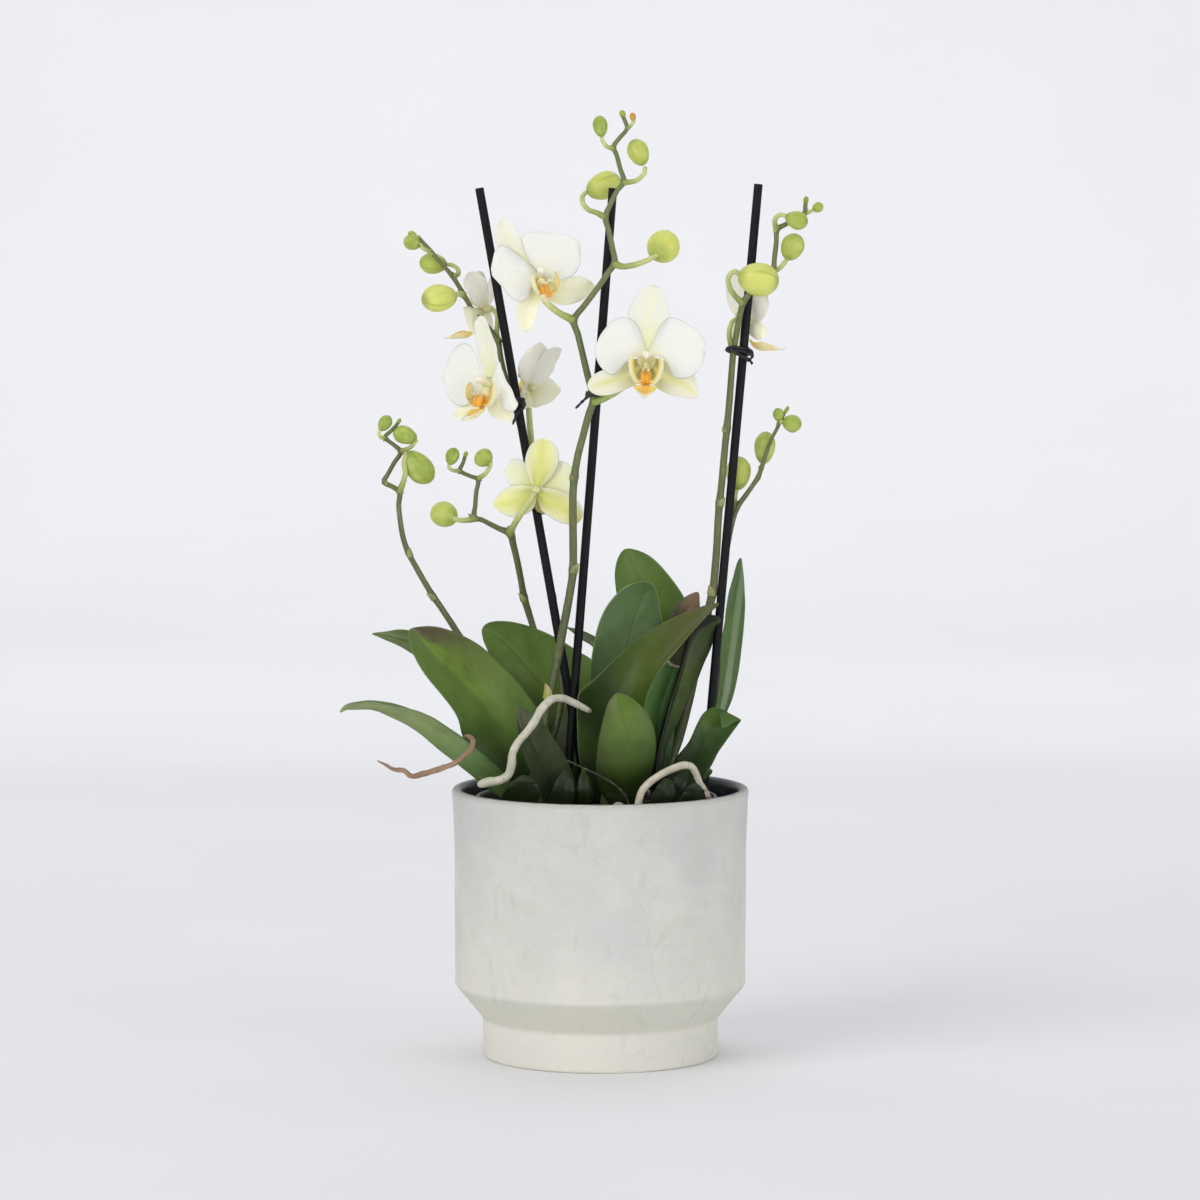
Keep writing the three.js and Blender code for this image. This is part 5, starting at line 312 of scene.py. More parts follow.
FLOWERS = [
    
     {"name":"flower_1","c":[-29.35,-9.0,380.46],"n":[0.2231,-0.9735,-0.0507],"up":[-0.478,-0.1546,0.8647],"petals":[{"kind":"sepal_dorsal","L":[[-31.52,-9.61,382.64],
     [-39.2,-11.44,387.02],[-46.88,-13.14,391.88],[-50.71,-13.91,398.14],[-50.95,-13.73,403.9],[-46.87,-12.42,408.45]],"R":[[-29.59,-9.24,384.08],
     [-33.43,-10.37,391.81],[-35.83,-10.83,396.16],[-38.71,-11.33,401.46],[-42.06,-11.84,406.76],[-46.87,-12.42,408.45]],"cup":-1.2},
     {"kind":"sepal_right","L":[[-26.72,-7.25,378.24],[-20.93,-5.92,379.66],[-14.65,-4.37,380.58],[-9.82,-3.09,381.27],[-5.47,-1.71,379.06],
     [-2.57,-0.56,375.64]],"R":[[-28.17,-7.39,374.39],[-24.32,-6.15,369.04],[-18.53,-4.56,367.06],[-12.73,-3.05,367.74],[-6.93,-1.6,370.59],
     [-2.57,-0.56,375.64]],"cup":-1.0},{"kind":"sepal_low","L":[[-31.54,-8.36,378.27],[-36.36,-9.04,371.54],[-40.71,-9.65,367.22],
     [-40.24,-8.95,359.96],[-38.81,-8.13,355.58],[-36.41,-7.19,354.1]],"R":[[-28.65,-7.6,376.32],[-28.66,-7.17,369.55],[-30.12,-7.04,363.76],
     [-31.81,-6.96,358.92],[-33.51,-6.88,355.05],[-36.41,-7.19,354.1]],"cup":-1.0},{"kind":"petal_left","L":[[-30.06,-10.12,383.14],
     [-35.34,-11.66,387.99],[-41.57,-13.5,393.33],[-47.32,-15.15,396.0],[-50.2,-15.93,393.86],[-51.4,-16.27,390.02],[-52.13,-16.49,385.22],
     [-51.65,-16.55,381.86]],"R":[[-30.55,-10.03,379.28],[-33.44,-10.54,374.96],[-34.65,-10.73,370.63],[-38.26,-11.66,368.97],[-42.58,-12.96,370.45],
     [-46.4,-14.35,375.07],[-49.75,-15.62,378.95],[-51.65,-16.55,381.86]],"cup":-1.6},{"kind":"petal_right","L":[[-30.06,-10.12,383.14],
     [-34.38,-11.42,387.99],[-36.77,-12.41,394.26],[-37.72,-13.05,399.57],[-33.87,-12.5,402.2],[-26.66,-11.07,402.42],[-19.44,-9.61,401.43],
     [-13.17,-8.36,399.72],[-9.8,-7.72,396.58]],"R":[[-26.7,-9.18,379.74],[-22.84,-8.35,379.24],[-18.02,-7.43,379.21],[-13.67,-6.76,380.88],
     [-10.77,-6.58,384.5],[-9.32,-6.87,389.81],
     [-9.8,-7.72,396.58]],"cup":-1.6}],"lip_scale":0.9,"lip_n":[0.2232,-0.9739,0.0406],"lip_up":[-0.162,0.004,0.9868]},
    {"name":"flower_2","c":[22.25,-19.0,340.57],"n":[0.0,-0.9998,0.02],"up":[0.03,0.02,0.9994],"petals":[{"kind":"sepal_dorsal","L":[[20.08,-18.91,344.9],
     [16.71,-18.68,352.11],[13.58,-18.36,359.31],[13.81,-17.98,365.55],[16.46,-17.58,370.83],[20.07,-17.15,374.91],[22.96,-16.71,376.82],
     [25.37,-16.27,377.28]],"R":[[24.41,-18.91,344.9],[29.22,-18.69,351.63],[33.07,-18.36,359.31],[32.83,-17.97,366.52],[31.14,-17.57,371.31],
     [28.98,-17.15,374.91],[27.06,-16.71,376.82],[25.37,-16.27,377.28]],"cup":-1.4},{"kind":"sepal_left","L":[[20.57,-17.96,342.69],
     [14.31,-17.88,341.0],[6.12,-17.71,337.62],[-0.14,-17.43,335.69],[-4.24,-17.11,332.78],[-6.17,-16.75,327.94]],"R":[[22.02,-18.1,335.71],
     [18.17,-18.1,329.93],[11.91,-17.93,326.55],[4.68,-17.67,324.13],[-2.07,-17.28,324.11],[-6.17,-16.75,327.94]],"cup":-1.2},
     {"kind":"sepal_right","L":[[24.42,-17.96,342.69],[30.69,-17.88,341.0],[38.89,-17.72,337.14],[44.68,-17.45,334.72],[46.62,-17.16,329.89],
     [47.12,-16.85,323.12]],"R":[[22.98,-18.1,335.71],[25.88,-18.12,328.97],[30.7,-17.96,325.34],[36.49,-17.68,323.4],[42.77,-17.31,322.42],
     [47.12,-16.85,323.12]],"cup":-1.2},{"kind":"petal_left","L":[[22.48,-19.71,344.93],[20.31,-19.63,351.66],[18.14,-19.63,357.43],
     [14.77,-19.71,360.8],[9.96,-19.88,361.53],[5.39,-20.13,359.62],[2.02,-20.44,356.02],[-0.87,-20.8,351.23],
     [-2.07,-21.2,345.47]],"R":[[20.56,-19.77,342.05],[16.22,-19.81,342.53],[12.37,-19.97,340.13],[9.48,-20.2,336.29],[6.6,-20.43,333.89],
     [2.74,-20.62,335.1],[-0.39,-20.79,338.48],[-2.07,-20.97,342.58],[-2.07,-21.2,345.47]],"cup":-1.4},
     {"kind":"petal_right","L":[[22.96,-19.71,344.93],[26.33,-19.64,351.66],[29.21,-19.66,357.92],[33.05,-19.77,361.53],[38.34,-20.01,360.57],
     [44.11,-20.35,356.98],[48.44,-20.71,353.63],[50.37,-21.14,348.35]],"R":[[23.93,-19.76,342.53],[28.74,-19.8,343.01],[31.63,-19.94,340.13],
     [33.56,-20.14,336.28],[35.96,-20.37,332.44],[40.78,-20.55,332.21],[45.58,-20.71,334.14],[48.7,-20.85,338.24],[50.14,-20.99,343.06],
     [50.37,-21.14,348.35]],"cup":-1.4}],"lip_scale":1.0,"lip_n":[-0.03,-0.9988,-0.04],"lip_up":[0.0282,-0.0408,0.9988]},
    
     {"name":"flower_3","c":[-53.4,-6.0,327.92],"n":[-0.4507,-0.8913,0.0501],"up":[0.0226,0.0447,0.9987],"petals":[{"kind":"sepal_dorsal","L":[[-54.87,-5.04,331.76],
     [-58.05,-2.88,339.41],[-59.77,-1.37,346.14],[-60.51,-0.29,352.39],[-61.0,0.72,358.17],[-58.81,0.32,361.82]],"R":[[-51.93,-6.55,331.34],
     [-49.73,-7.13,338.62],[-50.22,-6.21,345.84],[-51.94,-4.61,352.55],[-54.88,-2.34,358.76],[-58.81,0.32,361.82]],"cup":-1.2},
     {"kind":"sepal_left","L":[[-55.39,-4.02,325.41],[-61.28,-1.12,321.88],[-66.69,1.7,318.82],[-70.64,3.87,315.8],
     [-72.14,4.89,313.31]],"R":[[-54.41,-4.75,321.08],[-56.38,-3.97,315.22],[-60.8,-1.69,311.47],[-67.2,1.84,310.79],
     [-72.14,4.89,313.31]],"cup":-1.0},{"kind":"sepal_right","L":[[-52.45,-5.44,326.45],[-48.54,-7.43,324.12],[-44.64,-9.36,320.34],
     [-42.21,-10.5,316.04],[-43.2,-9.82,311.89]],"R":[[-54.9,-4.48,321.55],[-53.93,-5.13,315.28],[-50.02,-6.91,311.74],
     [-43.2,-9.82,311.89]],"cup":-1.0},{"kind":"petal_left","L":[[-54.36,-6.25,330.84],[-58.27,-4.05,336.56],[-60.71,-2.61,343.76],
     [-64.63,-0.66,348.29],[-69.53,1.43,347.24],[-73.46,2.76,342.58],[-75.43,3.01,337.22],[-75.66,2.34,331.91]],"R":[[-55.34,-6.0,326.47],
     [-60.24,-3.87,322.49],[-64.66,-2.12,318.53],[-69.56,-0.03,317.94],[-73.24,1.58,321.26],[-75.19,2.37,326.57],[-75.66,2.34,331.91]],"cup":-1.8},
     {"kind":"petal_right","L":[[-52.9,-7.02,330.39],[-51.42,-7.53,336.22],[-49.22,-8.63,340.14],[-47.75,-9.89,335.84],[-45.55,-11.61,331.08],
     [-43.11,-13.44,327.3],[-41.65,-14.87,323.03],[-40.91,-16.0,318.25]],"R":[[-52.9,-7.26,326.05],[-49.96,-9.23,321.78],[-47.03,-11.45,317.54],
     [-43.61,-13.97,315.49],[-40.91,-16.0,318.25]],"cup":-0.8}],"lip_scale":0.98,"lip_n":[-0.722,-0.6919,0.0],"lip_up":[-0.0115,0.012,0.9999]},
    
     {"name":"flower_4","c":[-56.82,21.0,364.31],"n":[-0.9236,0.3694,-0.1026],"up":[-0.0718,0.0962,0.9928],"petals":[{"kind":"sepal_dorsal","L":[[-57.8,21.0,365.77],
     [-60.69,20.0,371.66],[-62.15,20.0,377.02],[-61.65,20.0,380.92],[-59.21,20.0,383.11]],"R":[[-55.84,21.0,365.77],[-54.85,21.0,371.63],
     [-55.33,21.0,377.48],[-56.78,20.5,381.39],[-59.21,20.0,383.11]],"cup":-0.8},{"kind":"sepal_right","L":[[-58.75,20.0,364.34],[-63.0,14.0,365.99],
     [-66.29,9.0,365.66],[-65.52,7.0,360.38],[-63.85,8.0,355.01],[-61.21,9.0,351.81]],"R":[[-56.79,19.5,362.89],[-59.14,15.0,360.11],
     [-60.03,11.0,355.87],[-61.21,9.0,351.81]],"cup":-0.8},{"kind":"sepal_left","L":[[-57.31,21.0,363.33],[-56.94,26.0,360.72],[-55.58,31.0,357.62],
     [-53.7,35.0,355.51]],"R":[[-55.37,21.5,364.29],[-53.26,26.0,363.17],[-52.63,31.0,359.58],[-53.7,35.0,355.51]],"cup":-0.5},
     {"kind":"petal_right","L":[[-58.75,20.0,364.34],[-61.56,15.0,366.93],[-64.33,9.0,371.49],[-66.41,5.0,375.49],
     [-66.83,3.0,379.42]],"R":[[-56.31,20.0,365.8],[-55.25,16.5,371.76],[-55.39,12.0,377.24],[-57.48,8.0,381.23],[-61.3,5.0,383.0],
     [-65.14,3.5,382.55],[-66.83,3.0,379.42]],"cup":-0.8},{"kind":"petal_left","L":[[-56.35,22.0,365.74],[-55.74,28.0,370.93],[-55.38,35.0,376.61],
     [-54.25,40.0,379.91]],"R":[[-55.38,22.0,365.25],[-53.03,27.0,367.54],[-51.91,33.0,371.77],[-52.5,38.0,376.04],
     [-54.25,40.0,379.91]],"cup":-0.6}],"lip_scale":0.95,"lip_n":[-0.9847,0.1231,0.1231],"lip_up":[0.1326,0.0725,0.9885]},
    
     {"name":"flower_5","c":[-34.67,24.0,326.54],"n":[-0.6211,0.6612,0.4208],"up":[0.295,-0.3002,0.9071],"petals":[{"kind":"sepal_dorsal","L":[[-36.85,21.9,326.63],
     [-39.21,16.78,331.27],[-39.89,13.51,335.56],[-38.41,12.38,339.75],[-35.96,12.22,343.9],[-33.29,13.09,346.79],
     [-30.39,15.01,348.42]],"R":[[-32.98,25.64,326.46],[-29.55,25.82,331.35],[-26.84,25.05,336.78],[-25.11,23.72,341.73],[-26.54,20.03,345.78],
     [-30.39,15.01,348.42]],"cup":-0.6},{"kind":"petal_right","L":[[-35.38,21.75,327.13],[-33.63,19.35,333.6],[-31.41,18.12,339.02],
     [-28.47,18.28,343.41],[-24.1,21.29,345.49],[-20.22,25.15,345.58]],"R":[[-32.49,25.83,324.98],[-28.1,27.9,328.32],[-24.92,28.71,331.96],
     [-22.22,28.79,336.13],[-20.49,27.81,340.58],[-20.22,25.15,345.58]],"cup":-0.6},{"kind":"sepal_right","L":[[-33.46,24.85,326.99],
     [-29.08,27.43,329.57],[-24.7,31.39,330.12],[-21.79,35.93,327.71],[-20.84,39.46,324.1]],"R":[[-35.43,25.52,323.03],[-35.0,29.23,317.95],
     [-32.11,33.95,315.01],[-28.21,37.13,316.08],[-24.05,40.11,317.9],[-20.84,39.46,324.1]],"cup":-0.8},
     {"kind":"petal_left","L":[[-35.86,20.97,327.65],[-37.3,19.36,328.22],[-38.52,19.35,326.75],[-38.8,20.99,324.23]],"R":[[-34.43,23.95,325.07],
     [-35.18,24.62,323.08],[-36.88,23.83,322.13],[-38.8,20.99,324.23]],"cup":-0.2},{"kind":"sepal_left","L":[[-36.38,23.63,324.59],
     [-39.06,22.42,322.69],[-40.06,23.59,319.7],[-38.41,27.41,316.56],[-35.52,31.68,314.63]],"R":[[-33.97,25.97,324.48],[-32.55,30.08,320.36],
     [-33.07,32.16,316.82],[-35.52,31.68,314.63]],"cup":-0.5}],"lip_scale":0.9,"lip_n":[-0.6732,0.6732,0.306],"lip_up":[0.2137,-0.219,0.952]},
    
     {"name":"flower_6","c":[-30.79,2.0,276.95],"n":[0.2609,0.9635,-0.0602],"up":[0.1267,0.0277,0.9916],"petals":[{"kind":"sepal_dorsal","L":[[-32.75,2.62,278.37],
     [-35.92,3.85,285.6],[-36.89,4.35,291.91],[-35.17,4.0,297.29],[-31.75,3.02,300.75],[-27.6,1.67,302.05]],"R":[[-28.84,1.56,278.44],
     [-23.48,0.37,283.87],[-20.31,-0.25,290.24],[-20.31,-0.13,295.58],[-22.98,0.61,300.16],[-27.6,1.67,302.05]],"cup":-1.4},
     {"kind":"sepal_left","L":[[-31.77,2.35,278.39],[-37.63,3.93,279.5],[-43.98,5.44,278.67],[-48.39,6.26,276.18],[-50.83,6.45,272.99],
     [-51.66,6.14,269.35]],"R":[[-30.79,1.76,273.06],[-32.5,1.82,267.94],[-36.65,2.6,264.96],[-43.01,4.0,263.4],[-48.38,5.32,265.5],
     [-51.66,6.14,269.35]],"cup":-1.2},{"kind":"sepal_right","L":[[-29.82,1.83,278.42],[-21.53,-0.47,277.6],[-15.2,-2.33,275.29],
     [-10.34,-3.91,271.01],[-8.15,-4.8,266.21],[-9.86,-4.59,262.3]],"R":[[-30.79,1.76,273.06],[-28.84,0.87,267.28],[-24.46,-0.54,263.72],
     [-19.1,-2.15,261.15],[-13.26,-3.77,260.54],[-9.86,-4.59,262.3]],"cup":-1.2},{"kind":"petal_left","L":[[-32.28,4.83,279.2],[-34.73,5.99,285.96],
     [-37.17,7.11,290.77],[-41.58,8.6,291.9],[-44.52,9.55,290.13],[-45.26,9.79,285.72]],"R":[[-32.77,4.78,276.28],[-37.66,6.21,276.18],
     [-42.56,7.85,277.54],[-44.77,8.97,280.89],[-45.26,9.79,285.72]],"cup":1.4},{"kind":"petal_right","L":[[-28.87,3.91,279.26],[-24.96,3.36,286.12],
     [-21.55,2.88,290.78],[-17.65,2.05,290.83],[-13.76,1.13,288.69],[-11.33,0.48,283.87]],"R":[[-28.38,3.59,276.36],[-22.53,1.88,272.57],
     [-16.68,0.5,272.17],[-12.78,0.07,277.07],
     [-11.33,0.48,283.87]],"cup":1.4}],"lip_scale":0.9,"lip_n":[0.2631,0.9614,0.081],"lip_up":[0.0907,-0.1082,0.99]},
    
     {"name":"flower_7","c":[70.04,14.5,361.11],"n":[0.9468,0.3054,-0.1018],"up":[0.1016,0.0166,0.9947],"petals":[{"kind":"sepal_dorsal","L":[[68.83,15.0,364.5],
     [67.62,16.0,370.8],[69.07,16.0,377.62],[72.96,16.0,382.48]],"R":[[71.51,15.0,364.5],[74.91,15.0,370.34],[76.36,15.0,376.67],
     [72.96,16.0,382.48]],"cup":-0.8},{"kind":"sepal_left","L":[[70.98,13.0,360.67],[74.28,9.0,360.32],[77.6,6.0,359.45],[79.94,3.0,356.64],
     [80.65,2.0,353.28],[78.5,3.0,350.09]],"R":[[70.25,13.0,358.23],[71.37,9.0,353.51],[74.22,6.0,350.46],[78.5,3.0,350.09]],"cup":-0.7},
     {"kind":"sepal_right","L":[[69.11,16.0,359.11],[66.29,20.0,357.99],[63.98,25.0,353.91],[65.06,29.0,348.87],
     [68.06,31.0,346.34]],"R":[[70.58,16.0,357.16],[71.21,21.0,352.59],[70.4,27.0,348.45],[68.06,31.0,346.34]],"cup":-0.7},
     {"kind":"petal_left","L":[[70.49,13.0,363.59],[72.74,7.0,369.12],[75.02,2.0,374.12],[78.25,-3.0,377.16]],"R":[[71.47,13.0,360.18],
     [76.17,7.0,358.2],[79.9,2.0,361.04],[81.73,-1.0,366.95],[81.65,-3.0,373.3],[78.25,-3.0,377.16]],"cup":-0.9},
     {"kind":"petal_right","L":[[69.1,16.0,363.0],[66.28,20.0,361.17],[63.49,26.0,364.64],[62.13,31.0,370.35],[63.19,35.0,376.61],
     [66.2,38.0,382.91]],"R":[[70.07,16.0,365.93],[69.73,22.0,372.09],[69.41,29.0,377.75],[68.55,34.0,382.03],
     [66.2,38.0,382.91]],"cup":-0.9}],"lip_scale":1.05,"lip_n":[0.9922,-0.1209,0.0302],"lip_up":[-0.0265,0.0325,0.9991]},
]

LEAF_LOOK = {
    'leaf_far_left': {'front': (148, 162, 108), 'back': (95, 124, 62), 'seed': 1.1, 'upper': False, 'groove': 0.35, 'edge': (84, 100, 58), 'rough': 0.46, 'tip': (138, 146, 102), 'dark': 0.3, 'low': (104, 138, 74), 'rib': 0.1},
    'leaf_left_large': {'front': (108, 134, 50), 'low': (86, 117, 40), 'back': (122, 138, 92), 'seed': 2.3, 'groove': 0.55, 'brown': 0.95, 'side': 1.0, 'reach': 0.3, 'tip': (96, 90, 64), 'tip_from': 0.86, 'edge': (116, 118, 78), 'waves': 1.3, 'ruffle': 0.7, 'brown_c': (86, 74, 54), 'tint_and_painted_shading': (-1.0, 0.0, 1.05, (78, 104, 46), 0.6), 'rib': 0.12, 'from': 0.5},
    'leaf_left_rear': {'front': (104, 118, 74), 'back': (84, 106, 54), 'seed': 3.7, 'upper': False, 'groove': 0.4, 'rough': 0.46, 'edge': (140, 148, 104)},
    'leaf_centre_left_rear': {'front': (84, 109, 44), 'low': (62, 86, 31), 'back': (112, 128, 82), 'seed': 4.2, 'edge': (120, 134, 84), 'stripe': (118, 132, 84), 'stripe_w': 0.5, 'tint_and_painted_shading': (-1.0, 0.0, 0.55, (150, 185, 96), 0.8)},
    'leaf_low_dark': {'rib': 0.2, 'veins': 0.04, 'front': (56, 66, 33), 'back': (84, 90, 62), 'seed': 5.9, 'tip': (92, 100, 72), 'tip_from': 0.6, 'edge': (98, 94, 68), 'rough': 0.5, 'painted_shade_top': 0.176, 'dark': 0.8},
    'leaf_front': {'rib': 0.1, 'groove': 0.12, 'veins': 0.04, 'spec': 0.26, 'front': (90, 113, 45), 'low': (64, 97, 25), 'back': (110, 124, 78), 'seed': 6.4, 'edge': (130, 138, 88), 'waves': 1.2, 'ruffle': 0.25, 'brown': 0.5, 'side': -1.0, 'reach': 0.45, 'brown_c': (91, 89, 59), 'from': 0.1},
    'leaf_centre_long': {'rib': 0.08, 'groove': 0.15, 'veins': 0.03, 'spec': 0.2, 'front': (72, 83, 24), 'low': (51, 78, 13), 'back': (112, 126, 82), 'seed': 7.7, 'edge': (108, 116, 68), 'waves': 1.3, 'ruffle': 0.3, 'tip': (85, 89, 48), 'tip_from': 0.62, 'tint_and_painted_shading': (-1.0, 0.18, 0.5, (34, 50, 18), 0.8)},
    'leaf_centre_upright': {'front': (87, 115, 69), 'low': (67, 96, 51), 'back': (104, 126, 90), 'seed': 8.8, 'edge': (176, 196, 120), 'rough': 0.34, 'rib': 0.18, 'groove': 0.3},
    'leaf_rear_tall': {'rib': 0.12, 'groove': 0.2, 'veins': 0.04, 'front': (106, 136, 57), 'low': (75, 110, 35), 'back': (112, 132, 84), 'seed': 9.3, 'edge': (122, 142, 86)},
    'leaf_rear_low': {'front': (150, 160, 132), 'back': (150, 160, 132), 'seed': 10.1, 'edge': (150, 158, 126), 'stripe': (150, 158, 128), 'stripe_w': 1.2, 'upper': False},
    'leaf_brown_tip': {'rib': 0.2, 'front': (62, 54, 40), 'low': (34, 40, 22), 'back': (70, 62, 48), 'seed': 11.5, 'tip': (146, 122, 94), 'tip_from': 0.76, 'edge': (110, 92, 76), 'rough': 0.5},
    'leaf_broken_top': {'rib': 0.2, 'front': (92, 140, 70), 'low': (54, 84, 40), 'back': (92, 104, 70), 'seed': 12.6, 'tip': (186, 176, 150), 'tip_from': 0.985, 'edge': (50, 70, 36), 'painted_shade_top': 0.16},
    'leaf_right_narrow': {'rib': 0.15, 'veins': 0.04, 'front': (54, 65, 27), 'low': (38, 63, 21), 'back': (104, 122, 80), 'seed': 13.2, 'edge': (104, 104, 58), 'groove': 0.2, 'tint_and_painted_shading': (-1.0, 0.0, 1.05, (10, 18, 6), 1.0)},
    'leaf_right_tall': {'front': (78, 104, 55), 'low': (70, 94, 58), 'back': (112, 134, 94), 'seed': 14.4, 'stripe': (146, 160, 130), 'stripe_at': 3.2, 'stripe_w': 2.5, 'edge': (120, 140, 98), 'rough': 0.36, 'dark': 0.5},
    'leaf_right_folded': {'rib': 0.1, 'veins': 0.03, 'spec': 0.24, 'front': (46, 73, 19), 'low': (37, 60, 17), 'back': (82, 101, 59), 'seed': 15.8, 'edge': (84, 104, 56), 'rough': 0.38, 'groove': 0.05, 'ruffle': 0.15},
}
# small blades that belong to a leaf or a crown: two edges, thickness, seed
FLAPS = {"leaf_broken_top": [[[[32.09, 5.5, 193.52], [33.32, 5.8, 191.28], [35.28, 6.6, 189.98], [37.75, 8.0, 189.35], [40.7, 9.2, 188.84]],
    [[33.08, 6.6, 194.0], [34.31, 6.9, 192.21], [36.03, 7.7, 191.05], [38.25, 9.0, 190.43], [40.7, 9.2, 188.84]], 0.7, 5.0]], "leaf_right_folded": [[[[57.46, -9.0, 170.27], [58.14, -11.5, 166.88], [59.1, -12.5, 161.86]],
    [[68.36, -11.0, 166.09], [64.44, -12.5, 164.3], [61.52, -12.8, 162.38], [59.1, -12.5, 161.86]], 1.1, 1.0],
    [[[49.21, -24.0, 139.03], [50.64, -25.0, 141.83], [52.31, -25.5, 143.84], [54.26, -25.0, 142.81]],
    [[50.18, -24.0, 137.57], [52.1, -24.5, 139.58], [53.54, -25.0, 140.86], [54.26, -25.0, 142.81]], 1.0, 2.0]]}
SHEATHS = {"crown_right": [[[[26.64, -8.0, 124.87], [30.0, -12.0, 131.73], [34.83, -14.0, 137.84], [41.64, -13.0, 141.63], [47.02, -11.0, 142.37]],
    [[43.45, -22.0, 125.14], [46.39, -20.0, 130.26], [47.89, -17.0, 134.78], [47.94, -14.0, 139.31], [47.02, -11.0, 142.37]], 1.6, 1.0],
    [[[36.57, -29.0, 126.02], [39.45, -30.0, 131.49], [42.82, -30.0, 136.35], [46.74, -27.0, 138.42]],
    [[49.17, -27.0, 125.77], [50.62, -27.0, 130.15], [50.12, -27.0, 135.01], [46.74, -27.0, 138.42]], 1.5, 2.0],
    [[[23.09, -24.0, 125.39], [25.0, -26.0, 131.49], [28.38, -26.0, 136.35], [32.76, -24.0, 139.03]],
    [[34.69, -25.0, 125.52], [36.61, -26.0, 130.51], [36.13, -25.0, 135.26], [32.76, -24.0, 139.03]], 1.4, 6.0]], "crown_centre": [[[[-12.77, -16.0, 125.86], [-11.78, -19.0, 131.12], [-11.05, -19.0, 136.0], [-9.84, -18.0, 139.78], [-8.16, -15.0, 142.85]],
    [[-3.54, -16.0, 125.86], [-3.06, -18.0, 130.99], [-4.03, -18.0, 135.88], [-5.97, -17.0, 139.66], [-8.16, -15.0, 142.85]], 1.6, 3.0],
    [[[-25.36, -20.0, 124.89], [-23.38, -23.0, 133.07], [-20.47, -23.0, 139.4], [-16.62, -20.0, 142.46]],
    [[-13.24, -20.0, 124.89], [-12.25, -22.0, 131.97], [-13.22, -21.0, 138.19], [-16.62, -20.0, 142.46]], 1.5, 4.0],
    [[[3.73, -24.0, 125.39], [2.76, -27.0, 131.61], [3.72, -27.0, 137.45], [6.14, -25.0, 141.1]],
    [[13.4, -26.0, 125.64], [13.38, -29.0, 131.85], [10.48, -28.0, 137.57], [6.14, -25.0, 141.1]], 1.5, 7.0]], "crown_left": [[[[-49.59, -20.0, 126.36], [-45.64, -24.0, 133.68], [-41.74, -25.0, 138.18], [-36.93, -23.0, 140.38]],
    [[-31.17, -20.0, 124.89], [-29.21, -22.0, 131.48], [-31.13, -23.0, 136.97], [-36.93, -23.0, 140.38]], 1.6, 5.0]]}

# ------------------------------------------------------------------ small helpers
MM = 0.001


def lin(r, g, b):
    """An sRGB colour in 0..255 as the linear colour that a shader socket takes."""
    out = []
    for c in (r, g, b):
        c = c / 255.0
        out.append(c / 12.92 if c <= 0.04045 else ((c + 0.055) / 1.055) ** 2.4)
    return (*out, 1.0)


def spline(points, per=16):
    """Dense points of a centripetal Catmull-Rom curve through points, of any number of columns (the first three are the place)."""
    p = np.asarray(points, float)
    if len(p) == 2:
        t = np.linspace(0, 1, per + 1)[:, None]
        return p[0] * (1 - t) + p[1] * t
    p = np.vstack([2 * p[0] - p[1], p, 2 * p[-1] - p[-2]])
    out = []
    for i in range(1, len(p) - 2):
        a, b, c, d = p[i - 1], p[i], p[i + 1], p[i + 2]
        t0 = 0.0
        t1 = t0 + max(np.linalg.norm((b - a)[:3]), 1e-6) ** 0.5
        t2 = t1 + max(np.linalg.norm((c - b)[:3]), 1e-6) ** 0.5
        t3 = t2 + max(np.linalg.norm((d - c)[:3]), 1e-6) ** 0.5
        t = np.linspace(t1, t2, per, endpoint=False)[:, None]
        a1 = (t1 - t) / (t1 - t0) * a + (t - t0) / (t1 - t0) * b
        a2 = (t2 - t) / (t2 - t1) * b + (t - t1) / (t2 - t1) * c
        a3 = (t3 - t) / (t3 - t2) * c + (t - t2) / (t3 - t2) * d
        b1 = (t2 - t) / (t2 - t0) * a1 + (t - t0) / (t2 - t0) * a2
        b2 = (t3 - t) / (t3 - t1) * a2 + (t - t1) / (t3 - t1) * a3
        out.append((t2 - t) / (t2 - t1) * b1 + (t - t1) / (t2 - t1) * b2)
    out.append(p[-2][None, :])
    return np.vstack(out)


def arc(p):
    return np.concatenate([[0], np.cumsum(np.linalg.norm(np.diff(p[:, :3], axis=0), axis=1))])


def at(p, fractions):
    """Points of the polyline p at these fractions of its length."""
    s = arc(p)
    f = np.asarray(fractions) * s[-1]
    return np.stack([np.interp(f, s, p[:, k]) for k in range(p.shape[1])], 1)


def unit(v):
    v = np.asarray(v, float)
    return v / np.maximum(np.linalg.norm(v, axis=-1, keepdims=True), 1e-12)


def smooth(x, a, b):
    t = np.clip((x - a) / (b - a), 0, 1)
    return t * t * (3 - 2 * t)


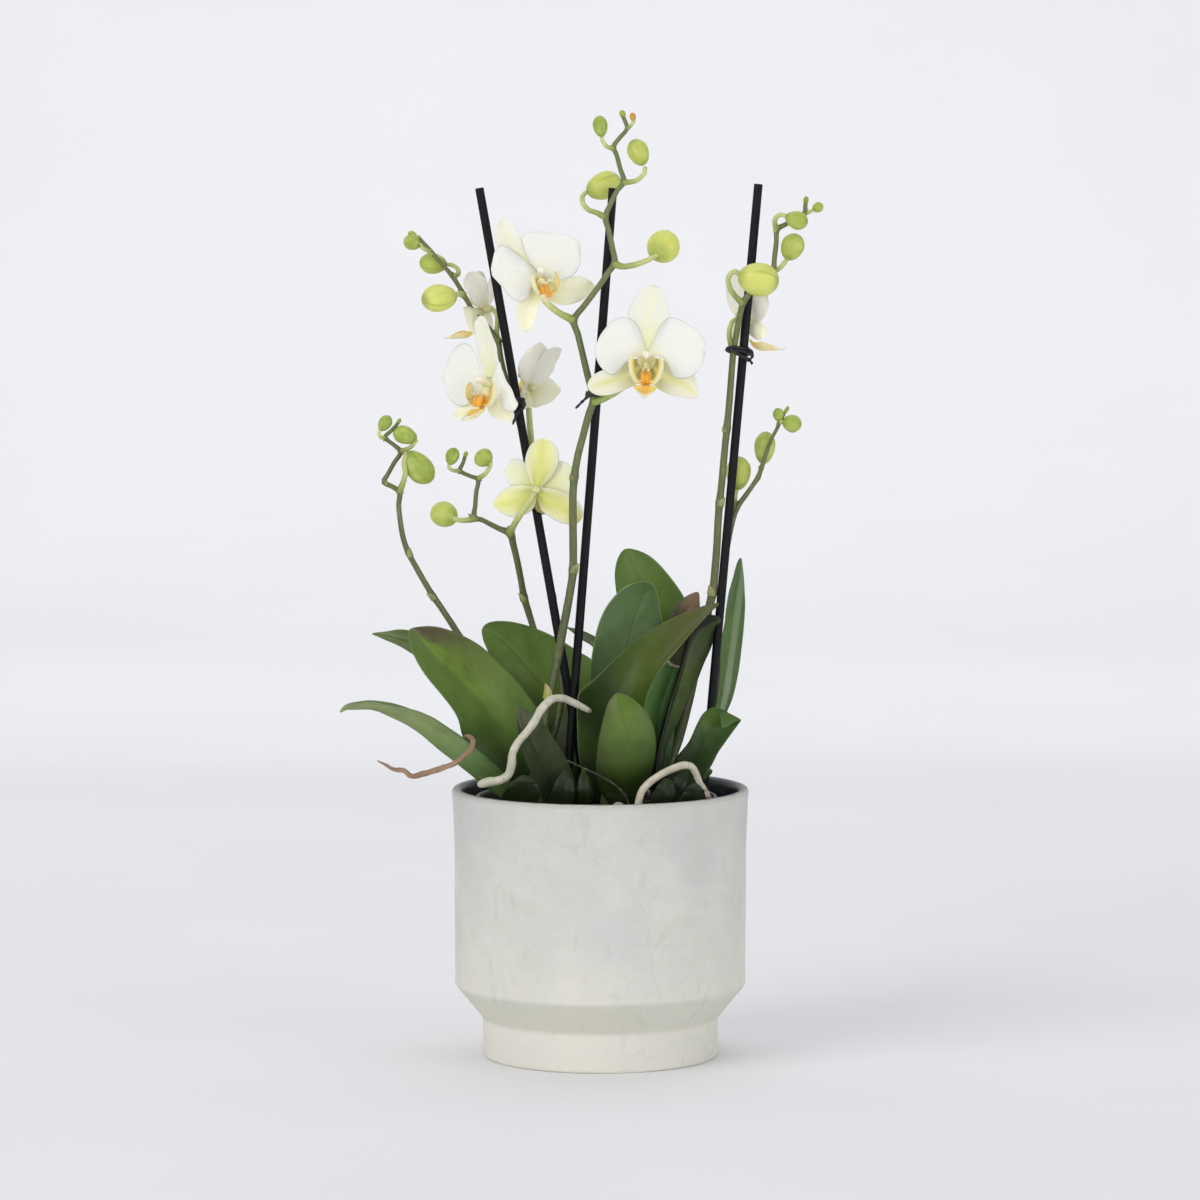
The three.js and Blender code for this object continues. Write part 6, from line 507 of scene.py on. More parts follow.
class Geo:
    """Vertices, faces, material numbers and two vector attributes of one mesh."""

    def __init__(self):
        self.v, self.f, self.m, self.a, self.b, self.n = [], [], [], [], [], 0

    def add(self, verts, faces, mat=0, a=None, b=None):
        verts = np.asarray(verts, float).reshape(-1, 3)
        k = len(verts)
        self.v.append(verts)
        self.f += [tuple(int(i) + self.n for i in f) for f in faces]
        self.m += [mat] * len(faces)
        self.a.append(np.zeros((k, 3)) if a is None else np.broadcast_to(np.asarray(a, float), (k, 3)))
        self.b.append(np.zeros((k, 3)) if b is None else np.broadcast_to(np.asarray(b, float), (k, 3)))
        self.n += k

    def piece(self, name, mats, node, weld=0.0):
        me = bpy.data.meshes.new(name)
        v = np.vstack(self.v) * MM
        me.from_pydata(v.tolist(), [], self.f)
        for key, arr in (("lc", self.a), ("mm", self.b)):
            at_ = me.attributes.new(key, "FLOAT_VECTOR", "POINT")
            at_.data.foreach_set("vector", np.vstack(arr).astype(np.float32).ravel())
        for m in mats:
            me.materials.append(m)
        me.polygons.foreach_set("material_index", self.m)
        me.polygons.foreach_set("use_smooth", [True] * len(me.polygons))
        bm = bmesh.new()
        bm.from_mesh(me)
        bmesh.ops.remove_doubles(bm, verts=bm.verts, dist=2e-6 if not weld else weld)
        bmesh.ops.dissolve_degenerate(bm, edges=bm.edges, dist=1e-7)
        bmesh.ops.recalc_face_normals(bm, faces=bm.faces)
        bm.to_mesh(me)
        bm.free()
        me.update()
        ob = bpy.data.objects.new(name, me)
        bpy.context.scene.collection.objects.link(ob)
        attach(ob, "root")
        if node:
            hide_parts(*([node] if isinstance(node, str) else node))
        return ob


def grid_faces(rows, cols, wrap=False, flip=False, off=0):
    out = []
    for i in range(rows - 1):
        for j in range(cols if wrap else cols - 1):
            k = (j + 1) % cols
            q = (off + i * cols + j, off + i * cols + k, off + (i + 1) * cols + k, off + (i + 1) * cols + j)
            out.append(q[::-1] if flip else q)
    return out


def frames(p):
    """Tangent and two side directions along the polyline p, turned as little as possible."""
    t = unit(np.gradient(p[:, :3], axis=0))
    u = np.cross([0.0, -1.0, 0.0], t[0])
    if np.linalg.norm(u) < 0.1:
        u = np.cross([1.0, 0.0, 0.0], t[0])
    us = []
    for k in range(len(p)):
        u = u - t[k] * np.dot(u, t[k])
        u = u / np.linalg.norm(u)
        us.append(u.copy())
    us = np.array(us)
    return t, us, np.cross(t, us)


def tube(g, pts, step=1.2, sides=18, mat=0, bump=None, cap=True, seed=0.0, domes=(0.55, 0.55), kind=0.0):
    """A round tube along points [x, y, z, radius] whose ends are domed. bump(s, angle, radius) scales the radius."""
    d = spline(pts)
    L = arc(d)[-1]
    n = max(4, int(L / step) + 1)
    p = at(d, np.linspace(0, 1, n))
    s = np.linspace(0, L, n)
    t, u, w = frames(p)
    r = p[:, 3].copy()
    P, R, S, T, U, W = [], [], [], [], [], []
    if cap:
        for q in (0.06, 0.3, 0.6, 0.86):
            P.append(p[0, :3] - t[0] * r[0] * domes[0] * math.cos(math.asin(q) if q < 1 else 0))
            R.append(r[0] * q); S.append(0.0); T.append(t[0]); U.append(u[0]); W.append(w[0])
    for k in range(n):
        P.append(p[k, :3]); R.append(r[k]); S.append(s[k]); T.append(t[k]); U.append(u[k]); W.append(w[k])
    if cap:
        for q in (0.86, 0.6, 0.3, 0.06):
            P.append(p[-1, :3] + t[-1] * r[-1] * domes[1] * math.cos(math.asin(q)))
            R.append(r[-1] * q); S.append(L); T.append(t[-1]); U.append(u[-1]); W.append(w[-1])
    P, R, S, U, W = map(np.array, (P, R, S, U, W))
    a = np.linspace(0, 2 * math.pi, sides, endpoint=False)
    rad = np.repeat(R[:, None], sides, 1)
    if bump is not None:
        rad = rad * bump(S[:, None], a[None, :], P[:, None, :], U[:, None, :], W[:, None, :])
    V = P[:, None, :] + U[:, None, :] * (rad * np.cos(a))[:, :, None] + W[:, None, :] * (rad * np.sin(a))[:, :, None]
    rows = len(P)
    faces = grid_faces(rows, sides, wrap=True)
    V = V.reshape(-1, 3)
    faces.append(tuple(range(sides))[::-1])
    faces.append(tuple(range((rows - 1) * sides, rows * sides)))
    A = np.stack([np.repeat(S / L, sides), np.tile(a / (2 * math.pi), rows), np.full(rows * sides, kind)], 1)
    B = np.stack([np.repeat(S, sides), np.repeat(R, sides), np.full(rows * sides, seed)], 1)
    g.add(V, faces, mat, A, B)
    return p, t, u, w


def fbm(v, scale, octaves=3, seed=0.0):
    """Layered noise at points v (mm) with features of about scale mm, in about -1..1."""
    out = np.empty(len(v))
    for i, q in enumerate(v):
        out[i] = noise.fractal(Vector((q[0] / scale + seed, q[1] / scale - seed * 0.7, q[2] / scale + 3.1 * seed)), 1.0, 2.0, octaves)
    return out


def egg(g, a, b, r, mat=0, lobes=0.0, seam=0.0, point=0.0, rings=28, sides=48, seed=0.0, kind=0.0, fat=0.0, turn=0.0):
    """A bud: its long axis runs from a (stalk) to b (tip). fat moves its widest place to the tip (+) or the stalk (-)."""
    A, B = np.array(a, float), np.array(b, float)
    d = B - A
    L = np.linalg.norm(d)
    t = d / L
    u = np.cross(t, [0.0, -1.0, 0.0])
    if np.linalg.norm(u) < 0.1:
        u = np.cross(t, [1.0, 0, 0])
    u = unit(u)
    w = np.cross(t, u)
    ph = np.linspace(0.0, math.pi, rings)[1:-1]
    th = np.linspace(0, 2 * math.pi, sides, endpoint=False)
    V, AA = [], []
    for q in ph:
        x = 0.5 - 0.5 * math.cos(q)
        rr = r * math.sin(q) ** 0.92 * (1 + fat * (x - 0.5) * 1.2)
        tipness = smooth(np.array(x), 0.8, 1.0)
        rr = rr * (1 - point * tipness * 0.5)
        f = 1 + lobes * np.cos(3 * (th + turn)) * math.sin(q) * (0.4 + x)
        dd = np.abs(((th + turn) / (2 * math.pi) * 3 + 0.5) % 1 - 0.5)
        f = f - seam * np.exp(-((dd / 0.035) ** 2)) * smooth(np.array(x), 0.12, 0.55)
        z = x * L + point * r * 0.35 * tipness
        ring = A + t * z + (u * np.cos(th)[:, None] + w * np.sin(th)[:, None]) * (rr * f)[:, None]
        V.append(ring)
        AA.append(np.stack([np.full(sides, x), th / (2 * math.pi), np.full(sides, kind)], 1))
    V, AA = np.vstack(V), np.vstack(AA)
    n = len(ph)
    V = np.vstack([V, A[None], (B + t * point * r * 0.45)[None]])
    AA = np.vstack([AA, [[0, 0, kind]], [[1, 0, kind]]])
    faces = grid_faces(n, sides, wrap=True)
    for j in range(sides):
        k = (j + 1) % sides
        faces.append((n * sides, k, j))
        faces.append((n * sides + 1, (n - 1) * sides + j, (n - 1) * sides + k))
    BB = np.stack([np.full(len(V), L), np.full(len(V), r), np.full(len(V), seed)], 1)
    g.add(V, faces, mat, AA, BB)


def outline(L, R, nu):
    """Matched points of both edges of a blade, from its base to its tip, on one smooth line that runs through the tip."""
    both = spline(np.vstack([np.array(L, float), np.array(R, float)[::-1][1:]]), 20)
    tip = int(np.argmin(np.linalg.norm(both - np.array(L[-1], float), axis=1)))
    f = np.sin(np.linspace(0, math.pi / 2, nu + 1)) ** 1.0
    f = 0.45 * np.linspace(0, 1, nu + 1) + 0.55 * f
    return at(both[: tip + 1], f), at(both[tip:][::-1], f)


def blade(g, L, R, M=None, thick=1.6, nu=60, nv=26, mat=0, cup=0.0, out=None, groove=0.0, ruffle=0.0, ruffle_n=3.0, seed=0.0,
          recurve=0.0, face=None, kind=0.0, blunt=False, edge_curl=0.0, tipdroop=0.0, mat_back=None):
    """A leaf, sepal or petal between two edge rails. face is the direction its front side looks."""
    a, b = outline(L, R, nu) if not blunt else (at(spline(L), np.linspace(0, 1, nu + 1)), at(spline(R), np.linspace(0, 1, nu + 1)))
    tt = np.linspace(0, 1, nu + 1)
    ctr = (a + b) / 2
    across = b - a
    width = np.linalg.norm(across, axis=1)
    wmax = width.max()
    ax = unit(across + 1e-9)
    along = unit(np.gradient(ctr, axis=0))
    nrm = unit(np.cross(ax, along))
    # near the tip the two edges meet, so its direction is kept from just before
    k0 = int(nu * 0.9)
    for k in range(k0, nu + 1):
        nrm[k] = nrm[k0]; ax[k] = ax[k0] if width[k] < 0.12 * wmax else ax[k]
    if face is not None:
        sgn = np.sign(np.mean(nrm @ np.asarray(face, float)))
    else:
        sgn = 1.0
    fn = nrm * (sgn if sgn else 1.0)
    mid = ctr.copy()
    if M is not None:
        m = at(spline(M), tt)
        off = m - ctr
        off = off - ax * np.sum(off * ax, 1)[:, None]
        mid = ctr + off * np.clip(width / (0.35 * wmax), 0, 1)[:, None]
    if cup:
        mid = mid + fn * (cup * np.sin(math.pi * np.clip(0.1 + 0.9 * tt, 0, 1)) * np.clip(width / 10.0, 0, 1))[:, None]
    # across the blade: closer together near the edges, so that these are round
    s = np.sin(np.linspace(-math.pi / 2, math.pi / 2, nv + 1))
    s = 0.5 * s + 0.5 * np.linspace(-1, 1, nv + 1)
    q = (s + 1) / 2
    rows = (a[:, None, :] * ((1 - q) * (1 - 2 * q))[None, :, None] + mid[:, None, :] * (4 * q * (1 - q))[None, :, None] + b[:, None, :] * (q * (2 * q - 1))[None, :, None])
    # surface normals
    du = np.gradient(rows, axis=0)
    dv = np.gradient(rows, axis=1)
    n = np.cross(dv, du)
    ln = np.linalg.norm(n, axis=2, keepdims=True)
    n = np.where(ln > 1e-9, n / np.maximum(ln, 1e-12), fn[:, None, :] * sgn)
    for k in range(k0, nu + 1):
        n[k] = n[k0]
    if np.mean(n @ np.asarray(face if face is not None else fn.mean(0), float)) < 0:
        n = -n
    wfac = np.clip(width / (0.5 * wmax), 0, 1)[:, None]
    disp = np.zeros(rows.shape[:2])
    S = np.repeat(s[None, :], nu + 1, 0)
    T = np.repeat(tt[:, None], nv + 1, 1)
    if groove:
        disp += -groove * np.exp(-((S * np.maximum(width[:, None], 1) / 2 / 1.2) ** 2)) * wfac * smooth(1 - T, 0.0, 0.12)
        disp += groove * 0.25 * np.exp(-(((np.abs(S) - 0.45) / 0.35) ** 2)) * wfac
    if ruffle:
        x = T * ruffle_n * 2 * math.pi + seed * 5.1
        disp += ruffle * np.abs(S) ** 2.5 * (np.sin(x + (S > 0) * 1.9) + 0.5 * np.sin(2.3 * x + 1.0 + seed)) * smooth(T, 0.15, 0.5)
    if recurve:
        disp += recurve * smooth(T, 0.55, 1.0) ** 1.5
    if edge_curl:
        disp += edge_curl * np.abs(S) ** 3 * wfac
    flat = rows.reshape(-1, 3)
    wob = fbm(flat, wmax * 0.55, 2, seed).reshape(disp.shape) * (0.03 * wmax ** 0.8)
    disp += wob * (1 - np.abs(S) ** 6 * 0.6) * smooth(T, 0.05, 0.3)
    # parallel veins, raised a little
    vein = np.cos(S * math.pi * 7) * (0.012 if thick > 1 else 0.02)
    disp += vein * wfac
    rows = rows + n * disp[:, :, None]
    h = thick / 2 * np.sqrt(np.clip(1 - np.abs(S) ** 5, 0, 1)) * np.sqrt(np.clip(1 - T ** 14, 0, 1)) * (0.55 + 0.45 * (1 - S ** 2)) * (1.15 - 0.35 * T)
    if groove:
        h = h + 0.35 * groove * np.exp(-((S * np.maximum(width[:, None], 1) / 2 / 1.8) ** 2)) * wfac * smooth(1 - T, 0, 0.3)
    if not blunt:
        h[-1, :] = 0
    h[:, 0] = 0; h[:, -1] = 0
    top, bot = rows + n * h[:, :, None], rows - n * h[:, :, None]
    N = (nu + 1) * (nv + 1)
    faces = grid_faces(nu + 1, nv + 1)
    A = np.stack([T.ravel(), S.ravel(), np.ones(N)], 1)
    A2 = A.copy(); A2[:, 2] = -1
    length = arc(ctr)
    B = np.stack([np.repeat(length[:, None], nv + 1, 1).ravel(), (S * width[:, None] / 2).ravel(), np.full(N, seed)], 1)
    B2 = B.copy()
    g.add(top.reshape(-1, 3), faces, mat, A, B)
    g.add(bot.reshape(-1, 3), [f[::-1] for f in faces], mat if mat_back is None else mat_back, A2, B2)
    # the open base (and a broken tip) are closed by a strip
    base = g.n - 2 * N
    ends = [0] + ([nu] if blunt else [])
    for e in ends:
        for j in range(nv):
            i0, i1 = base + e * (nv + 1) + j, base + e * (nv + 1) + j + 1
            g.f.append((i0, i1, i1 + N, i0 + N)); g.m.append(mat)
    return rows, n, tt


# ------------------------------------------------------------------ materials
class Mat:
    """A short way to write a node material."""

    def __init__(self, name):
        self.m = bpy.data.materials.new(name)
        self.m.use_nodes = True
        self.t = self.m.node_tree
        self.t.nodes.clear()
        self.out = self.t.nodes.new("ShaderNodeOutputMaterial")
        self.p = self.t.nodes.new("ShaderNodeBsdfPrincipled")
        self.t.links.new(self.p.outputs[0], self.out.inputs[0])

    def n(self, kind, **kw):
        node = self.t.nodes.new("ShaderNode" + kind)
        for k, v in kw.items():
            setattr(node, k, v)
        return node

    def link(self, a, b):
        if isinstance(a, (int, float)):
            b.default_value = a
        elif isinstance(a, tuple):
            b.default_value = a
        else:
            self.t.links.new(a, b)

    def attr(self, name):
        return self.n("Attribute", attribute_name=name).outputs["Vector"]

    def xyz(self, v):
        s = self.n("SeparateXYZ")
        self.link(v, s.inputs[0])
        return s.outputs

    def comb(self, x, y, z):
        c = self.n("CombineXYZ")
        for k, q in enumerate((x, y, z)):
            self.link(q, c.inputs[k])
        return c.outputs[0]

    def obj(self):
        return self.n("TexCoord").outputs["Object"]

    def scaled(self, v, s):
        m = self.n("Mapping")
        self.link(v, m.inputs["Vector"])
        m.inputs["Scale"].default_value = s if isinstance(s, tuple) else (s, s, s)
        return m.outputs[0]

    def noise(self, v, scale, detail=4.0, rough=0.55, dist=0.0, colour=False):
        k = self.n("TexNoise")
        self.link(v, k.inputs["Vector"])
        k.inputs["Scale"].default_value = scale
        k.inputs["Detail"].default_value = detail
        k.inputs["Roughness"].default_value = rough
        k.inputs["Distortion"].default_value = dist
        return k.outputs["Color" if colour else "Fac"]

    def voronoi(self, v, scale, feature="F1", rnd=1.0, out="Distance"):
        k = self.n("TexVoronoi", feature=feature)
        self.link(v, k.inputs["Vector"])
        k.inputs["Scale"].default_value = scale
        k.inputs["Randomness"].default_value = rnd
        return k.outputs[out]

    def math(self, op, a, b=0.0, c=None, clamp=False):
        k = self.n("Math", operation=op, use_clamp=clamp)
        self.link(a, k.inputs[0])
        self.link(b, k.inputs[1])
        if c is not None:
            self.link(c, k.inputs[2])
        return k.outputs[0]

    def ramp(self, f, lo, hi, a=0.0, b=1.0, smoothstep=True):
        k = self.n("MapRange", interpolation_type="SMOOTHSTEP" if smoothstep else "LINEAR", clamp=True) if smoothstep else self.n("MapRange", clamp=True)
        self.link(f, k.inputs["Value"])
        k.inputs["From Min"].default_value = lo
        k.inputs["From Max"].default_value = hi
        k.inputs["To Min"].default_value = a
        k.inputs["To Max"].default_value = b
        return k.outputs[0]

    def mix(self, f, a, b, mode="MIX"):
        k = self.n("Mix", data_type="RGBA", blend_type=mode, clamp_factor=True)
        self.link(f, k.inputs[0])
        self.link(a, k.inputs[6])
        self.link(b, k.inputs[7])
        return k.outputs[2]

    def bump(self, height, distance, strength=1.0, normal=None):
        k = self.n("Bump")
        self.link(height, k.inputs["Height"])
        k.inputs["Distance"].default_value = distance
        k.inputs["Strength"].default_value = strength
        if normal is not None:
            self.link(normal, k.inputs["Normal"])
        return k.outputs[0]

    def done(self, colour, rough, normal=None, sss=0.0, sss_scale=0.004, sss_radius=(1.0, 0.7, 0.3), spec=0.5, coat=0.0, coat_rough=0.2, sheen=0.0):
        p = self.p
        self.link(colour, p.inputs["Base Color"])
        self.link(rough, p.inputs["Roughness"])
        if normal is not None:
            self.link(normal, p.inputs["Normal"])
        p.inputs["Specular IOR Level"].default_value = spec
        if sss:
            p.inputs["Subsurface Weight"].default_value = sss
            p.inputs["Subsurface Scale"].default_value = sss_scale
            p.inputs["Subsurface Radius"].default_value = sss_radius
        if coat:
            p.inputs["Coat Weight"].default_value = coat
            p.inputs["Coat Roughness"].default_value = coat_rough
        if sheen:
            p.inputs["Sheen Weight"].default_value = sheen
        return self.m


def leaf_material(name, look):
    """Waxy leaf: soft mottling, thin midrib line, barely seen parallel veins, brown margin or tip where the real leaf
    has one; painted shade low down where the blades crowd above the bark, a thin painted highlight along the margin,
    painted shade on part of some leaves and painted light on part of one.
    """
    k = Mat(name)
    t, s, w = k.xyz(k.attr("lc"))
    length, cross, seed = k.xyz(k.attr("mm"))
    raw = k.obj()
    zz = k.xyz(raw)[2]
    o2 = k.n("VectorMath", operation="ADD")
    k.link(raw, o2.inputs[0]); k.link(k.comb(seed, seed, seed), o2.inputs[1])
    o = o2.outputs[0]
    front, back = lin(*look["front"]), lin(*look["back"])
    big = k.noise(o, 30.0, 3.0, 0.5)
    med = k.noise(o, 85.0, 4.0, 0.6)
    face = front
    if "low" in look:
        face = k.mix(k.ramp(k.math("ADD", t, k.math("MULTIPLY", k.math("SUBTRACT", big, 0.5), 0.3)), 0.2, 0.68, 1.0, 0.0), face, lin(*look["low"]))
    col = k.mix(k.ramp(w, -0.1, 0.1), back, face)
    col = k.mix(k.ramp(big, 0.42, 0.7, 0.0, 0.32), col, lin(112, 140, 48))
    col = k.mix(k.ramp(med, 0.44, 0.7, 0.0, 0.34), col, lin(52, 78, 30))
    # margins a little darker and bluer than the middle of each half
    sa = k.math("ABSOLUTE", s)
    col = k.mix(k.ramp(sa, 0.45, 0.95, 0.0, 0.22), col, lin(62, 84, 44))
    # parallel veins, faint
    fine = k.noise(k.comb(k.math("MULTIPLY", cross, 1.6), k.math("MULTIPLY", length, 0.03), seed), 1.0, 3.0, 0.6)
    col = k.mix(k.ramp(fine, 0.45, 0.7, 0.0, look.get("veins", 0.07)), col, lin(128, 150, 74))
    # grid of cells that shows as a fine grain
    grain = k.noise(o, 1500.0, 3.0, 0.6)
    col = k.mix(k.ramp(grain, 0.45, 0.75, 0.0, 0.14), col, lin(40, 58, 24))
    if "tint_and_painted_shading" in look:
        # one half, or one stretch, of another colour: a darker tone on leaf_left_large, painted shade on
        # leaf_centre_long (a stretch in the shadow of the leaves beside it) and on leaf_right_narrow (the half that
        # folds away from the light), painted light on leaf_centre_left_rear (a stretch lifted against the shade of its
        # neighbours): side, t from, t to, colour, strength
        side, t0, t1, tc, ts = look["tint_and_painted_shading"]
        zone = k.math("MULTIPLY", k.ramp(k.math("MULTIPLY", s, side), -0.12, 0.25), k.math("MULTIPLY", k.ramp(t, t0, t0 + 0.1), k.ramp(t, t1 - 0.12, t1, 1.0, 0.0)))
        col = k.mix(k.math("MULTIPLY", zone, ts), col, lin(*tc))
    mid = k.math("ABSOLUTE", cross)
    wob = k.math("ADD", mid, k.math("MULTIPLY", k.math("SUBTRACT", med, 0.5), 0.3))
    if "stripe" in look:
        off = look.get("stripe_at", 0.0)
        col = k.mix(k.math("MULTIPLY", k.ramp(k.math("ABSOLUTE", k.math("SUBTRACT", cross, off)), look.get("stripe_w", 1.2) * 0.5, look.get("stripe_w", 1.2), 1.0, 0.0), k.ramp(t, 0.12, 0.95, 0.85, 0.35)), col, lin(*look["stripe"]))
    else:
        rib = k.math("MULTIPLY", k.ramp(wob, 0.12, 0.75, 1.0, 0.0), k.ramp(w, -0.1, 0.1, 0.25, 1.0))
        col = k.mix(k.math("MULTIPLY", rib, look.get("rib", 0.4)), col, lin(44, 60, 24))
        col = k.mix(k.math("MULTIPLY", k.ramp(k.math("ABSOLUTE", k.math("SUBTRACT", mid, 1.3)), 0.0, 0.8, 1.0, 0.0), look.get("rib", 0.4) * 0.25), col, lin(136, 156, 82))
    if "tip" in look:
        col = k.mix(k.ramp(k.math("ADD", t, k.math("MULTIPLY", k.math("SUBTRACT", big, 0.5), 0.3)), look.get("tip_from", 0.8), look.get("tip_from", 0.8) + 0.18, 0.0, 0.85), col, lin(*look["tip"]))
    if "brown" in look:
        side = k.math("MULTIPLY", s, look["side"]) if look.get("side") else sa
        zone = k.math("MULTIPLY", k.ramp(k.math("ADD", side, k.math("MULTIPLY", k.math("SUBTRACT", med, 0.5), 0.9)), look.get("reach", 0.35), look.get("reach", 0.35) + 0.6), k.ramp(k.math("ADD", t, k.math("MULTIPLY", k.math("SUBTRACT", big, 0.5), 0.5)), look["from"], look["from"] + 0.3))
        col = k.mix(k.math("MULTIPLY", zone, look["brown"]), col, lin(*look.get("brown_c", (88, 72, 54))))
    # a thin line along the margin: where it is paler than the blade it is a painted highlight on the rounded edge, on
    # leaf_broken_top it is painted shade, elsewhere a darker margin tone
    if "edge" in look:
        col = k.mix(k.ramp(sa, 0.972, 0.995, 0.0, 0.7), col, lin(*look["edge"]))
    # a few tiny pale scuffs
    sc = k.voronoi(o, 420.0)
    col = k.mix(k.math("MULTIPLY", k.ramp(sc, 0.02, 0.08, 1.0, 0.0), k.ramp(k.noise(o, 60.0, 2.0), 0.56, 0.7, 0.0, 0.25)), col, lin(160, 172, 128))
    # painted shade: the blades darken towards near black low down, where they crowd together above the bark
    col = k.mix(k.ramp(zz, look.get("painted_shade_top", 0.168), 0.132, 0.0, look.get("dark", 0.85)), col, lin(18, 26, 10))
    r = k.math("ADD", k.ramp(k.noise(o, 160.0, 4.0), 0.3, 0.7, look.get("rough", 0.4) - 0.05, look.get("rough", 0.4) + 0.1), k.math("MULTIPLY", k.ramp(w, -0.1, 0.1, 1.0, 0.0), 0.1))
    h = k.math("ADD", k.math("MULTIPLY", fine, 0.45), k.math("MULTIPLY", k.noise(o, 2200.0, 2.0), 0.25))
    n1 = k.bump(h, 0.00016, 0.4)
    n2 = k.bump(k.noise(o, 120.0, 3.0), 0.0008, 0.3, n1)
    return k.done(col, r, n2, sss=0.08, sss_scale=0.0012, sss_radius=(0.4, 1.0, 0.2), spec=look.get("spec", 0.34))


def petal_material(name, body, base, centre_line, back, line_amount=0.5, green_to=0.42, margin=(246, 246, 240), margin_amount=0.25, margin_from=0.9, glow=(0.5, 0.0022)):
    """Thin ivory petal tissue with faint veins, greener towards the middle of the flower."""
    k = Mat(name)
    t, s, w = k.xyz(k.attr("lc"))
    length, cross, seed = k.xyz(k.attr("mm"))
    o = k.obj()
    sa = k.math("ABSOLUTE", s)
    soft = k.noise(o, 90.0, 3.0)
    col = k.mix(k.ramp(soft, 0.35, 0.7, 0.0, 0.5), body, k.mix(0.5, body, lin(226, 227, 214)))
    # back faces take the back colour; on the ivory tissue it is lighter than the front, painted light in place of the
    # light that passes through the thin tissue
    front = k.ramp(w, -0.1, 0.1)
    col = k.mix(k.math("MULTIPLY", k.math("SUBTRACT", 1.0, front), 0.6), col, back)
    # green-yellow flush from the base and up the middle
    grow = k.math("ADD", t, k.math("MULTIPLY", k.math("SUBTRACT", soft, 0.5), 0.15))
    col = k.mix(k.ramp(grow, 0.02, green_to, 0.9, 0.0), col, base)
    line = k.math("MULTIPLY", k.ramp(sa, 0.0, 0.42, 1.0, 0.0), k.ramp(t, 0.55, 1.0, 1.0, 0.25))
    col = k.mix(k.math("MULTIPLY", line, line_amount), col, centre_line)
    # veins fan out from the base
    fan = k.math("ADD", k.math("MULTIPLY", s, 15.0), k.math("MULTIPLY", k.noise(k.comb(t, s, seed), 3.0, 2.0), 2.4))
    vein = k.math("POWER", k.math("ABSOLUTE", k.math("SINE", fan)), 7.0)
    tiny = k.noise(k.comb(k.math("MULTIPLY", cross, 2.6), k.math("MULTIPLY", length, 0.35), seed), 1.0, 3.0)
    vv = k.math("MULTIPLY", vein, k.ramp(t, 0.98, 0.6, 0.1, 0.75))
    col = k.mix(k.math("MULTIPLY", vv, 0.2), col, lin(222, 224, 190))
    col = k.mix(k.ramp(tiny, 0.5, 0.75, 0.0, 0.16), col, lin(214, 216, 200))
    # paler towards the margin: on the yellow tissue its own pale edges, on the other tissue painted light that lifts
    # the grey shade along the thin edges
    col = k.mix(k.ramp(k.math("ADD", sa, k.math("MULTIPLY", k.math("SUBTRACT", soft, 0.5), 0.3)), margin_from, 1.0, 0.0, margin_amount), col, lin(*margin))
    h = k.math("ADD", k.math("MULTIPLY", vv, -0.6), k.math("ADD", k.math("MULTIPLY", tiny, 0.5), k.math("MULTIPLY", k.noise(o, 3000.0, 2.0), 0.4)))
    n1 = k.bump(h, 0.00016, 0.55)
    r = k.ramp(k.noise(o, 600.0, 3.0), 0.3, 0.7, 0.42, 0.62)
    return k.done(col, r, n1, sss=glow[0], sss_scale=glow[1], sss_radius=(1.0, 0.97, 0.8), spec=0.22)


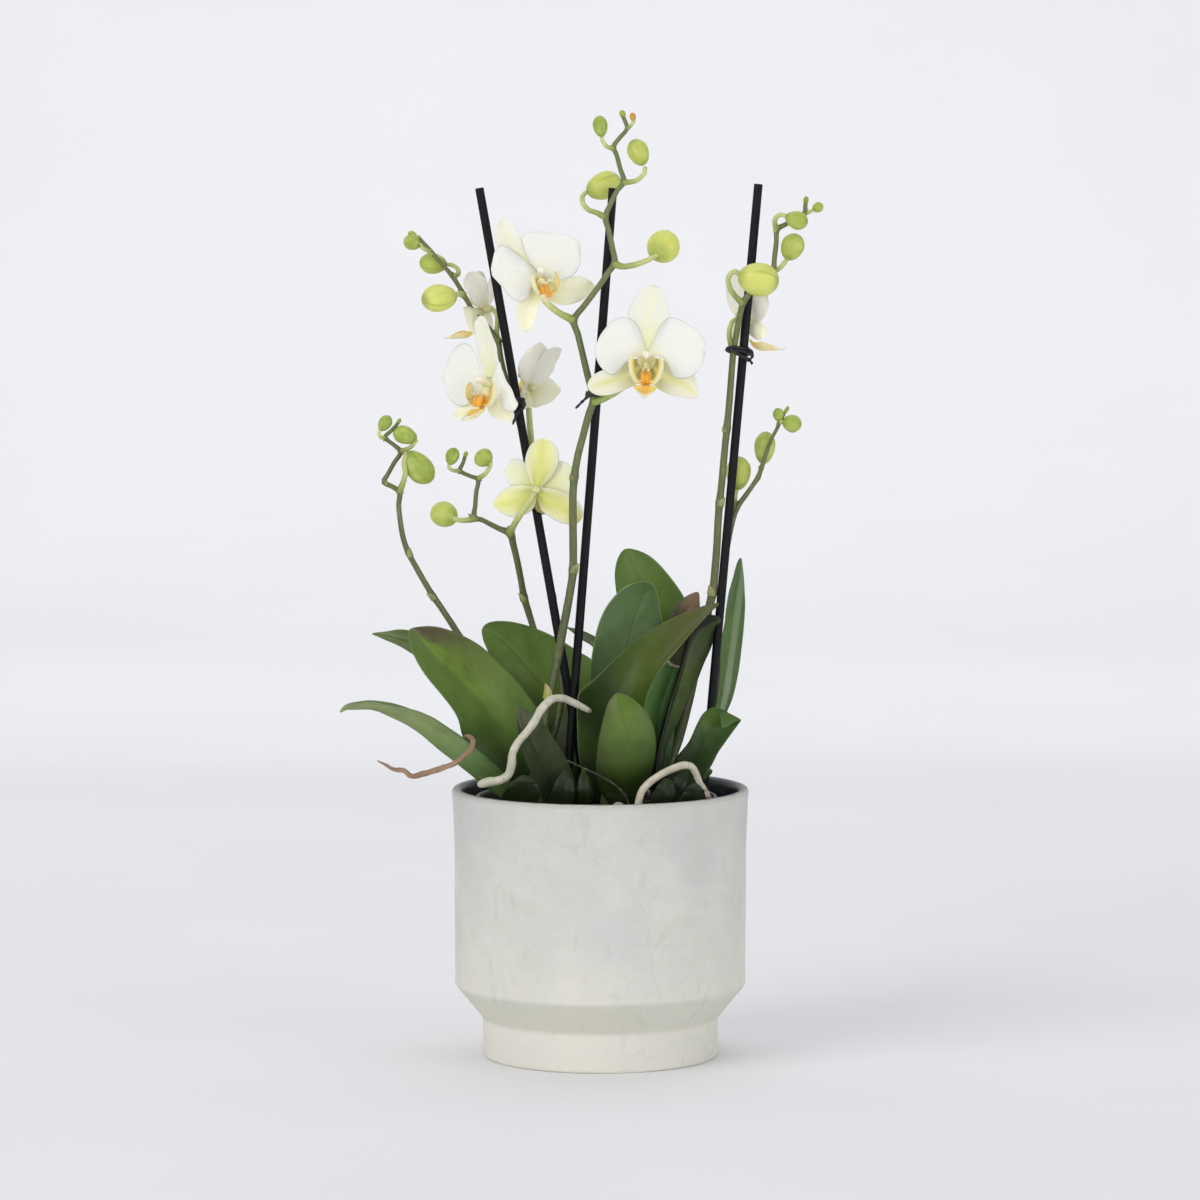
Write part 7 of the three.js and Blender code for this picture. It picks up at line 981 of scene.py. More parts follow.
def lip_material(name="lip_tissue", dull=0.0):
    """Lip: yellow lobes, orange callus, pale tip, red-brown spots and bars near the throat."""
    k = Mat(name)
    a, b, w = k.xyz(k.attr("lc"))
    length, s, side = k.xyz(k.attr("mm"))
    o = k.obj()
    soft = k.noise(o, 260.0, 3.0)
    aa = k.math("ABSOLUTE", a)
    inner = k.ramp(side, 0.1, -0.1)
    lobe = k.ramp(aa, 2.4, 4.0)
    cream, yellow, pale, orange = lin(242, 234, 190), lin(246, 212, 104), lin(242, 242, 220), lin(243, 170, 48)
    col = k.mix(k.ramp(soft, 0.35, 0.7), cream, lin(244, 236, 190))
    # deeper yellow down the claw and along the free rims of the side lobes
    col = k.mix(k.math("MULTIPLY", k.ramp(b, -3.0, -9.8, 0.0, 0.8), k.ramp(lobe, 0.0, 1.0, 1.0, 0.4)), col, yellow)
    # the outer faces are paler still
    col = k.mix(k.math("MULTIPLY", k.math("MULTIPLY", k.ramp(side, -0.1, 0.1), lobe), 0.55), col, lin(236, 234, 214))
    rim = k.math("MULTIPLY", k.ramp(s, 0.6, 0.92), lobe)
    col = k.mix(k.math("MULTIPLY", rim, k.ramp(b, 5.0, 0.0, 0.5, 0.95)), col, lin(243, 190, 58))
    # middle lobe: orange above at its neck, yellow shoulders, pale tip, olive cream below
    mid = k.math("MULTIPLY", k.ramp(w, 6.0, 8.0), k.ramp(b, -10.3, -11.2))
    top = k.mix(k.ramp(aa, 0.6, 3.8), lin(250, 208, 112), lin(248, 226, 150))
    under = k.mix(k.ramp(s, 0.8, 0.98), lin(244, 230, 180), lin(212, 174, 104))
    col = k.mix(mid, col, k.mix(k.ramp(side, -0.1, 0.1), under, top))
    col = k.mix(k.math("MULTIPLY", k.ramp(w, 12.6, 16.0), 0.95), col, pale)
    # orange heart
    d1 = k.math("ADD", k.math("POWER", k.math("DIVIDE", a, 3.2), 2.0), k.math("POWER", k.math("DIVIDE", k.math("ADD", b, 7.6), 4.0), 2.0))
    heart = k.math("MULTIPLY", k.ramp(k.math("ADD", d1, k.math("MULTIPLY", k.math("SUBTRACT", soft, 0.5), 0.8)), 0.4, 1.3, 0.95, 0.0), k.ramp(w, 2.6, 4.6))
    col = k.mix(heart, col, orange)
    # pale olive cream low on the lip, near the column: partly its own colour, partly painted light that lifts the deep
    # shade between the lobes
    col = k.mix(k.ramp(w, 4.0, 2.2), col, lin(232, 226, 158))
    # spots and short bars on the inner faces of the side lobes and on the heart's shoulders
    v = k.comb(k.math("MULTIPLY", a, 1.0), k.math("MULTIPLY", b, 0.62), k.math("MULTIPLY", w, 0.7))
    sp = k.voronoi(v, 1.15)
    zone = k.math("MULTIPLY", k.math("MULTIPLY", k.ramp(aa, 1.6, 2.6), k.math("MULTIPLY", inner, k.ramp(s, 0.8, 0.5))), k.math("MULTIPLY", k.ramp(b, -10.6, -9.4), k.ramp(b, -5.6, -3.4, 1.0, 0.0)))
    dots = k.ramp(sp, 0.2, 0.36, 1.0, 0.0)
    col = k.mix(k.math("MULTIPLY", k.math("MULTIPLY", dots, zone), 0.8), col, lin(150, 84, 44))
    tiny = k.voronoi(k.comb(a, b, w), 2.0)
    z2 = k.math("MULTIPLY", k.ramp(aa, 3.4, 2.2), k.math("MULTIPLY", k.ramp(b, -6.8, -5.0), k.ramp(b, -1.0, -2.4)))
    col = k.mix(k.math("MULTIPLY", k.math("MULTIPLY", k.ramp(tiny, 0.2, 0.34, 1.0, 0.0), z2), 0.85), col, lin(150, 70, 34))
    fine = k.noise(o, 900.0, 3.0)
    col = k.mix(k.ramp(fine, 0.45, 0.75, 0.0, 0.14), col, lin(230, 190, 96))
    if dull:
        col = k.mix(dull, col, k.mix(k.ramp(soft, 0.35, 0.7), lin(186, 176, 104), lin(204, 196, 128)))
    n1 = k.bump(k.math("ADD", k.math("MULTIPLY", fine, 1.0), k.math("MULTIPLY", k.noise(o, 3600.0, 2.0), 0.5)), 0.00018, 0.6)
    return k.done(col, k.ramp(fine, 0.3, 0.7, 0.34, 0.52), n1, sss=0.6, sss_scale=0.002, sss_radius=(1.0, 0.75, 0.35), spec=0.35)


def column_material():
    k = Mat("column_tissue")
    a, b, w = k.xyz(k.attr("lc"))
    o = k.obj()
    soft = k.noise(o, 300.0, 3.0)
    col = k.mix(k.ramp(soft, 0.35, 0.7), lin(244, 226, 208), lin(245, 236, 220))
    # cream low on the column: partly its own colour, partly painted light that lifts the shade in the throat
    col = k.mix(k.ramp(w, 7.0, 3.2), col, lin(232, 230, 180))
    col = k.mix(k.math("MULTIPLY", k.ramp(w, 7.4, 8.6), 0.5), col, lin(250, 244, 214))
    fine = k.noise(o, 1400.0, 3.0)
    col = k.mix(k.ramp(fine, 0.5, 0.75, 0.0, 0.3), col, lin(226, 196, 184))
    return k.done(col, k.ramp(fine, 0.3, 0.7, 0.34, 0.5), k.bump(fine, 0.0001, 0.5), sss=0.35, sss_scale=0.0025, sss_radius=(1.0, 0.7, 0.5))


def stem_material():
    """Stem: olive green, lengthwise streaks, paler pedicels, brown specks."""
    k = Mat("stem_skin")
    t, ang, kind = k.xyz(k.attr("lc"))
    s, rad, seed = k.xyz(k.attr("mm"))
    o = k.obj()
    low, high = lin(77, 86, 50), lin(110, 123, 67)
    zz = k.xyz(o)[2]
    col = k.mix(k.ramp(zz, 0.16, 0.44, 0.0, 0.75), low, high)
    col = k.mix(k.ramp(kind, 0.2, 0.9), col, k.mix(k.ramp(t, 0.0, 0.7), lin(146, 162, 80), lin(206, 213, 140)))
    big = k.noise(k.scaled(o, (1.0, 1.0, 0.35)), 150.0, 3.0)
    col = k.mix(k.ramp(big, 0.38, 0.68, 0.0, 0.5), col, k.mix(0.6, col, lin(122, 104, 62)))
    streak = k.noise(k.scaled(o, (1.0, 1.0, 0.05)), 1500.0, 3.0)
    col = k.mix(k.ramp(streak, 0.42, 0.7, 0.0, 0.4), col, k.mix(0.55, col, lin(72, 84, 44)))
    pale = k.noise(k.scaled(o, (1.0, 1.0, 0.06)), 2300.0, 2.0)
    col = k.mix(k.ramp(pale, 0.52, 0.75, 0.0, 0.3), col, lin(172, 184, 128))
    speck = k.voronoi(o, 900.0)
    col = k.mix(k.math("MULTIPLY", k.ramp(speck, 0.05, 0.14, 1.0, 0.0), k.ramp(k.noise(o, 120.0, 2.0), 0.52, 0.66, 0.0, 0.5)), col, lin(92, 70, 48))
    # a pale mix keyed to the seed value of the mm attribute, which the stem tubes leave at 0, so it adds nothing
    col = k.mix(k.ramp(seed, 0.35, 1.0, 0.0, 0.55), col, lin(150, 148, 84))
    n1 = k.bump(k.math("ADD", streak, k.math("MULTIPLY", k.noise(o, 2600.0, 2.0), 0.4)), 0.00018, 0.55)
    return k.done(col, k.ramp(k.noise(o, 500.0, 3.0), 0.3, 0.7, 0.36, 0.54), n1, sss=0.1, sss_scale=0.0012, sss_radius=(0.6, 1.0, 0.3))


def bract_material():
    k = Mat("bract_skin")
    t, s, w = k.xyz(k.attr("lc"))
    o = k.obj()
    first = k.ramp(k.xyz(k.attr("mm"))[2], 4.5, 4.9)
    col = k.mix(k.ramp(t, 0.1, 0.95), lin(118, 130, 72), lin(150, 144, 96))
    col = k.mix(first, col, k.mix(k.ramp(t, 0.2, 0.95), lin(168, 176, 84), lin(186, 180, 118)))
    st = k.noise(k.scaled(o, (1.0, 1.0, 0.12)), 1600.0, 3.0)
    col = k.mix(k.ramp(st, 0.42, 0.7, 0.0, 0.4), col, lin(112, 104, 62))
    col = k.mix(k.ramp(k.noise(o, 260.0, 3.0), 0.4, 0.7, 0.0, 0.4), col, lin(188, 182, 130))
    return k.done(col, 0.55, k.bump(st, 0.0002, 0.6))


def bud_material():
    """Bud: yellow-green with greener seams and base, faint lengthwise veins."""
    k = Mat("bud_skin")
    t, ang, mixv = k.xyz(k.attr("lc"))
    L, rad, seed = k.xyz(k.attr("mm"))
    o = k.obj()
    green, yellow = lin(134, 158, 56), lin(212, 216, 112)
    col = k.mix(mixv, green, yellow)
    # the three sepals: greener along the seams and keels
    q = k.math("ABSOLUTE", k.math("SUBTRACT", k.math("FRACT", k.math("ADD", k.math("MULTIPLY", ang, 3.0), 0.5)), 0.5))
    seam = k.ramp(q, 0.0, 0.07, 1.0, 0.0)
    col = k.mix(k.math("MULTIPLY", seam, k.ramp(t, 0.15, 0.75, 0.05, 0.42)), col, lin(134, 156, 58))
    keel = k.ramp(k.math("SUBTRACT", 0.5, q), 0.0, 0.16, 1.0, 0.0)
    col = k.mix(k.math("MULTIPLY", keel, 0.16), col, lin(214, 220, 134))
    col = k.mix(k.ramp(t, 0.0, 0.3, 0.6, 0.0), col, lin(128, 152, 58))
    col = k.mix(k.ramp(t, 0.86, 1.0, 0.0, 0.55), col, lin(108, 132, 44))
    veins = k.noise(k.comb(k.math("MULTIPLY", ang, 42.0), k.math("MULTIPLY", t, 2.5), seed), 1.0, 3.0, 0.6, 0.4)
    col = k.mix(k.ramp(veins, 0.45, 0.72, 0.0, 0.3), col, k.mix(0.5, col, lin(132, 156, 52)))
    blot = k.noise(o, 230.0, 3.0)
    col = k.mix(k.ramp(blot, 0.45, 0.72, 0.0, 0.4), col, lin(214, 216, 136))
    pts = k.voronoi(o, 1300.0)
    col = k.mix(k.ramp(pts, 0.06, 0.2, 0.22, 0.0), col, lin(226, 230, 168))
    n1 = k.bump(k.math("ADD", veins, k.math("MULTIPLY", k.noise(o, 2600.0, 2.0), 0.5)), 0.00022, 0.5)
    return k.done(col, k.ramp(blot, 0.3, 0.7, 0.36, 0.5), n1, sss=0.3, sss_scale=0.003, sss_radius=(0.8, 1.0, 0.3), spec=0.4)


def root_material(name, pale, grey, brown, brown_from=2.0, dry=False):
    """Root: chalky velamen with grey bands and fine wrinkles, brown where it has dried."""
    k = Mat(name)
    t, ang, kind = k.xyz(k.attr("lc"))
    s, rad, seed = k.xyz(k.attr("mm"))
    o = k.obj()
    big = k.noise(o, 130.0, 4.0)
    col = k.mix(k.ramp(big, 0.35, 0.68), pale, grey)
    spots = k.noise(o, 420.0, 4.0, 0.65)
    col = k.mix(k.ramp(spots, 0.52, 0.72, 0.0, 0.55), col, brown)
    fine = k.noise(k.comb(k.math("MULTIPLY", ang, 30.0), k.math("MULTIPLY", s, 0.5), seed), 1.0, 4.0, 0.65)
    col = k.mix(k.ramp(fine, 0.45, 0.75, 0.0, 0.35), col, k.mix(0.5, col, lin(240, 236, 220)))
    bands = k.noise(k.comb(s, 0.0, seed), 0.55, 3.0)
    col = k.mix(k.ramp(bands, 0.55, 0.75, 0.0, 0.35), col, lin(168, 162, 124))
    if brown_from < 1.0:
        col = k.mix(k.ramp(k.math("ADD", t, k.math("MULTIPLY", k.math("SUBTRACT", spots, 0.5), 0.35)), brown_from, brown_from + 0.16, 0.0, 0.85), col, lin(104, 74, 56))
    col = k.mix(k.ramp(t, 0.992, 1.0, 0.0, 0.6), col, lin(120, 100, 70))
    h = k.math("ADD", k.math("MULTIPLY", fine, 1.0), k.math("ADD", k.math("MULTIPLY", spots, 0.6), k.math("MULTIPLY", k.noise(o, 2400.0, 2.0), 0.4)))
    return k.done(col, 0.82 if not dry else 0.72, k.bump(h, 0.0004 if not dry else 0.0006, 0.7), spec=0.25)


def plastic_material(name, dark, light, rough, scale=300.0, scuff=0.25, along=None, spec=0.5):
    k = Mat(name)
    o = k.obj()
    big = k.noise(o, scale * 0.2, 3.0)
    col = k.mix(k.ramp(big, 0.35, 0.7), dark, light)
    v = o if along is None else k.scaled(o, along)
    sc = k.noise(v, scale * 4.0, 4.0, 0.65)
    col = k.mix(k.ramp(sc, 0.58, 0.78, 0.0, scuff), col, lin(120, 120, 124))
    h = k.math("ADD", sc, k.math("MULTIPLY", k.noise(o, 5200.0, 2.0), 0.5))
    return k.done(col, k.ramp(sc, 0.3, 0.75, rough - 0.06, rough + 0.16), k.bump(h, 0.00008, 0.5), spec=spec)


def bark_material():
    k = Mat("bark_chips")
    t, s, w = k.xyz(k.attr("lc"))
    a, b, seed = k.xyz(k.attr("mm"))
    o = k.obj()
    col = k.mix(k.ramp(seed, 0.0, 1.0, smoothstep=False), lin(52, 36, 26), lin(112, 80, 56))
    fib = k.noise(k.comb(k.math("MULTIPLY", t, 1.3), k.math("MULTIPLY", s, 9.0), k.math("ADD", w, seed)), 1.0, 4.0, 0.65, 0.6)
    col = k.mix(k.ramp(fib, 0.4, 0.7, 0.0, 0.7), col, lin(38, 27, 20))
    pale = k.noise(o, 300.0, 4.0, 0.6)
    col = k.mix(k.ramp(pale, 0.56, 0.74, 0.0, 0.5), col, lin(146, 112, 80))
    grey = k.noise(o, 90.0, 3.0)
    col = k.mix(k.ramp(grey, 0.55, 0.75, 0.0, 0.4), col, lin(104, 100, 88))
    h = k.math("ADD", fib, k.math("MULTIPLY", k.noise(o, 1600.0, 4.0), 0.6))
    return k.done(col, k.ramp(fib, 0.3, 0.7, 0.75, 0.95), k.bump(h, 0.0007, 0.8), spec=0.2)


def stoneware_material():
    """Outer pot: pale matte clay body with soft clouds, fine specks, pin holes, faint crazing and drag marks; dark glaze on the lip and inside."""
    k = Mat("stoneware_body")
    pr, z, kind = k.xyz(k.attr("lc"))  # kind 0 outside, 1 glazed inside
    o = k.obj()
    x, y, zz = k.xyz(o)
    pale, warm, cool = lin(214, 213, 206), lin(205, 203, 190), lin(203, 205, 202)
    n1 = k.noise(o, 22.0, 5.0, 0.6)
    n2 = k.noise(k.scaled(o, (1.0, 1.0, 2.2)), 60.0, 5.0, 0.62)
    col = k.mix(k.ramp(n1, 0.36, 0.64), pale, cool)
    col = k.mix(k.ramp(n2, 0.42, 0.7, 0.0, 0.55), col, warm)
    # painted light and shade: paler and creamier low down, where the bounce from the floor lights the wall, greyer
    # towards the rim
    soft = k.math("ADD", zz, k.math("MULTIPLY", k.math("SUBTRACT", n1, 0.5), 0.03))
    col = k.mix(k.ramp(soft, 0.075, 0.135, 0.0, 0.42), col, lin(186, 188, 187))
    col = k.mix(k.ramp(soft, 0.075, 0.02, 0.0, 0.7), col, lin(226, 223, 211))
    # painted shade on the chamfer, which faces down
    col = k.mix(k.math("MULTIPLY", k.ramp(zz, 0.0175, 0.0205), k.ramp(zz, 0.037, 0.033)), col, k.mix(0.45, col, lin(204, 203, 186)))
    col = k.mix(k.ramp(zz, 0.1288, 0.1308, 0.0, 0.45), col, lin(166, 167, 156))
    # darker smudges, drifting downwards
    sm = k.noise(k.scaled(o, (1.0, 1.0, 0.55)), 95.0, 4.0, 0.6, 0.8)
    col = k.mix(k.ramp(sm, 0.58, 0.76, 0.0, 0.4), col, lin(184, 184, 176))
    # crazing: very faint network of lines
    wob = k.n("VectorMath", operation="ADD")
    k.link(o, wob.inputs[0])
    sc = k.n("VectorMath", operation="SCALE")
    k.link(k.noise(o, 45.0, 3.0, colour=True), sc.inputs[0]); sc.inputs["Scale"].default_value = 0.008
    k.link(sc.outputs[0], wob.inputs[1])
    cr = k.voronoi(wob.outputs[0], 62.0, "DISTANCE_TO_EDGE")
    craze = k.math("MULTIPLY", k.ramp(cr, 0.0, 0.028, 1.0, 0.0), k.ramp(k.noise(o, 18.0, 2.0), 0.42, 0.6))
    col = k.mix(k.math("MULTIPLY", craze, 0.22), col, lin(188, 188, 182))
    # specks and pin holes
    v1 = k.voronoi(o, 340.0)
    col = k.mix(k.math("MULTIPLY", k.ramp(v1, 0.05, 0.13, 1.0, 0.0), k.ramp(k.noise(o, 70.0, 2.0), 0.5, 0.6, 0.0, 0.6)), col, lin(158, 156, 146))
    v2 = k.voronoi(o, 800.0)
    col = k.mix(k.math("MULTIPLY", k.ramp(v2, 0.05, 0.14, 1.0, 0.0), 0.2), col, lin(232, 231, 224))
    fine = k.noise(o, 1500.0, 4.0, 0.7)
    col = k.mix(k.ramp(fine, 0.5, 0.75, 0.0, 0.2), col, lin(190, 189, 180))
    # horizontal turning marks
    turn = k.noise(k.comb(0.0, 0.0, k.math("MULTIPLY", zz, 1.0)), 900.0, 3.0)
    # dark glaze with a worn edge
    gl = k.mix(k.ramp(n2, 0.35, 0.7), lin(44, 46, 50), lin(74, 75, 78))
    gl = k.mix(k.ramp(k.noise(o, 220.0, 4.0), 0.5, 0.72, 0.0, 0.5), gl, lin(104, 105, 106))
    gl = k.mix(k.ramp(fine, 0.55, 0.78, 0.0, 0.3), gl, lin(130, 130, 128))
    edge = k.math("ADD", kind, k.math("MULTIPLY", k.math("SUBTRACT", k.noise(o, 260.0, 4.0, 0.65), 0.5), 0.55))
    f = k.ramp(edge, 0.42, 0.6)
    rimgrey = k.math("MULTIPLY", k.ramp(edge, 0.28, 0.46), k.ramp(edge, 0.8, 0.6))
    col = k.mix(f, col, gl)
    col = k.mix(k.math("MULTIPLY", rimgrey, 0.75), col, lin(140, 140, 138))
    rough = k.mix(f, (0.72, 0.72, 0.72, 1), (0.34, 0.34, 0.34, 1))
    rr = k.math("ADD", rough, k.ramp(fine, 0.3, 0.7, -0.06, 0.08))
    h = k.math("ADD", k.math("MULTIPLY", fine, 0.5), k.math("ADD", k.math("MULTIPLY", turn, 0.55), k.math("ADD", k.math("MULTIPLY", k.ramp(v1, 0.0, 0.12, 0.0, 1.0), 0.35), k.math("MULTIPLY", craze, -0.3))))
    b1 = k.bump(h, 0.00022, 0.55)
    b2 = k.bump(n2, 0.0008, 0.3, b1)
    return k.done(col, rr, b2, spec=0.4)


# ------------------------------------------------------------------ load the frame
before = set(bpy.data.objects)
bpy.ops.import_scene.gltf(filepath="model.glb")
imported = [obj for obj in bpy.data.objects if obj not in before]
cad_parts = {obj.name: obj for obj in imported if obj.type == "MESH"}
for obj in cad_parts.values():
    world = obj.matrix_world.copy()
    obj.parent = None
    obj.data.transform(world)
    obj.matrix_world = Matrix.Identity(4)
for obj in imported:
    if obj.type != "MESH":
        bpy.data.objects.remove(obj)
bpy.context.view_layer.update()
random.seed(7)
CAM = np.array([0.0, -CAM_D, CAM_H])

# ------------------------------------------------------------------ outer pot
def lathe(g, prof, seg, mat=0, cx=0.0, closed=False, wobble=None):
    """Turned body about Z. prof is [radius, height, kind]; points on the axis close it."""
    prof = np.asarray(prof, float)
    th = np.linspace(0, 2 * math.pi, seg, endpoint=False)
    V, A = [], []
    for r, z, kd in prof:
        rr = np.full(seg, r)
        if wobble is not None:
            rr = rr + wobble(r, z, th)
        V.append(np.stack([cx + rr * np.cos(th), rr * np.sin(th), np.full(seg, z)], 1))
        A.append(np.stack([np.full(seg, r / 80), np.full(seg, z / 132), np.full(seg, kd)], 1))
    V, A = np.vstack(V), np.vstack(A)
    rows = len(prof)
    faces = grid_faces(rows, seg, wrap=True)
    if closed:
        for j in range(seg):
            k = (j + 1) % seg
            faces.append(((rows - 1) * seg + j, (rows - 1) * seg + k, k, j))
    g.add(V, faces, mat, A, None)


def soften(points, step=1.2):
    """A profile line [r, z, kind, corner radius] with its corners rounded, in short steps."""
    out = []
    P = [np.array(p[:3], float) for p in points]
    C = [p[3] for p in points]
    for i, p in enumerate(P):
        if i in (0, len(P) - 1) or C[i] <= 0:
            out.append(p)
            continue
        a, b = P[i - 1], P[i + 1]
        da, db = np.linalg.norm((a - p)[:2]), np.linalg.norm((b - p)[:2])
        c = min(C[i], da * 0.49, db * 0.49)
        s0 = p + (a - p) * (c / da)
        s1 = p + (b - p) * (c / db)
        for q in np.linspace(0, 1, 7):
            out.append((1 - q) ** 2 * s0 + 2 * q * (1 - q) * p + q * q * s1)
    dense = [out[0]]
    for p, q in zip(out, out[1:]):
        n = max(1, int(np.linalg.norm((q - p)[:2]) / step))
        for k in range(1, n + 1):
            dense.append(p + (q - p) * k / n)
    return dense


g = Geo()
prof = soften([
    (0.5, 0.0, 0, 0), (FOOT_R - 0.8, 0.0, 0, 0.8), (FOOT_R, 1.0, 0, 0.9), (FOOT_R, NECK_Z, 0, 1.6), (WALL_R, SHOULDER_Z, 0, 1.3), (WALL_R, 60, 0, 4), (WALL_R + 0.1, 105, 0, 12),
    (RIM_R - 0.35, 126, 0, 6), (RIM_R, POT_H - 1.6, 0.05, 0.9), (RIM_R - 0.9, POT_H - 0.15, 0.35, 0.8), (RIM_R - 2.6, POT_H, 0.75, 1.0), (RIM_INNER_R + 0.9, POT_H - 0.5, 1, 1.0),
    (RIM_INNER_R, POT_H - 2.4, 1, 1.2), (RIM_INNER_R - 1.2, 105, 1, 8), (RIM_INNER_R - 1.4, 40, 1, 6), (RIM_INNER_R - 5, 30, 1, 4), (FOOT_R - 5.5, 20, 1, 3), (FOOT_R - 6, FLOOR_T + 1, 1, 2), (FOOT_R - 8, FLOOR_T, 1, 1), (0.5, FLOOR_T, 1, 0)], 1.6)


def pot_wobble(r, z, th):
    if r < 20:
        return 0 * th
    out = np.empty(len(th))
    for i, t in enumerate(th):
        out[i] = 0.16 * noise.noise(Vector((math.cos(t) * 2.0, math.sin(t) * 2.0, z / 30.0))) + 0.05 * noise.noise(Vector((math.cos(t) * 14.0, math.sin(t) * 14.0, z / 4.0)))
    return out * (0.3 if z < 0.5 else 1.0)


lathe(g, prof, 176, wobble=pot_wobble)
n0 = g.n
seg = 176
g.f.append(tuple(range(seg))[::-1]); g.m.append(0)
g.f.append(tuple(range(n0 - seg, n0))); g.m.append(0)
STONE = stoneware_material()
g.piece("stoneware_pot", [STONE], "planter")

# ------------------------------------------------------------------ inner pot
g = Geo()
z0, z1 = GROW_Z0, GROW_Z1
prof = soften([
    (DRAIN_R, z0, 0, 0.2), (GROW_R0, z0, 0, 1.5), (GROW_R0 + (GROW_R1 - 0.9 - GROW_R0) * 0.5, (z0 + z1 - 6) / 2, 0, 0), (GROW_R1 - 0.9, z1 - 6, 0, 0.4), (GROW_R1, z1 - 5.4, 0, 0.4), (GROW_R1, z1 - 0.5, 0, 0.5),
    (GROW_R1 - 0.6, z1, 0, 0.5), (GROW_R1 - GROW_T - 0.4, z1, 0, 0.4), (GROW_R1 - GROW_T - 0.9, z1 - 1.2, 0, 0.4), (GROW_R0 - GROW_T, z0 + GROW_T, 0, 1.0), (DRAIN_R, z0 + GROW_T, 0, 0.2)], 2.5)
lathe(g, prof, 96, cx=GROW_X, closed=True, wobble=lambda r, z, th: 0.22 * np.cos(2 * th + 0.6) * (z > 100) + 0.05 * np.cos(40 * th) * (r < GROW_R1 - 1.0))
g.piece("inner_pot", [plastic_material("inner_pot_plastic", lin(30, 31, 34), lin(52, 53, 57), 0.42, 260.0)], "grow_pot")

# ------------------------------------------------------------------ bark
g = Geo()
rng = random.Random(21)
prof = soften([(0.5, z0 + GROW_T + 0.3, 0, 0), (GROW_R0 - GROW_T - 1.0, z0 + GROW_T + 0.3, 0, 1), (GROW_R1 - GROW_T - 2.6, BARK_Z - 6.5, 0, 2), (GROW_R1 - 7, BARK_Z - 5.2, 0, 2), (GROW_R1 - 20, BARK_Z - 4.2, 0, 2), (0.5, BARK_Z - 3.8, 0, 0)], 4.0)
lathe(g, prof, 72, cx=GROW_X, wobble=lambda r, z, th: 0.0 * th)
n0 = g.n
g.f.append(tuple(range(72))[::-1]); g.m.append(0)
g.f.append(tuple(range(n0 - 72, n0))); g.m.append(0)


def chip(g, centre, size, rng, kind):
    """One angular chip of bark: a box cut round by small random moves, finely divided so that its faces are uneven."""
    bm = bmesh.new()
    bmesh.ops.create_cube(bm, size=1.0)
    bmesh.ops.bevel(bm, geom=bm.edges[:], offset=0.1, segments=1, affect="EDGES", profile=0.5)
    bmesh.ops.subdivide_edges(bm, edges=[e for e in bm.edges if e.calc_length() > 0.4], cuts=1, use_grid_fill=True)
    seed = rng.random()
    so = Vector((rng.random() * 50, rng.random() * 50, rng.random() * 50))
    for v in bm.verts:
        k = noise.noise_vector(v.co * 1.7 + so) * 0.24 + noise.noise_vector(v.co * 5.0 + so) * 0.07
        v.co += Vector((k[0], k[1], k[2]))
    R = Euler((rng.uniform(-0.45, 0.45), rng.uniform(-0.45, 0.45), rng.uniform(0, 6.28))).to_matrix()
    V, A = [], []
    for v in bm.verts:
        A.append((v.co.x * size[0] * 0.3, v.co.y * size[1] * 0.3, v.co.z))
        q = R @ Vector((v.co.x * size[0], v.co.y * size[1], v.co.z * size[2]))
        V.append((centre[0] + q.x, centre[1] + q.y, centre[2] + q.z))
    bm.verts.index_update()
    F = [tuple(v.index for v in f.verts) for f in bm.faces]
    bm.free()
    g.add(V, F, kind, A, (0, 0, seed))


for i in range(430):
    a = rng.uniform(0, 2 * math.pi)
    rmax = GROW_R1 - GROW_T - 6.5
    r = rmax * math.sqrt(rng.random())
    sz = (rng.uniform(5, 12), rng.uniform(4, 8), rng.uniform(2.0, 4.5))
    z = BARK_Z - 3.9 + rng.uniform(-1.5, 1.4) - 1.0 * (r / rmax) ** 2
    chip(g, (GROW_X + r * math.cos(a), r * math.sin(a), z), sz, rng, 0)
# a few pale bits (perlite and root tips) that lie near the front of the pot
for bx, by, bz, br in PALE_BITS:
    egg(g, (bx - br, by, bz - 0.5), (bx + br * 1.1, by + 0.6, bz + 0.3), br, mat=1, lobes=0.06, seam=0.05, rings=14, sides=20, seed=bx, kind=0)
BARK = bark_material()
PERLITE = root_material("pale_bits", lin(206, 204, 188), lin(178, 176, 158), lin(140, 128, 104))
g.piece("bark_chips", [BARK, PERLITE], "bark_mix")

# ------------------------------------------------------------------ stakes
STAKE_MAT = plastic_material("stake_plastic", lin(5, 6, 9), lin(11, 12, 17), 0.56, 300.0, 0.09, (1.0, 1.0, 0.12), spec=0.24)
for q in STAKES:
    g = Geo()
    a, b = np.array(q["foot"], float), np.array(q["b"], float)
    d = unit(b - a)
    r = STAKE_R
    pts = [a, a + d * 0.4, b - d * 0.35, b]
    u = unit(np.cross(d, [0, 1.0, 0])); w = np.cross(d, u)
    th = np.linspace(0, 2 * math.pi, 28, endpoint=False)
    rows = [(0, r - 0.35), (0.4, r)] + [(s, r) for s in np.arange(6, np.linalg.norm(b - a) - 3, 6.0)] + [(np.linalg.norm(b - a) - 0.35, r), (np.linalg.norm(b - a) - 0.08, r - 0.14), (np.linalg.norm(b - a), r - 0.42), (np.linalg.norm(b - a), 0.02)]
    V, A = [], []
    for s, rr in rows:
        wob = 1 + 0.012 * np.cos(6 * th) + 0.01 * math.sin(s / 23.0)
        V.append(a + d * s + (u * np.cos(th)[:, None] + w * np.sin(th)[:, None]) * (rr * wob)[:, None])
        A.append(np.stack([np.full(28, s / 400), th / 6.283, np.zeros(28)], 1))
    V = np.vstack(V)
    F = grid_faces(len(rows), 28, wrap=True)
    F.append(tuple(range(28))[::-1]); F.append(tuple(range((len(rows) - 1) * 28, len(rows) * 28)))
    g.add(V, F, 0, np.vstack(A), (0, r, 0))
    g.piece("rod_" + q["name"].split("_")[1], [STAKE_MAT], q["name"])

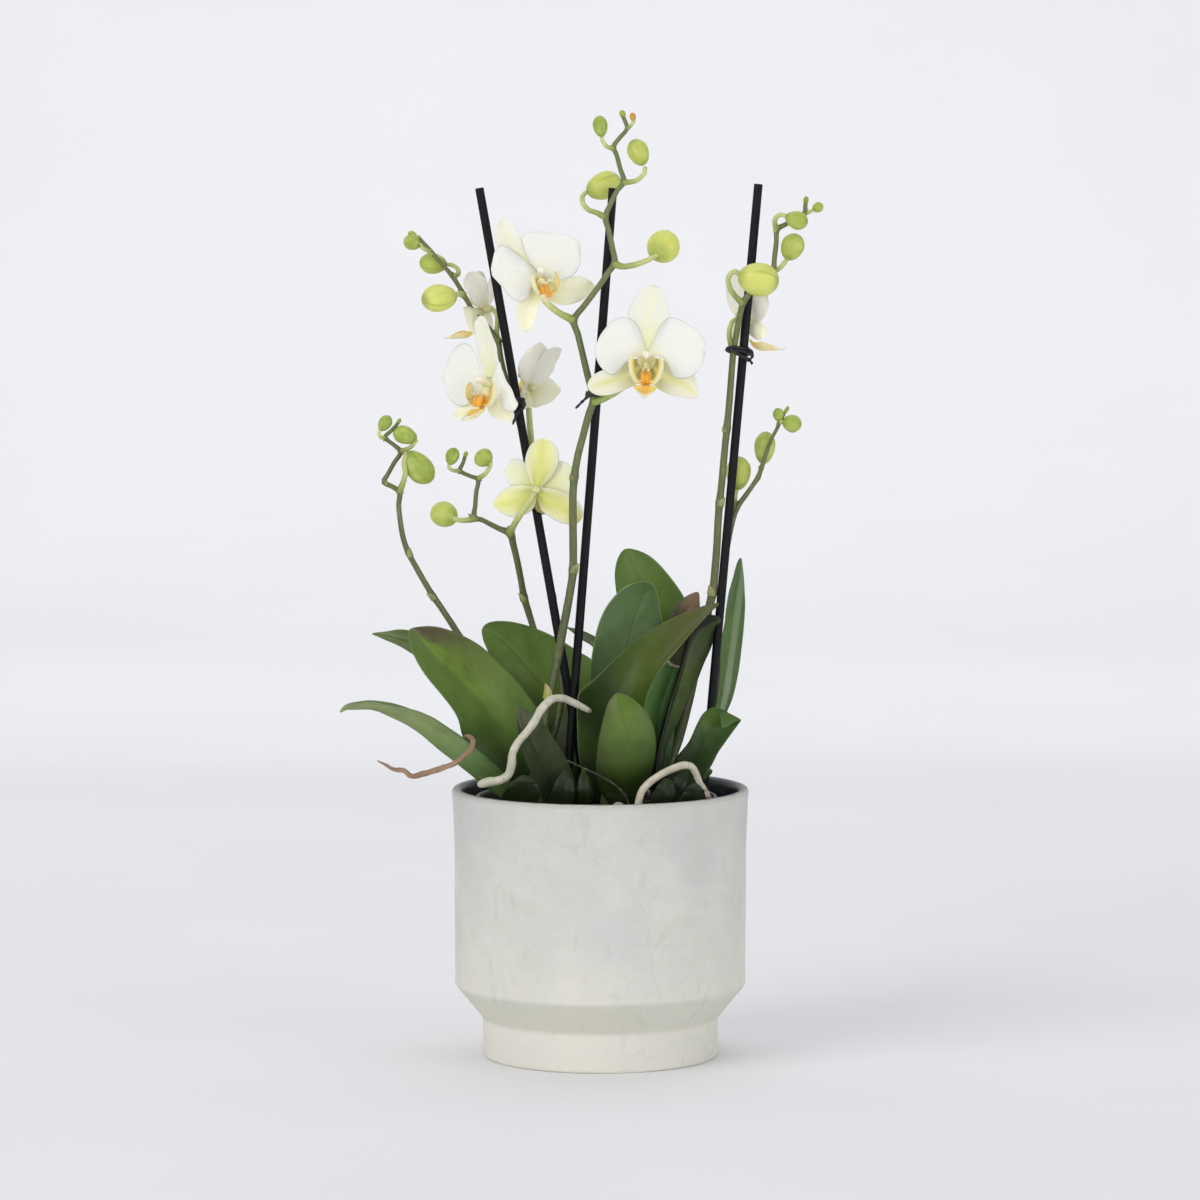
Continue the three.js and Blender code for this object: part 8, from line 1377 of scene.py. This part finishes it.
# ------------------------------------------------------------------ clips
TIE = plastic_material("tie_coat", lin(18, 19, 22), lin(32, 33, 37), 0.46, 320.0, 0.2)
for c in CLIPS:
    g = Geo()
    st, sm, ax = np.array(c["stake"], float), np.array(c["stem"], float), unit(np.array(c["axis"], float))
    ctr = (st + sm) / 2
    al = sm - st
    half = np.linalg.norm(al) / 2
    side = unit(np.cross(ax, al))
    al = unit(np.cross(side, ax))
    for turn_no, (lift, grow) in enumerate([(0.0, 0.0), (1.35, -0.12)]):
        ring = []
        n = 36
        for i in range(n + (1 if turn_no == 0 else -5)):
            t = 2 * math.pi * i / n
            p = ctr + al * (half + c["reach"] + grow) * math.cos(t) + side * (c["reach"] + grow) * 1.02 * np.sign(math.sin(t)) * abs(math.sin(t)) ** 0.7 + ax * (c["rise"] * math.sin(t + 0.6) + lift + 0.02 * i)
            ring.append([*p, CLIP_R * 0.92])
        tube(g, ring, 0.7, 12, domes=(0.9, 0.9))
    for t_ in c["tails"]:
        p = spline(t_)
        n = max(6, int(arc(p)[-1] / 0.8))
        p = at(p, np.linspace(0, 1, n))
        tt_, uu, ww = frames(p)
        s = arc(p)
        for ph in (0.0, math.pi):
            tw = p[:, :3] + (uu * np.cos(s * 1.1 + ph)[:, None] + ww * np.sin(s * 1.1 + ph)[:, None]) * (p[:, 3] * 0.42)[:, None]
            tube(g, np.column_stack([tw, p[:, 3] * 0.66]), 0.6, 10, domes=(0.9, 0.9))
    g.piece("wire_" + c["name"].split("_")[1], [TIE], c["name"])

# ------------------------------------------------------------------ stems, pedicels, bracts and the buds that grow with them
STEM, BRACT, BUD = stem_material(), bract_material(), bud_material()
BUD_TIP = {"bud_middle_5": 1}


def bract(g, centre, tang, side, radius, length, spread=1.25, flare=0.5, seed=0.0):
    """A small dry scale that sheathes a node, wrapped part of the way round the stem."""
    t = unit(tang)
    u = unit(side - t * np.dot(side, t))
    w = np.cross(t, u)
    nu, nv = 12, 16
    V, A = [], []
    for layer, off in ((1, 0.16), (-1, -0.05)):
        for i in range(nu + 1):
            x = i / nu
            half = spread * math.cos(x * math.pi / 2) ** 0.55 + 0.02
            for j in range(nv + 1):
                a = half * (2 * j / nv - 1)
                r = radius * (1.08 + 0.05 * math.sin(7 * a + seed)) + off * (1 - 0.6 * x) + flare * x ** 1.6
                V.append(centre + t * (x * length - 0.6) + (u * math.cos(a) + w * math.sin(a)) * r)
                A.append((x, 2 * j / nv - 1, layer))
    N = (nu + 1) * (nv + 1)
    F = grid_faces(nu + 1, nv + 1) + grid_faces(nu + 1, nv + 1, flip=True, off=N)
    rim = [(0, j) for j in range(nv)]
    for j in range(nv):
        F.append((j, j + 1, N + j + 1, N + j))
        k = nu * (nv + 1)
        F.append((k + j + 1, k + j, N + k + j, N + k + j + 1))
    for i in range(nu):
        F.append(((i + 1) * (nv + 1), i * (nv + 1), N + i * (nv + 1), N + (i + 1) * (nv + 1)))
        e = nv
        F.append((i * (nv + 1) + e, (i + 1) * (nv + 1) + e, N + (i + 1) * (nv + 1) + e, N + i * (nv + 1) + e))
    g.add(V, F, 1, A, (0, 0, seed))


for q in SPIKES:
    g = Geo()
    nodes = np.array([n[:3] for n in q["nodes"]], float)
    nr = np.array([n[3] for n in q["nodes"]], float)

    def node_bump(s, a, P, U, W, nodes=nodes, seed=len(q["name"])):
        P2 = P.reshape(-1, 3)
        out = np.ones(len(P2))
        for c in nodes:
            d = np.linalg.norm(P2 - c, axis=1)
            out += 0.16 * np.exp(-((d / 2.6) ** 2)) + 0.07 * np.exp(-((d / 0.8) ** 2))
        n1 = np.array([noise.noise(Vector((p[0] / 9.0, p[1] / 9.0, p[2] / 9.0))) for p in P2])
        out = out * (1 + 0.045 * n1)
        out = out.reshape(P.shape[:2])
        return out * (1 + 0.018 * np.cos(5 * a + s * 0.05))

    p, t, u, w = tube(g, q["main"], 1.25, 20, 0, node_bump, kind=0.0)
    for bi, b in enumerate(q["branches"]):
        b = [list(x) for x in b]
        b0 = [x for x in b]
        b0[0] = [*b[0][:3], b[0][3] * 1.25]
        sp_ = np.array(b0, float)

        def ped_bump(s, a, P, U, W, k=bi):
            return 1 + 0.03 * np.cos(3 * a + 0.4 * k) + 0.02 * np.sin(s * 0.9 + a)

        tube(g, b0, 0.9, 16, 0, ped_bump, kind=1.0, domes=(0.3, 0.5))
    # bracts
    for ni, (c, r) in enumerate(zip(nodes, nr)):
        i = int(np.argmin(np.linalg.norm(p[:, :3] - c, axis=1)))
        # where a pedicel leaves, the scale sits under it; on the bare stem it alternates
        side = None
        for b in q["branches"]:
            if np.linalg.norm(np.array(b[0][:3]) - c) < 5:
                side = np.array(b[1][:3], float) - np.array(b[0][:3], float)
        if side is None:
            side = np.array([1.0 if ni % 2 else -1.0, -0.5, 0.0])
        big = c[2] < 275
        rad = p[i, 3] * 1.16
        first = q["name"] == "spike_middle" and c[2] < 200
        bract(g, p[i, :3] - t[i] * (2.0 if first else 1.1), t[i], side, rad, 7.6 if first else (4.8 if big else 2.4), 1.7 if first else (1.75 if big else 1.15), 0.7 if first else 0.26, seed=ni + (5.0 if first else 0.0))
    for b in BUDS:
        if b["spike"] == q["name"] and not b["own"]:
            small = b["r"] < 2
            dark = 0.02 if small and b["name"] not in BUD_TIP else BUD_MIX.get(b["name"], b["mix"])
            egg(g, b["a"], b["b"], b["r"], 3 if b["name"] in BUD_TIP else 2, 0.02, 0.022, 0.22, 22 if small else 28, 30 if small else 44, seed=len(b["name"]) + b["r"], kind=dark, fat=0.25, turn=b["r"])
    mats = [STEM, BRACT, BUD]
    if q["name"] == "spike_middle":
        k = Mat("bud_tip_orange")
        o = k.obj()
        nn = k.noise(o, 900.0, 3.0)
        mats.append(k.done(k.mix(k.ramp(nn, 0.35, 0.7), lin(214, 132, 62), lin(190, 168, 84)), 0.5, k.bump(nn, 0.0002, 0.5), sss=0.2, sss_scale=0.001))
    g.piece(q["name"] + "_grown", mats, q["name"])

for b in BUDS:
    if b["own"]:
        g = Geo()
        egg(g, b["a"], b["b"], b["r"], 0, 0.018, 0.022, 0.2, 40, 66, seed=b["r"] * 3, kind=BUD_MIX.get(b["name"], b["mix"]), fat=0.22, turn=b["r"] * 1.3)
        g.piece("big_" + b["name"], [BUD], b["name"])

# ------------------------------------------------------------------ crowns
k = Mat("crown_skin")
o = k.obj()
st = k.noise(k.scaled(o, (1, 1, 0.1)), 900.0, 4.0)
cc = k.mix(k.ramp(st, 0.4, 0.7), lin(74, 96, 44), lin(108, 118, 62))
cc = k.mix(k.ramp(k.noise(o, 120.0, 4.0), 0.5, 0.7, 0.0, 0.7), cc, lin(92, 74, 50))
CROWN = k.done(cc, 0.6, k.bump(st, 0.0005, 0.7))
# the low sheath blades: their dark green is partly their own colour and partly painted shade, as they stand in the
# shade under the leaves
SHEATH = leaf_material("sheath_tissue", dict(front=(46, 64, 32), back=(40, 54, 28), seed=2.2, brown=0.6, reach=0.5, edge=(70, 80, 48), rib=0.2, dark=0.8, painted_shade_top=0.156, **{"from": 0.3}))
for c in CROWNS:
    g = Geo()
    tube(g, c["pts"], 1.4, 30, 0, lambda s, a, P, U, W: 1 + 0.06 * np.cos(2 * a + s * 0.25) + 0.03 * np.cos(9 * a))
    for fl, fr, thick, sd in SHEATHS.get(c["name"], []):
        blade(g, fl, fr, None, thick, 34, 18, 1, groove=0.3, ruffle=0.25, seed=sd, face=(0.0, -1.0, 0.1))
    g.piece("stock_" + c["name"].split("_")[1], [CROWN, SHEATH], c["name"])

# ------------------------------------------------------------------ leaves
TORN = root_material("torn_edge", lin(226, 220, 204), lin(206, 198, 178), lin(176, 156, 130))
for q in LEAVES:
    g = Geo()
    look = LEAF_LOOK[q["name"]]
    mat = leaf_material("tissue_" + q["name"], look)
    ctr = np.mean(np.array(q["L"] + q["R"]), 0)
    sign = 1.0 if look.get("upper", True) else -1.0
    blade(g, q["L"], q["R"], q["M"], q["th"], 72, 30, 0, groove=sign * look.get("groove", 0.55), ruffle=look.get("ruffle", 0.4), ruffle_n=look.get("waves", 2.0), seed=look["seed"], face=CAM - ctr, blunt=bool(q["blunt"]))
    if q["name"] in FLAPS:
        for fl, fr, thick, sd in FLAPS[q["name"]]:
            blade(g, fl, fr, None, thick, 26, 14, 1, groove=0.0, ruffle=0.1, seed=sd, face=CAM - ctr)
        if q["name"] == "leaf_broken_top":
            g.piece("blade_" + q["name"][5:], [mat, TORN], q["name"])
            continue
        mat2 = leaf_material("tissue_flap_" + q["name"], dict(front=(60, 90, 36), back=(48, 72, 32), seed=3.3, edge=(120, 140, 82), dark=0.6, rib=0.1))
        g.piece("blade_" + q["name"][5:], [mat, mat2], q["name"])
        continue
    g.piece("blade_" + q["name"][5:], [mat], q["name"])

# ------------------------------------------------------------------ roots
PALE = root_material("root_velamen", lin(208, 205, 188), lin(182, 180, 160), lin(164, 138, 118), 0.975)
FRONT = root_material("root_velamen_front", lin(212, 206, 188), lin(188, 180, 160), lin(172, 142, 120), 0.87)
DRY = root_material("root_dry", lin(170, 140, 116), lin(144, 117, 94), lin(98, 76, 58), dry=True)
THIN = root_material("root_thin", lin(44, 48, 30), lin(34, 37, 23), lin(30, 27, 19))
for q in ROOTS:
    g = Geo()
    sd = len(q["name"]) * 1.7

    def root_bump(s, a, P, U, W, sd=sd, dry=q["name"] == "dry_root"):
        P2 = P.reshape(-1, 3)
        k = 0.16 if dry else 0.13
        n1 = np.array([noise.noise(Vector((p[0] / 5.0 + sd, p[1] / 5.0, p[2] / 5.0))) for p in P2]).reshape(P.shape[:2])
        n2 = np.array([noise.noise(Vector((p[0] / 1.7 + sd, p[1] / 1.7, p[2] / 1.7))) for p in P2]).reshape(P.shape[:2])
        ridges = 0.14 * np.cos(4 * a + s * 0.35) + 0.08 * np.cos(9 * a - s * 0.6) if dry else 0.03 * np.cos(2 * a + s * 0.11) + 0.02 * np.cos(6 * a + s * 0.2) - 0.05 * np.exp(-(((s * 0.137) % 1 - 0.5) / 0.06) ** 2)
        return 1 + k * n1 + k * 0.5 * n2 + ridges

    pts = [[x, y, z, r * ROOT_SLIM.get(q["name"], 1.0)] for x, y, z, r in q["pts"]]
    tube(g, pts, 0.6, 26 if q["name"] != "thin_root" else 10, 0, root_bump, seed=sd, domes=(1.1, 1.3))
    m = {"aerial_root_left": PALE, "aerial_root_front": FRONT, "dry_root": DRY, "thin_root": THIN}[q["name"]]
    g.piece(q["name"] + "_skin", [m], q["name"])

# ------------------------------------------------------------------ flowers
IVORY = petal_material("petal_tissue", lin(232, 232, 225), lin(228, 228, 198), lin(232, 233, 220), lin(246, 245, 240), 0.3, 0.22)
SEPAL = petal_material("sepal_tissue", lin(230, 229, 214), lin(224, 224, 172), lin(230, 230, 196), lin(240, 240, 224), 0.5, 0.4)
# lateral sepal tissue of flower 2: its dark olive base is partly the sepals' own green base and partly painted shade
# under the lip
SEPAL_LOW = petal_material("sepal_low_tissue", lin(236, 233, 206), lin(150, 148, 46), lin(222, 220, 146), lin(238, 237, 208), 0.75, 0.5)
# a brighter copy of the petal tissue for the flowers seen from behind: painted light in place of the light through
# their petals
IVORY_BRIGHTENED = petal_material("petal_tissue_painted_light", lin(246, 243, 232), lin(238, 234, 200), lin(240, 238, 222), lin(254, 250, 238), 0.3, 0.22, glow=(0.1, 0.0008))
# a brighter copy of the lateral sepal tissue for sepals turned from the lamps: painted light
SEPAL_BRIGHTENED = petal_material("sepal_tissue_painted_light", lin(243, 241, 212), lin(214, 211, 136), lin(230, 228, 172), lin(248, 245, 222), 0.28, 0.4, glow=(0.15, 0.001))
Y_PETAL = petal_material("petal_yellow_tissue", lin(232, 233, 204), lin(212, 216, 136), lin(226, 228, 176), lin(231, 232, 198), 0.4, 0.5, (236, 237, 218), 0.5, 0.6)
Y_SEPAL = petal_material("sepal_yellow_tissue", lin(236, 235, 166), lin(190, 194, 98), lin(216, 216, 122), lin(228, 226, 158), 0.75, 0.55, (236, 235, 208), 0.8, 0.45)
LIP, LIP_DULL, COLUMN = lip_material(), lip_material("lip_olive_tissue", 0.85), column_material()


def lobe_shape(pts, sx, name):
    """Side lobe of one flower: opened outwards by an angle, and grown or shrunk about its base."""
    left, right, size, dw, da = LOBES.get(name, (0.0, 0.0, 1.0, 0.0, 0.0))
    ang = math.radians(right if sx > 0 else left)
    out = []
    for a_, b_, w_ in pts:
        a1, w1 = a_ - sx * 4.0, w_ - 4.0
        a2 = a1 * math.cos(ang) + sx * w1 * math.sin(ang)
        w2 = w1 * math.cos(ang) - sx * a1 * math.sin(ang)
        out.append((sx * 4.0 + a2 * size + (da if sx < 0 else 0.0), -6.5 + (b_ + 6.5) * size, 4.0 + w2 * size + dw))
    return out


k = Mat("ovary_skin")
o = k.obj()
nn = k.noise(o, 700.0, 3.0)
OVARY = k.done(k.mix(k.ramp(nn, 0.35, 0.7), lin(212, 208, 148), lin(224, 220, 176)), 0.5, k.bump(nn, 0.0001, 0.5), sss=0.2, sss_scale=0.002)
for q in FLOWERS:
    fi = int(q["name"][-1])
    n, up, c = unit(q["n"]), unit(q["up"]), np.array(q["c"], float)
    g = Geo()
    yellow = fi == 6
    for pi, p in enumerate(q["petals"]):
        kind = p["kind"]
        petal = kind.startswith("petal")
        # flowers 4, 5 and 7, seen from behind, take the brighter petal copy on their petals and dorsal sepal: painted
        # light
        if petal:
            mat = 3 if yellow else (6 if (fi == 5 and kind == 'petal_left') else (7 if fi in (4, 5, 7) else 0))
        elif kind == "sepal_dorsal":
            mat = 4 if yellow else (7 if fi in (4, 5, 7) else 1)
        else:
            # lateral sepals other than flower 2's take the brighter sepal copy: painted light
            mat = 4 if yellow else (2 if fi == 2 else 6)
        blade(g, p["L"], p["R"], None, 0.75 if petal else 0.85, 44, 24, mat, cup=(0.2 if petal else -0.8), groove=0.12, ruffle=0.6 if petal else 0.3, ruffle_n=1.6 if petal else 1.3,
              seed=fi * 1.37 + pi * 0.61, recurve=(-1.0 if petal else -1.4), face=n, edge_curl=(-0.5 if petal else 0.4))
    # the small round middle that the tepals grow from, and the stalk's swollen end behind it
    behind = n[1] > 0.1
    egg(g, c - n * (4.6 if behind else 2.6), c + n * 1.1, 2.1 if behind else 2.0, 5, 0.04, 0.02, rings=22, sides=30, seed=fi)
    egg(g, c - n * (-0.4 if behind else 0.9), c + n * (1.8 if behind else 0.7), 3.6 if behind else 4.4, 5, 0.0, 0.0, rings=14, sides=36, seed=fi + 3.0)
    g.piece(q["name"] + "_tepals", [IVORY, SEPAL, SEPAL_LOW, Y_PETAL, Y_SEPAL, OVARY, SEPAL_BRIGHTENED, IVORY_BRIGHTENED], q["name"])

    # column and lip in a local frame of right, up, forward
    ln, lu = unit(q["lip_n"]), unit(q["lip_up"])
    lr = np.cross(lu, ln)
    ks = q["lip_scale"]
    g = Geo()

    def place(g0, g1):
        V = np.vstack(g0.v)
        W = c + (lr * V[:, :1] + lu * V[:, 1:2] + ln * V[:, 2:3]) * ks
        A_, B = np.vstack(g0.a), np.vstack(g0.b)
        B = np.stack([B[:, 0], A_[:, 1], A_[:, 2]], 1)
        g1.v.append(W); g1.a.append(V.copy()); g1.b.append(B)
        g1.f += [tuple(i + g1.n for i in f) for f in g0.f]
        g1.m += g0.m
        g1.n += len(V)

    loc = Geo()
    # column: a short hooded rod
    tube(loc, [[0, 0.6, 0.4, 1.8], [0, 1.5, 2.6, 1.65], [0, 2.6, 5.0, 1.7], [0, 3.5, 6.8, 1.95], [0, 3.7, 8.0, 1.9], [0, 3.3, 8.8, 1.45]], 0.35, 26, 1,
         lambda s, a, P, U, W: 1 + 0.10 * np.cos(2 * a) * np.clip(s / 8, 0, 1) + 0.03 * np.cos(5 * a), domes=(0.4, 0.7))
    egg(loc, (0, 2.0, 8.0), (0, 3.1, 9.6), 1.0, 1, 0.05, 0.04, rings=16, sides=24, seed=0.3)
    # side lobes stand up on both sides of the column and curl inwards in front
    for sx in (-1, 1):
        Lr = [(sx * 1.2, -9.6, 4.4), (sx * 3.4, -10.4, 4.2), (sx * 5.8, -8.6, 3.8), (sx * 7.5, -5.2, 3.6), (sx * 8.1, -1.4, 4.2), (sx * 7.7, 1.6, 5.6), (sx * 6.5, 3.6, 8.0)]
        Rr = [(sx * 1.2, -8.8, 8.4), (sx * 2.6, -9.2, 10.0), (sx * 4.3, -7.0, 11.4), (sx * 5.5, -4.0, 12.0), (sx * 6.0, -0.8, 11.8), (sx * 6.2, 1.9, 10.4), (sx * 6.5, 3.6, 8.0)]
        Mr = [(sx * 1.6, -9.6, 6.6), (sx * 3.6, -10.3, 7.4), (sx * 6.0, -8.2, 7.9), (sx * 7.5, -4.9, 8.2), (sx * 8.1, -1.3, 8.4), (sx * 7.6, 1.6, 8.3), (sx * 6.5, 3.6, 8.0)]
        Lr, Rr, Mr = (lobe_shape(z_, sx, q['name']) for z_ in (Lr, Rr, Mr))
        blade(loc, Lr, Rr, Mr, 0.7, 36, 20, 0, ruffle=0.12, seed=sx + 2.0, face=(sx, -0.3, -0.4))
    # middle lobe: narrow claw, two side points, tapering tip
    wide = MID_WIDTH.get(q["name"], 1.0)
    half = [(1.6, -9.6, 5.0), (2.0, -10.7, 6.2), (3.0, -11.2, 7.6), (5.0, -11.0, 9.2), (5.8, -11.4, 10.8), (5.4, -12.3, 12.6), (4.2, -13.5, 14.6), (3.0, -14.6, 16.8), (1.6, -15.6, 18.8)]
    Lm = [(-x * wide, y, z) for x, y, z in half] + [(0, -16.0, 19.8)]
    Rm = [(x * wide, y, z) for x, y, z in half] + [(0, -16.0, 19.8)]
    Mm = [(0, -10.0, 5.0), (0, -12.4, 6.6), (0, -13.9, 8.8), (0, -14.6, 11.0), (0, -15.0, 13.6), (0, -15.5, 16.4), (0, -16.0, 19.8)]
    tilt = math.radians(LIP_TILT.get(q["name"], 0.0))

    def pitch(pts, r0=-9.5, w0=7.5):
        # the middle lobe is raised about its neck
        out = []
        for p_ in pts:
            db, dw = p_[1] - r0 + MID_SHIFT.get(q["name"], (0.0, 0.0))[0], p_[2] - w0 + MID_SHIFT.get(q["name"], (0.0, 0.0))[1]
            f_ = tilt * min(1.0, max(0.0, (dw + 0.5) / 3.0))
            out.append([p_[0], r0 + db * math.cos(f_) + dw * math.sin(f_), w0 + dw * math.cos(f_) - db * math.sin(f_)] + list(p_[3:]))
        return out
    blade(loc, pitch(Lm), pitch(Rm), pitch(Mm), 0.9, 46, 22, 0, groove=0.3, ruffle=0.15, seed=fi + 0.5, face=(0, 0.6, 1.0))
    # the two fine tails at the tip
    for sx in (-1, 1):
        tube(loc, pitch([[sx * 0.5, -16.0, 19.0, 0.34], [sx * 1.0, -16.0, 19.8, 0.26], [sx * 1.6, -15.4, 20.3, 0.2], [sx * 1.9, -14.7, 20.3, 0.14]]), 0.4, 8, 0)
    # callus: two ridges with small horns
    small_lip = LOBES.get(q["name"], (0, 0, 1.0, 0, 0))[2] < 0.7
    for sx in (-1, 1):
        if small_lip:
            egg(loc, (sx * 0.8, -6.2, 2.6), (sx * 0.9, -10.2, 5.0), 1.2, 0, 0.06, 0.06, rings=22, sides=28, seed=0.2)
            continue
        egg(loc, (sx * 1.0, -3.6, 6.6), (sx * 1.1, -10.0, 9.4), 1.75, 0, 0.06, 0.06, rings=22, sides=28, seed=0.2)
        tube(loc, [[sx * 1.0, -4.6, 7.8, 0.8], [sx * 1.3, -3.6, 9.2, 0.55], [sx * 1.7, -3.0, 10.2, 0.25]], 0.3, 10, 0)
    egg(loc, (0, 0.0, 1.6), (0, -10.8, 5.4), 2.7 if fi in (1, 3) else 1.9, 0, 0.05, 0.03, rings=20, sides=26, seed=0.1)
    place(loc, g)
    g.piece("lip_and_column_" + q["name"][-1], [LIP_DULL if fi == 6 else LIP, COLUMN], "lip_" + q["name"][-1])

# ------------------------------------------------------------------ floor, backdrop, light and camera
def floor_material():
    k = Mat("studio_sweep")
    o = k.obj()
    y = k.xyz(o)[1]
    n1 = k.noise(o, 3.0, 3.0)
    col = k.mix(k.ramp(n1, 0.3, 0.7), lin(*FLOOR_A), lin(*FLOOR_B))
    back = k.mix(k.ramp(n1, 0.3, 0.7), lin(*BACK_A), lin(*BACK_B))
    col = k.mix(k.ramp(y, 0.5, 3.0), col, back)
    fine = k.noise(o, 900.0, 2.0)
    return k.done(col, 0.9, k.bump(fine, 0.0001, 0.1), spec=0.1)


V, F = [], []
prof = [(-4.0, 0.0)] + [(y, 0.0) for y in np.linspace(-3.6, 2.2, 12)]
cy, rad = 2.2, 1.6
for a in np.linspace(0, math.pi / 2, 24)[1:]:
    prof.append((cy + rad * math.sin(a), rad - rad * math.cos(a)))
prof.append((cy + rad, 6.0))
for y, z in prof:
    V += [(-6.0, y, z), (6.0, y, z)]
for i in range(len(prof) - 1):
    F.append((2 * i, 2 * i + 1, 2 * i + 3, 2 * i + 2))
me = bpy.data.meshes.new("studio_sweep")
me.from_pydata(V, [], F)
me.polygons.foreach_set("use_smooth", [True] * len(me.polygons))
me.materials.append(floor_material())
sweep = bpy.data.objects.new("studio_sweep", me)
bpy.context.scene.collection.objects.link(sweep)

world = bpy.data.worlds.new("studio")
bpy.context.scene.world = world
world.use_nodes = True
world.node_tree.nodes["Background"].inputs[0].default_value = lin(*WORLD_C)
world.node_tree.nodes["Background"].inputs[1].default_value = WORLD_S


def area(name, loc, target, size, power, colour, spread=180.0):
    l = bpy.data.lights.new(name, "AREA")
    l.shape = "RECTANGLE"
    l.size, l.size_y = size
    l.energy = power
    l.color = colour
    l.spread = math.radians(spread)
    ob = bpy.data.objects.new(name, l)
    ob.location = loc
    d = Vector(target) - Vector(loc)
    ob.rotation_euler = d.to_track_quat("-Z", "Y").to_euler()
    bpy.context.scene.collection.objects.link(ob)
    return ob


for spec_ in LIGHTS:
    area(*spec_)

cam = bpy.data.cameras.new("photo_view")
cam.sensor_width = 36.0
cam.lens = CAM_LENS
cam.clip_end = 50.0
cam.shift_x = -0.00025
co = bpy.data.objects.new("photo_view", cam)
co.location = (0.0, -CAM_D * MM, CAM_H * MM)
co.rotation_euler = (math.pi / 2 - CAM_TILT, 0.0, 0.0)
bpy.context.scene.collection.objects.link(co)
bpy.context.scene.camera = co
bpy.context.scene.view_settings.view_transform = "Standard"
bpy.context.scene.view_settings.look = "None"
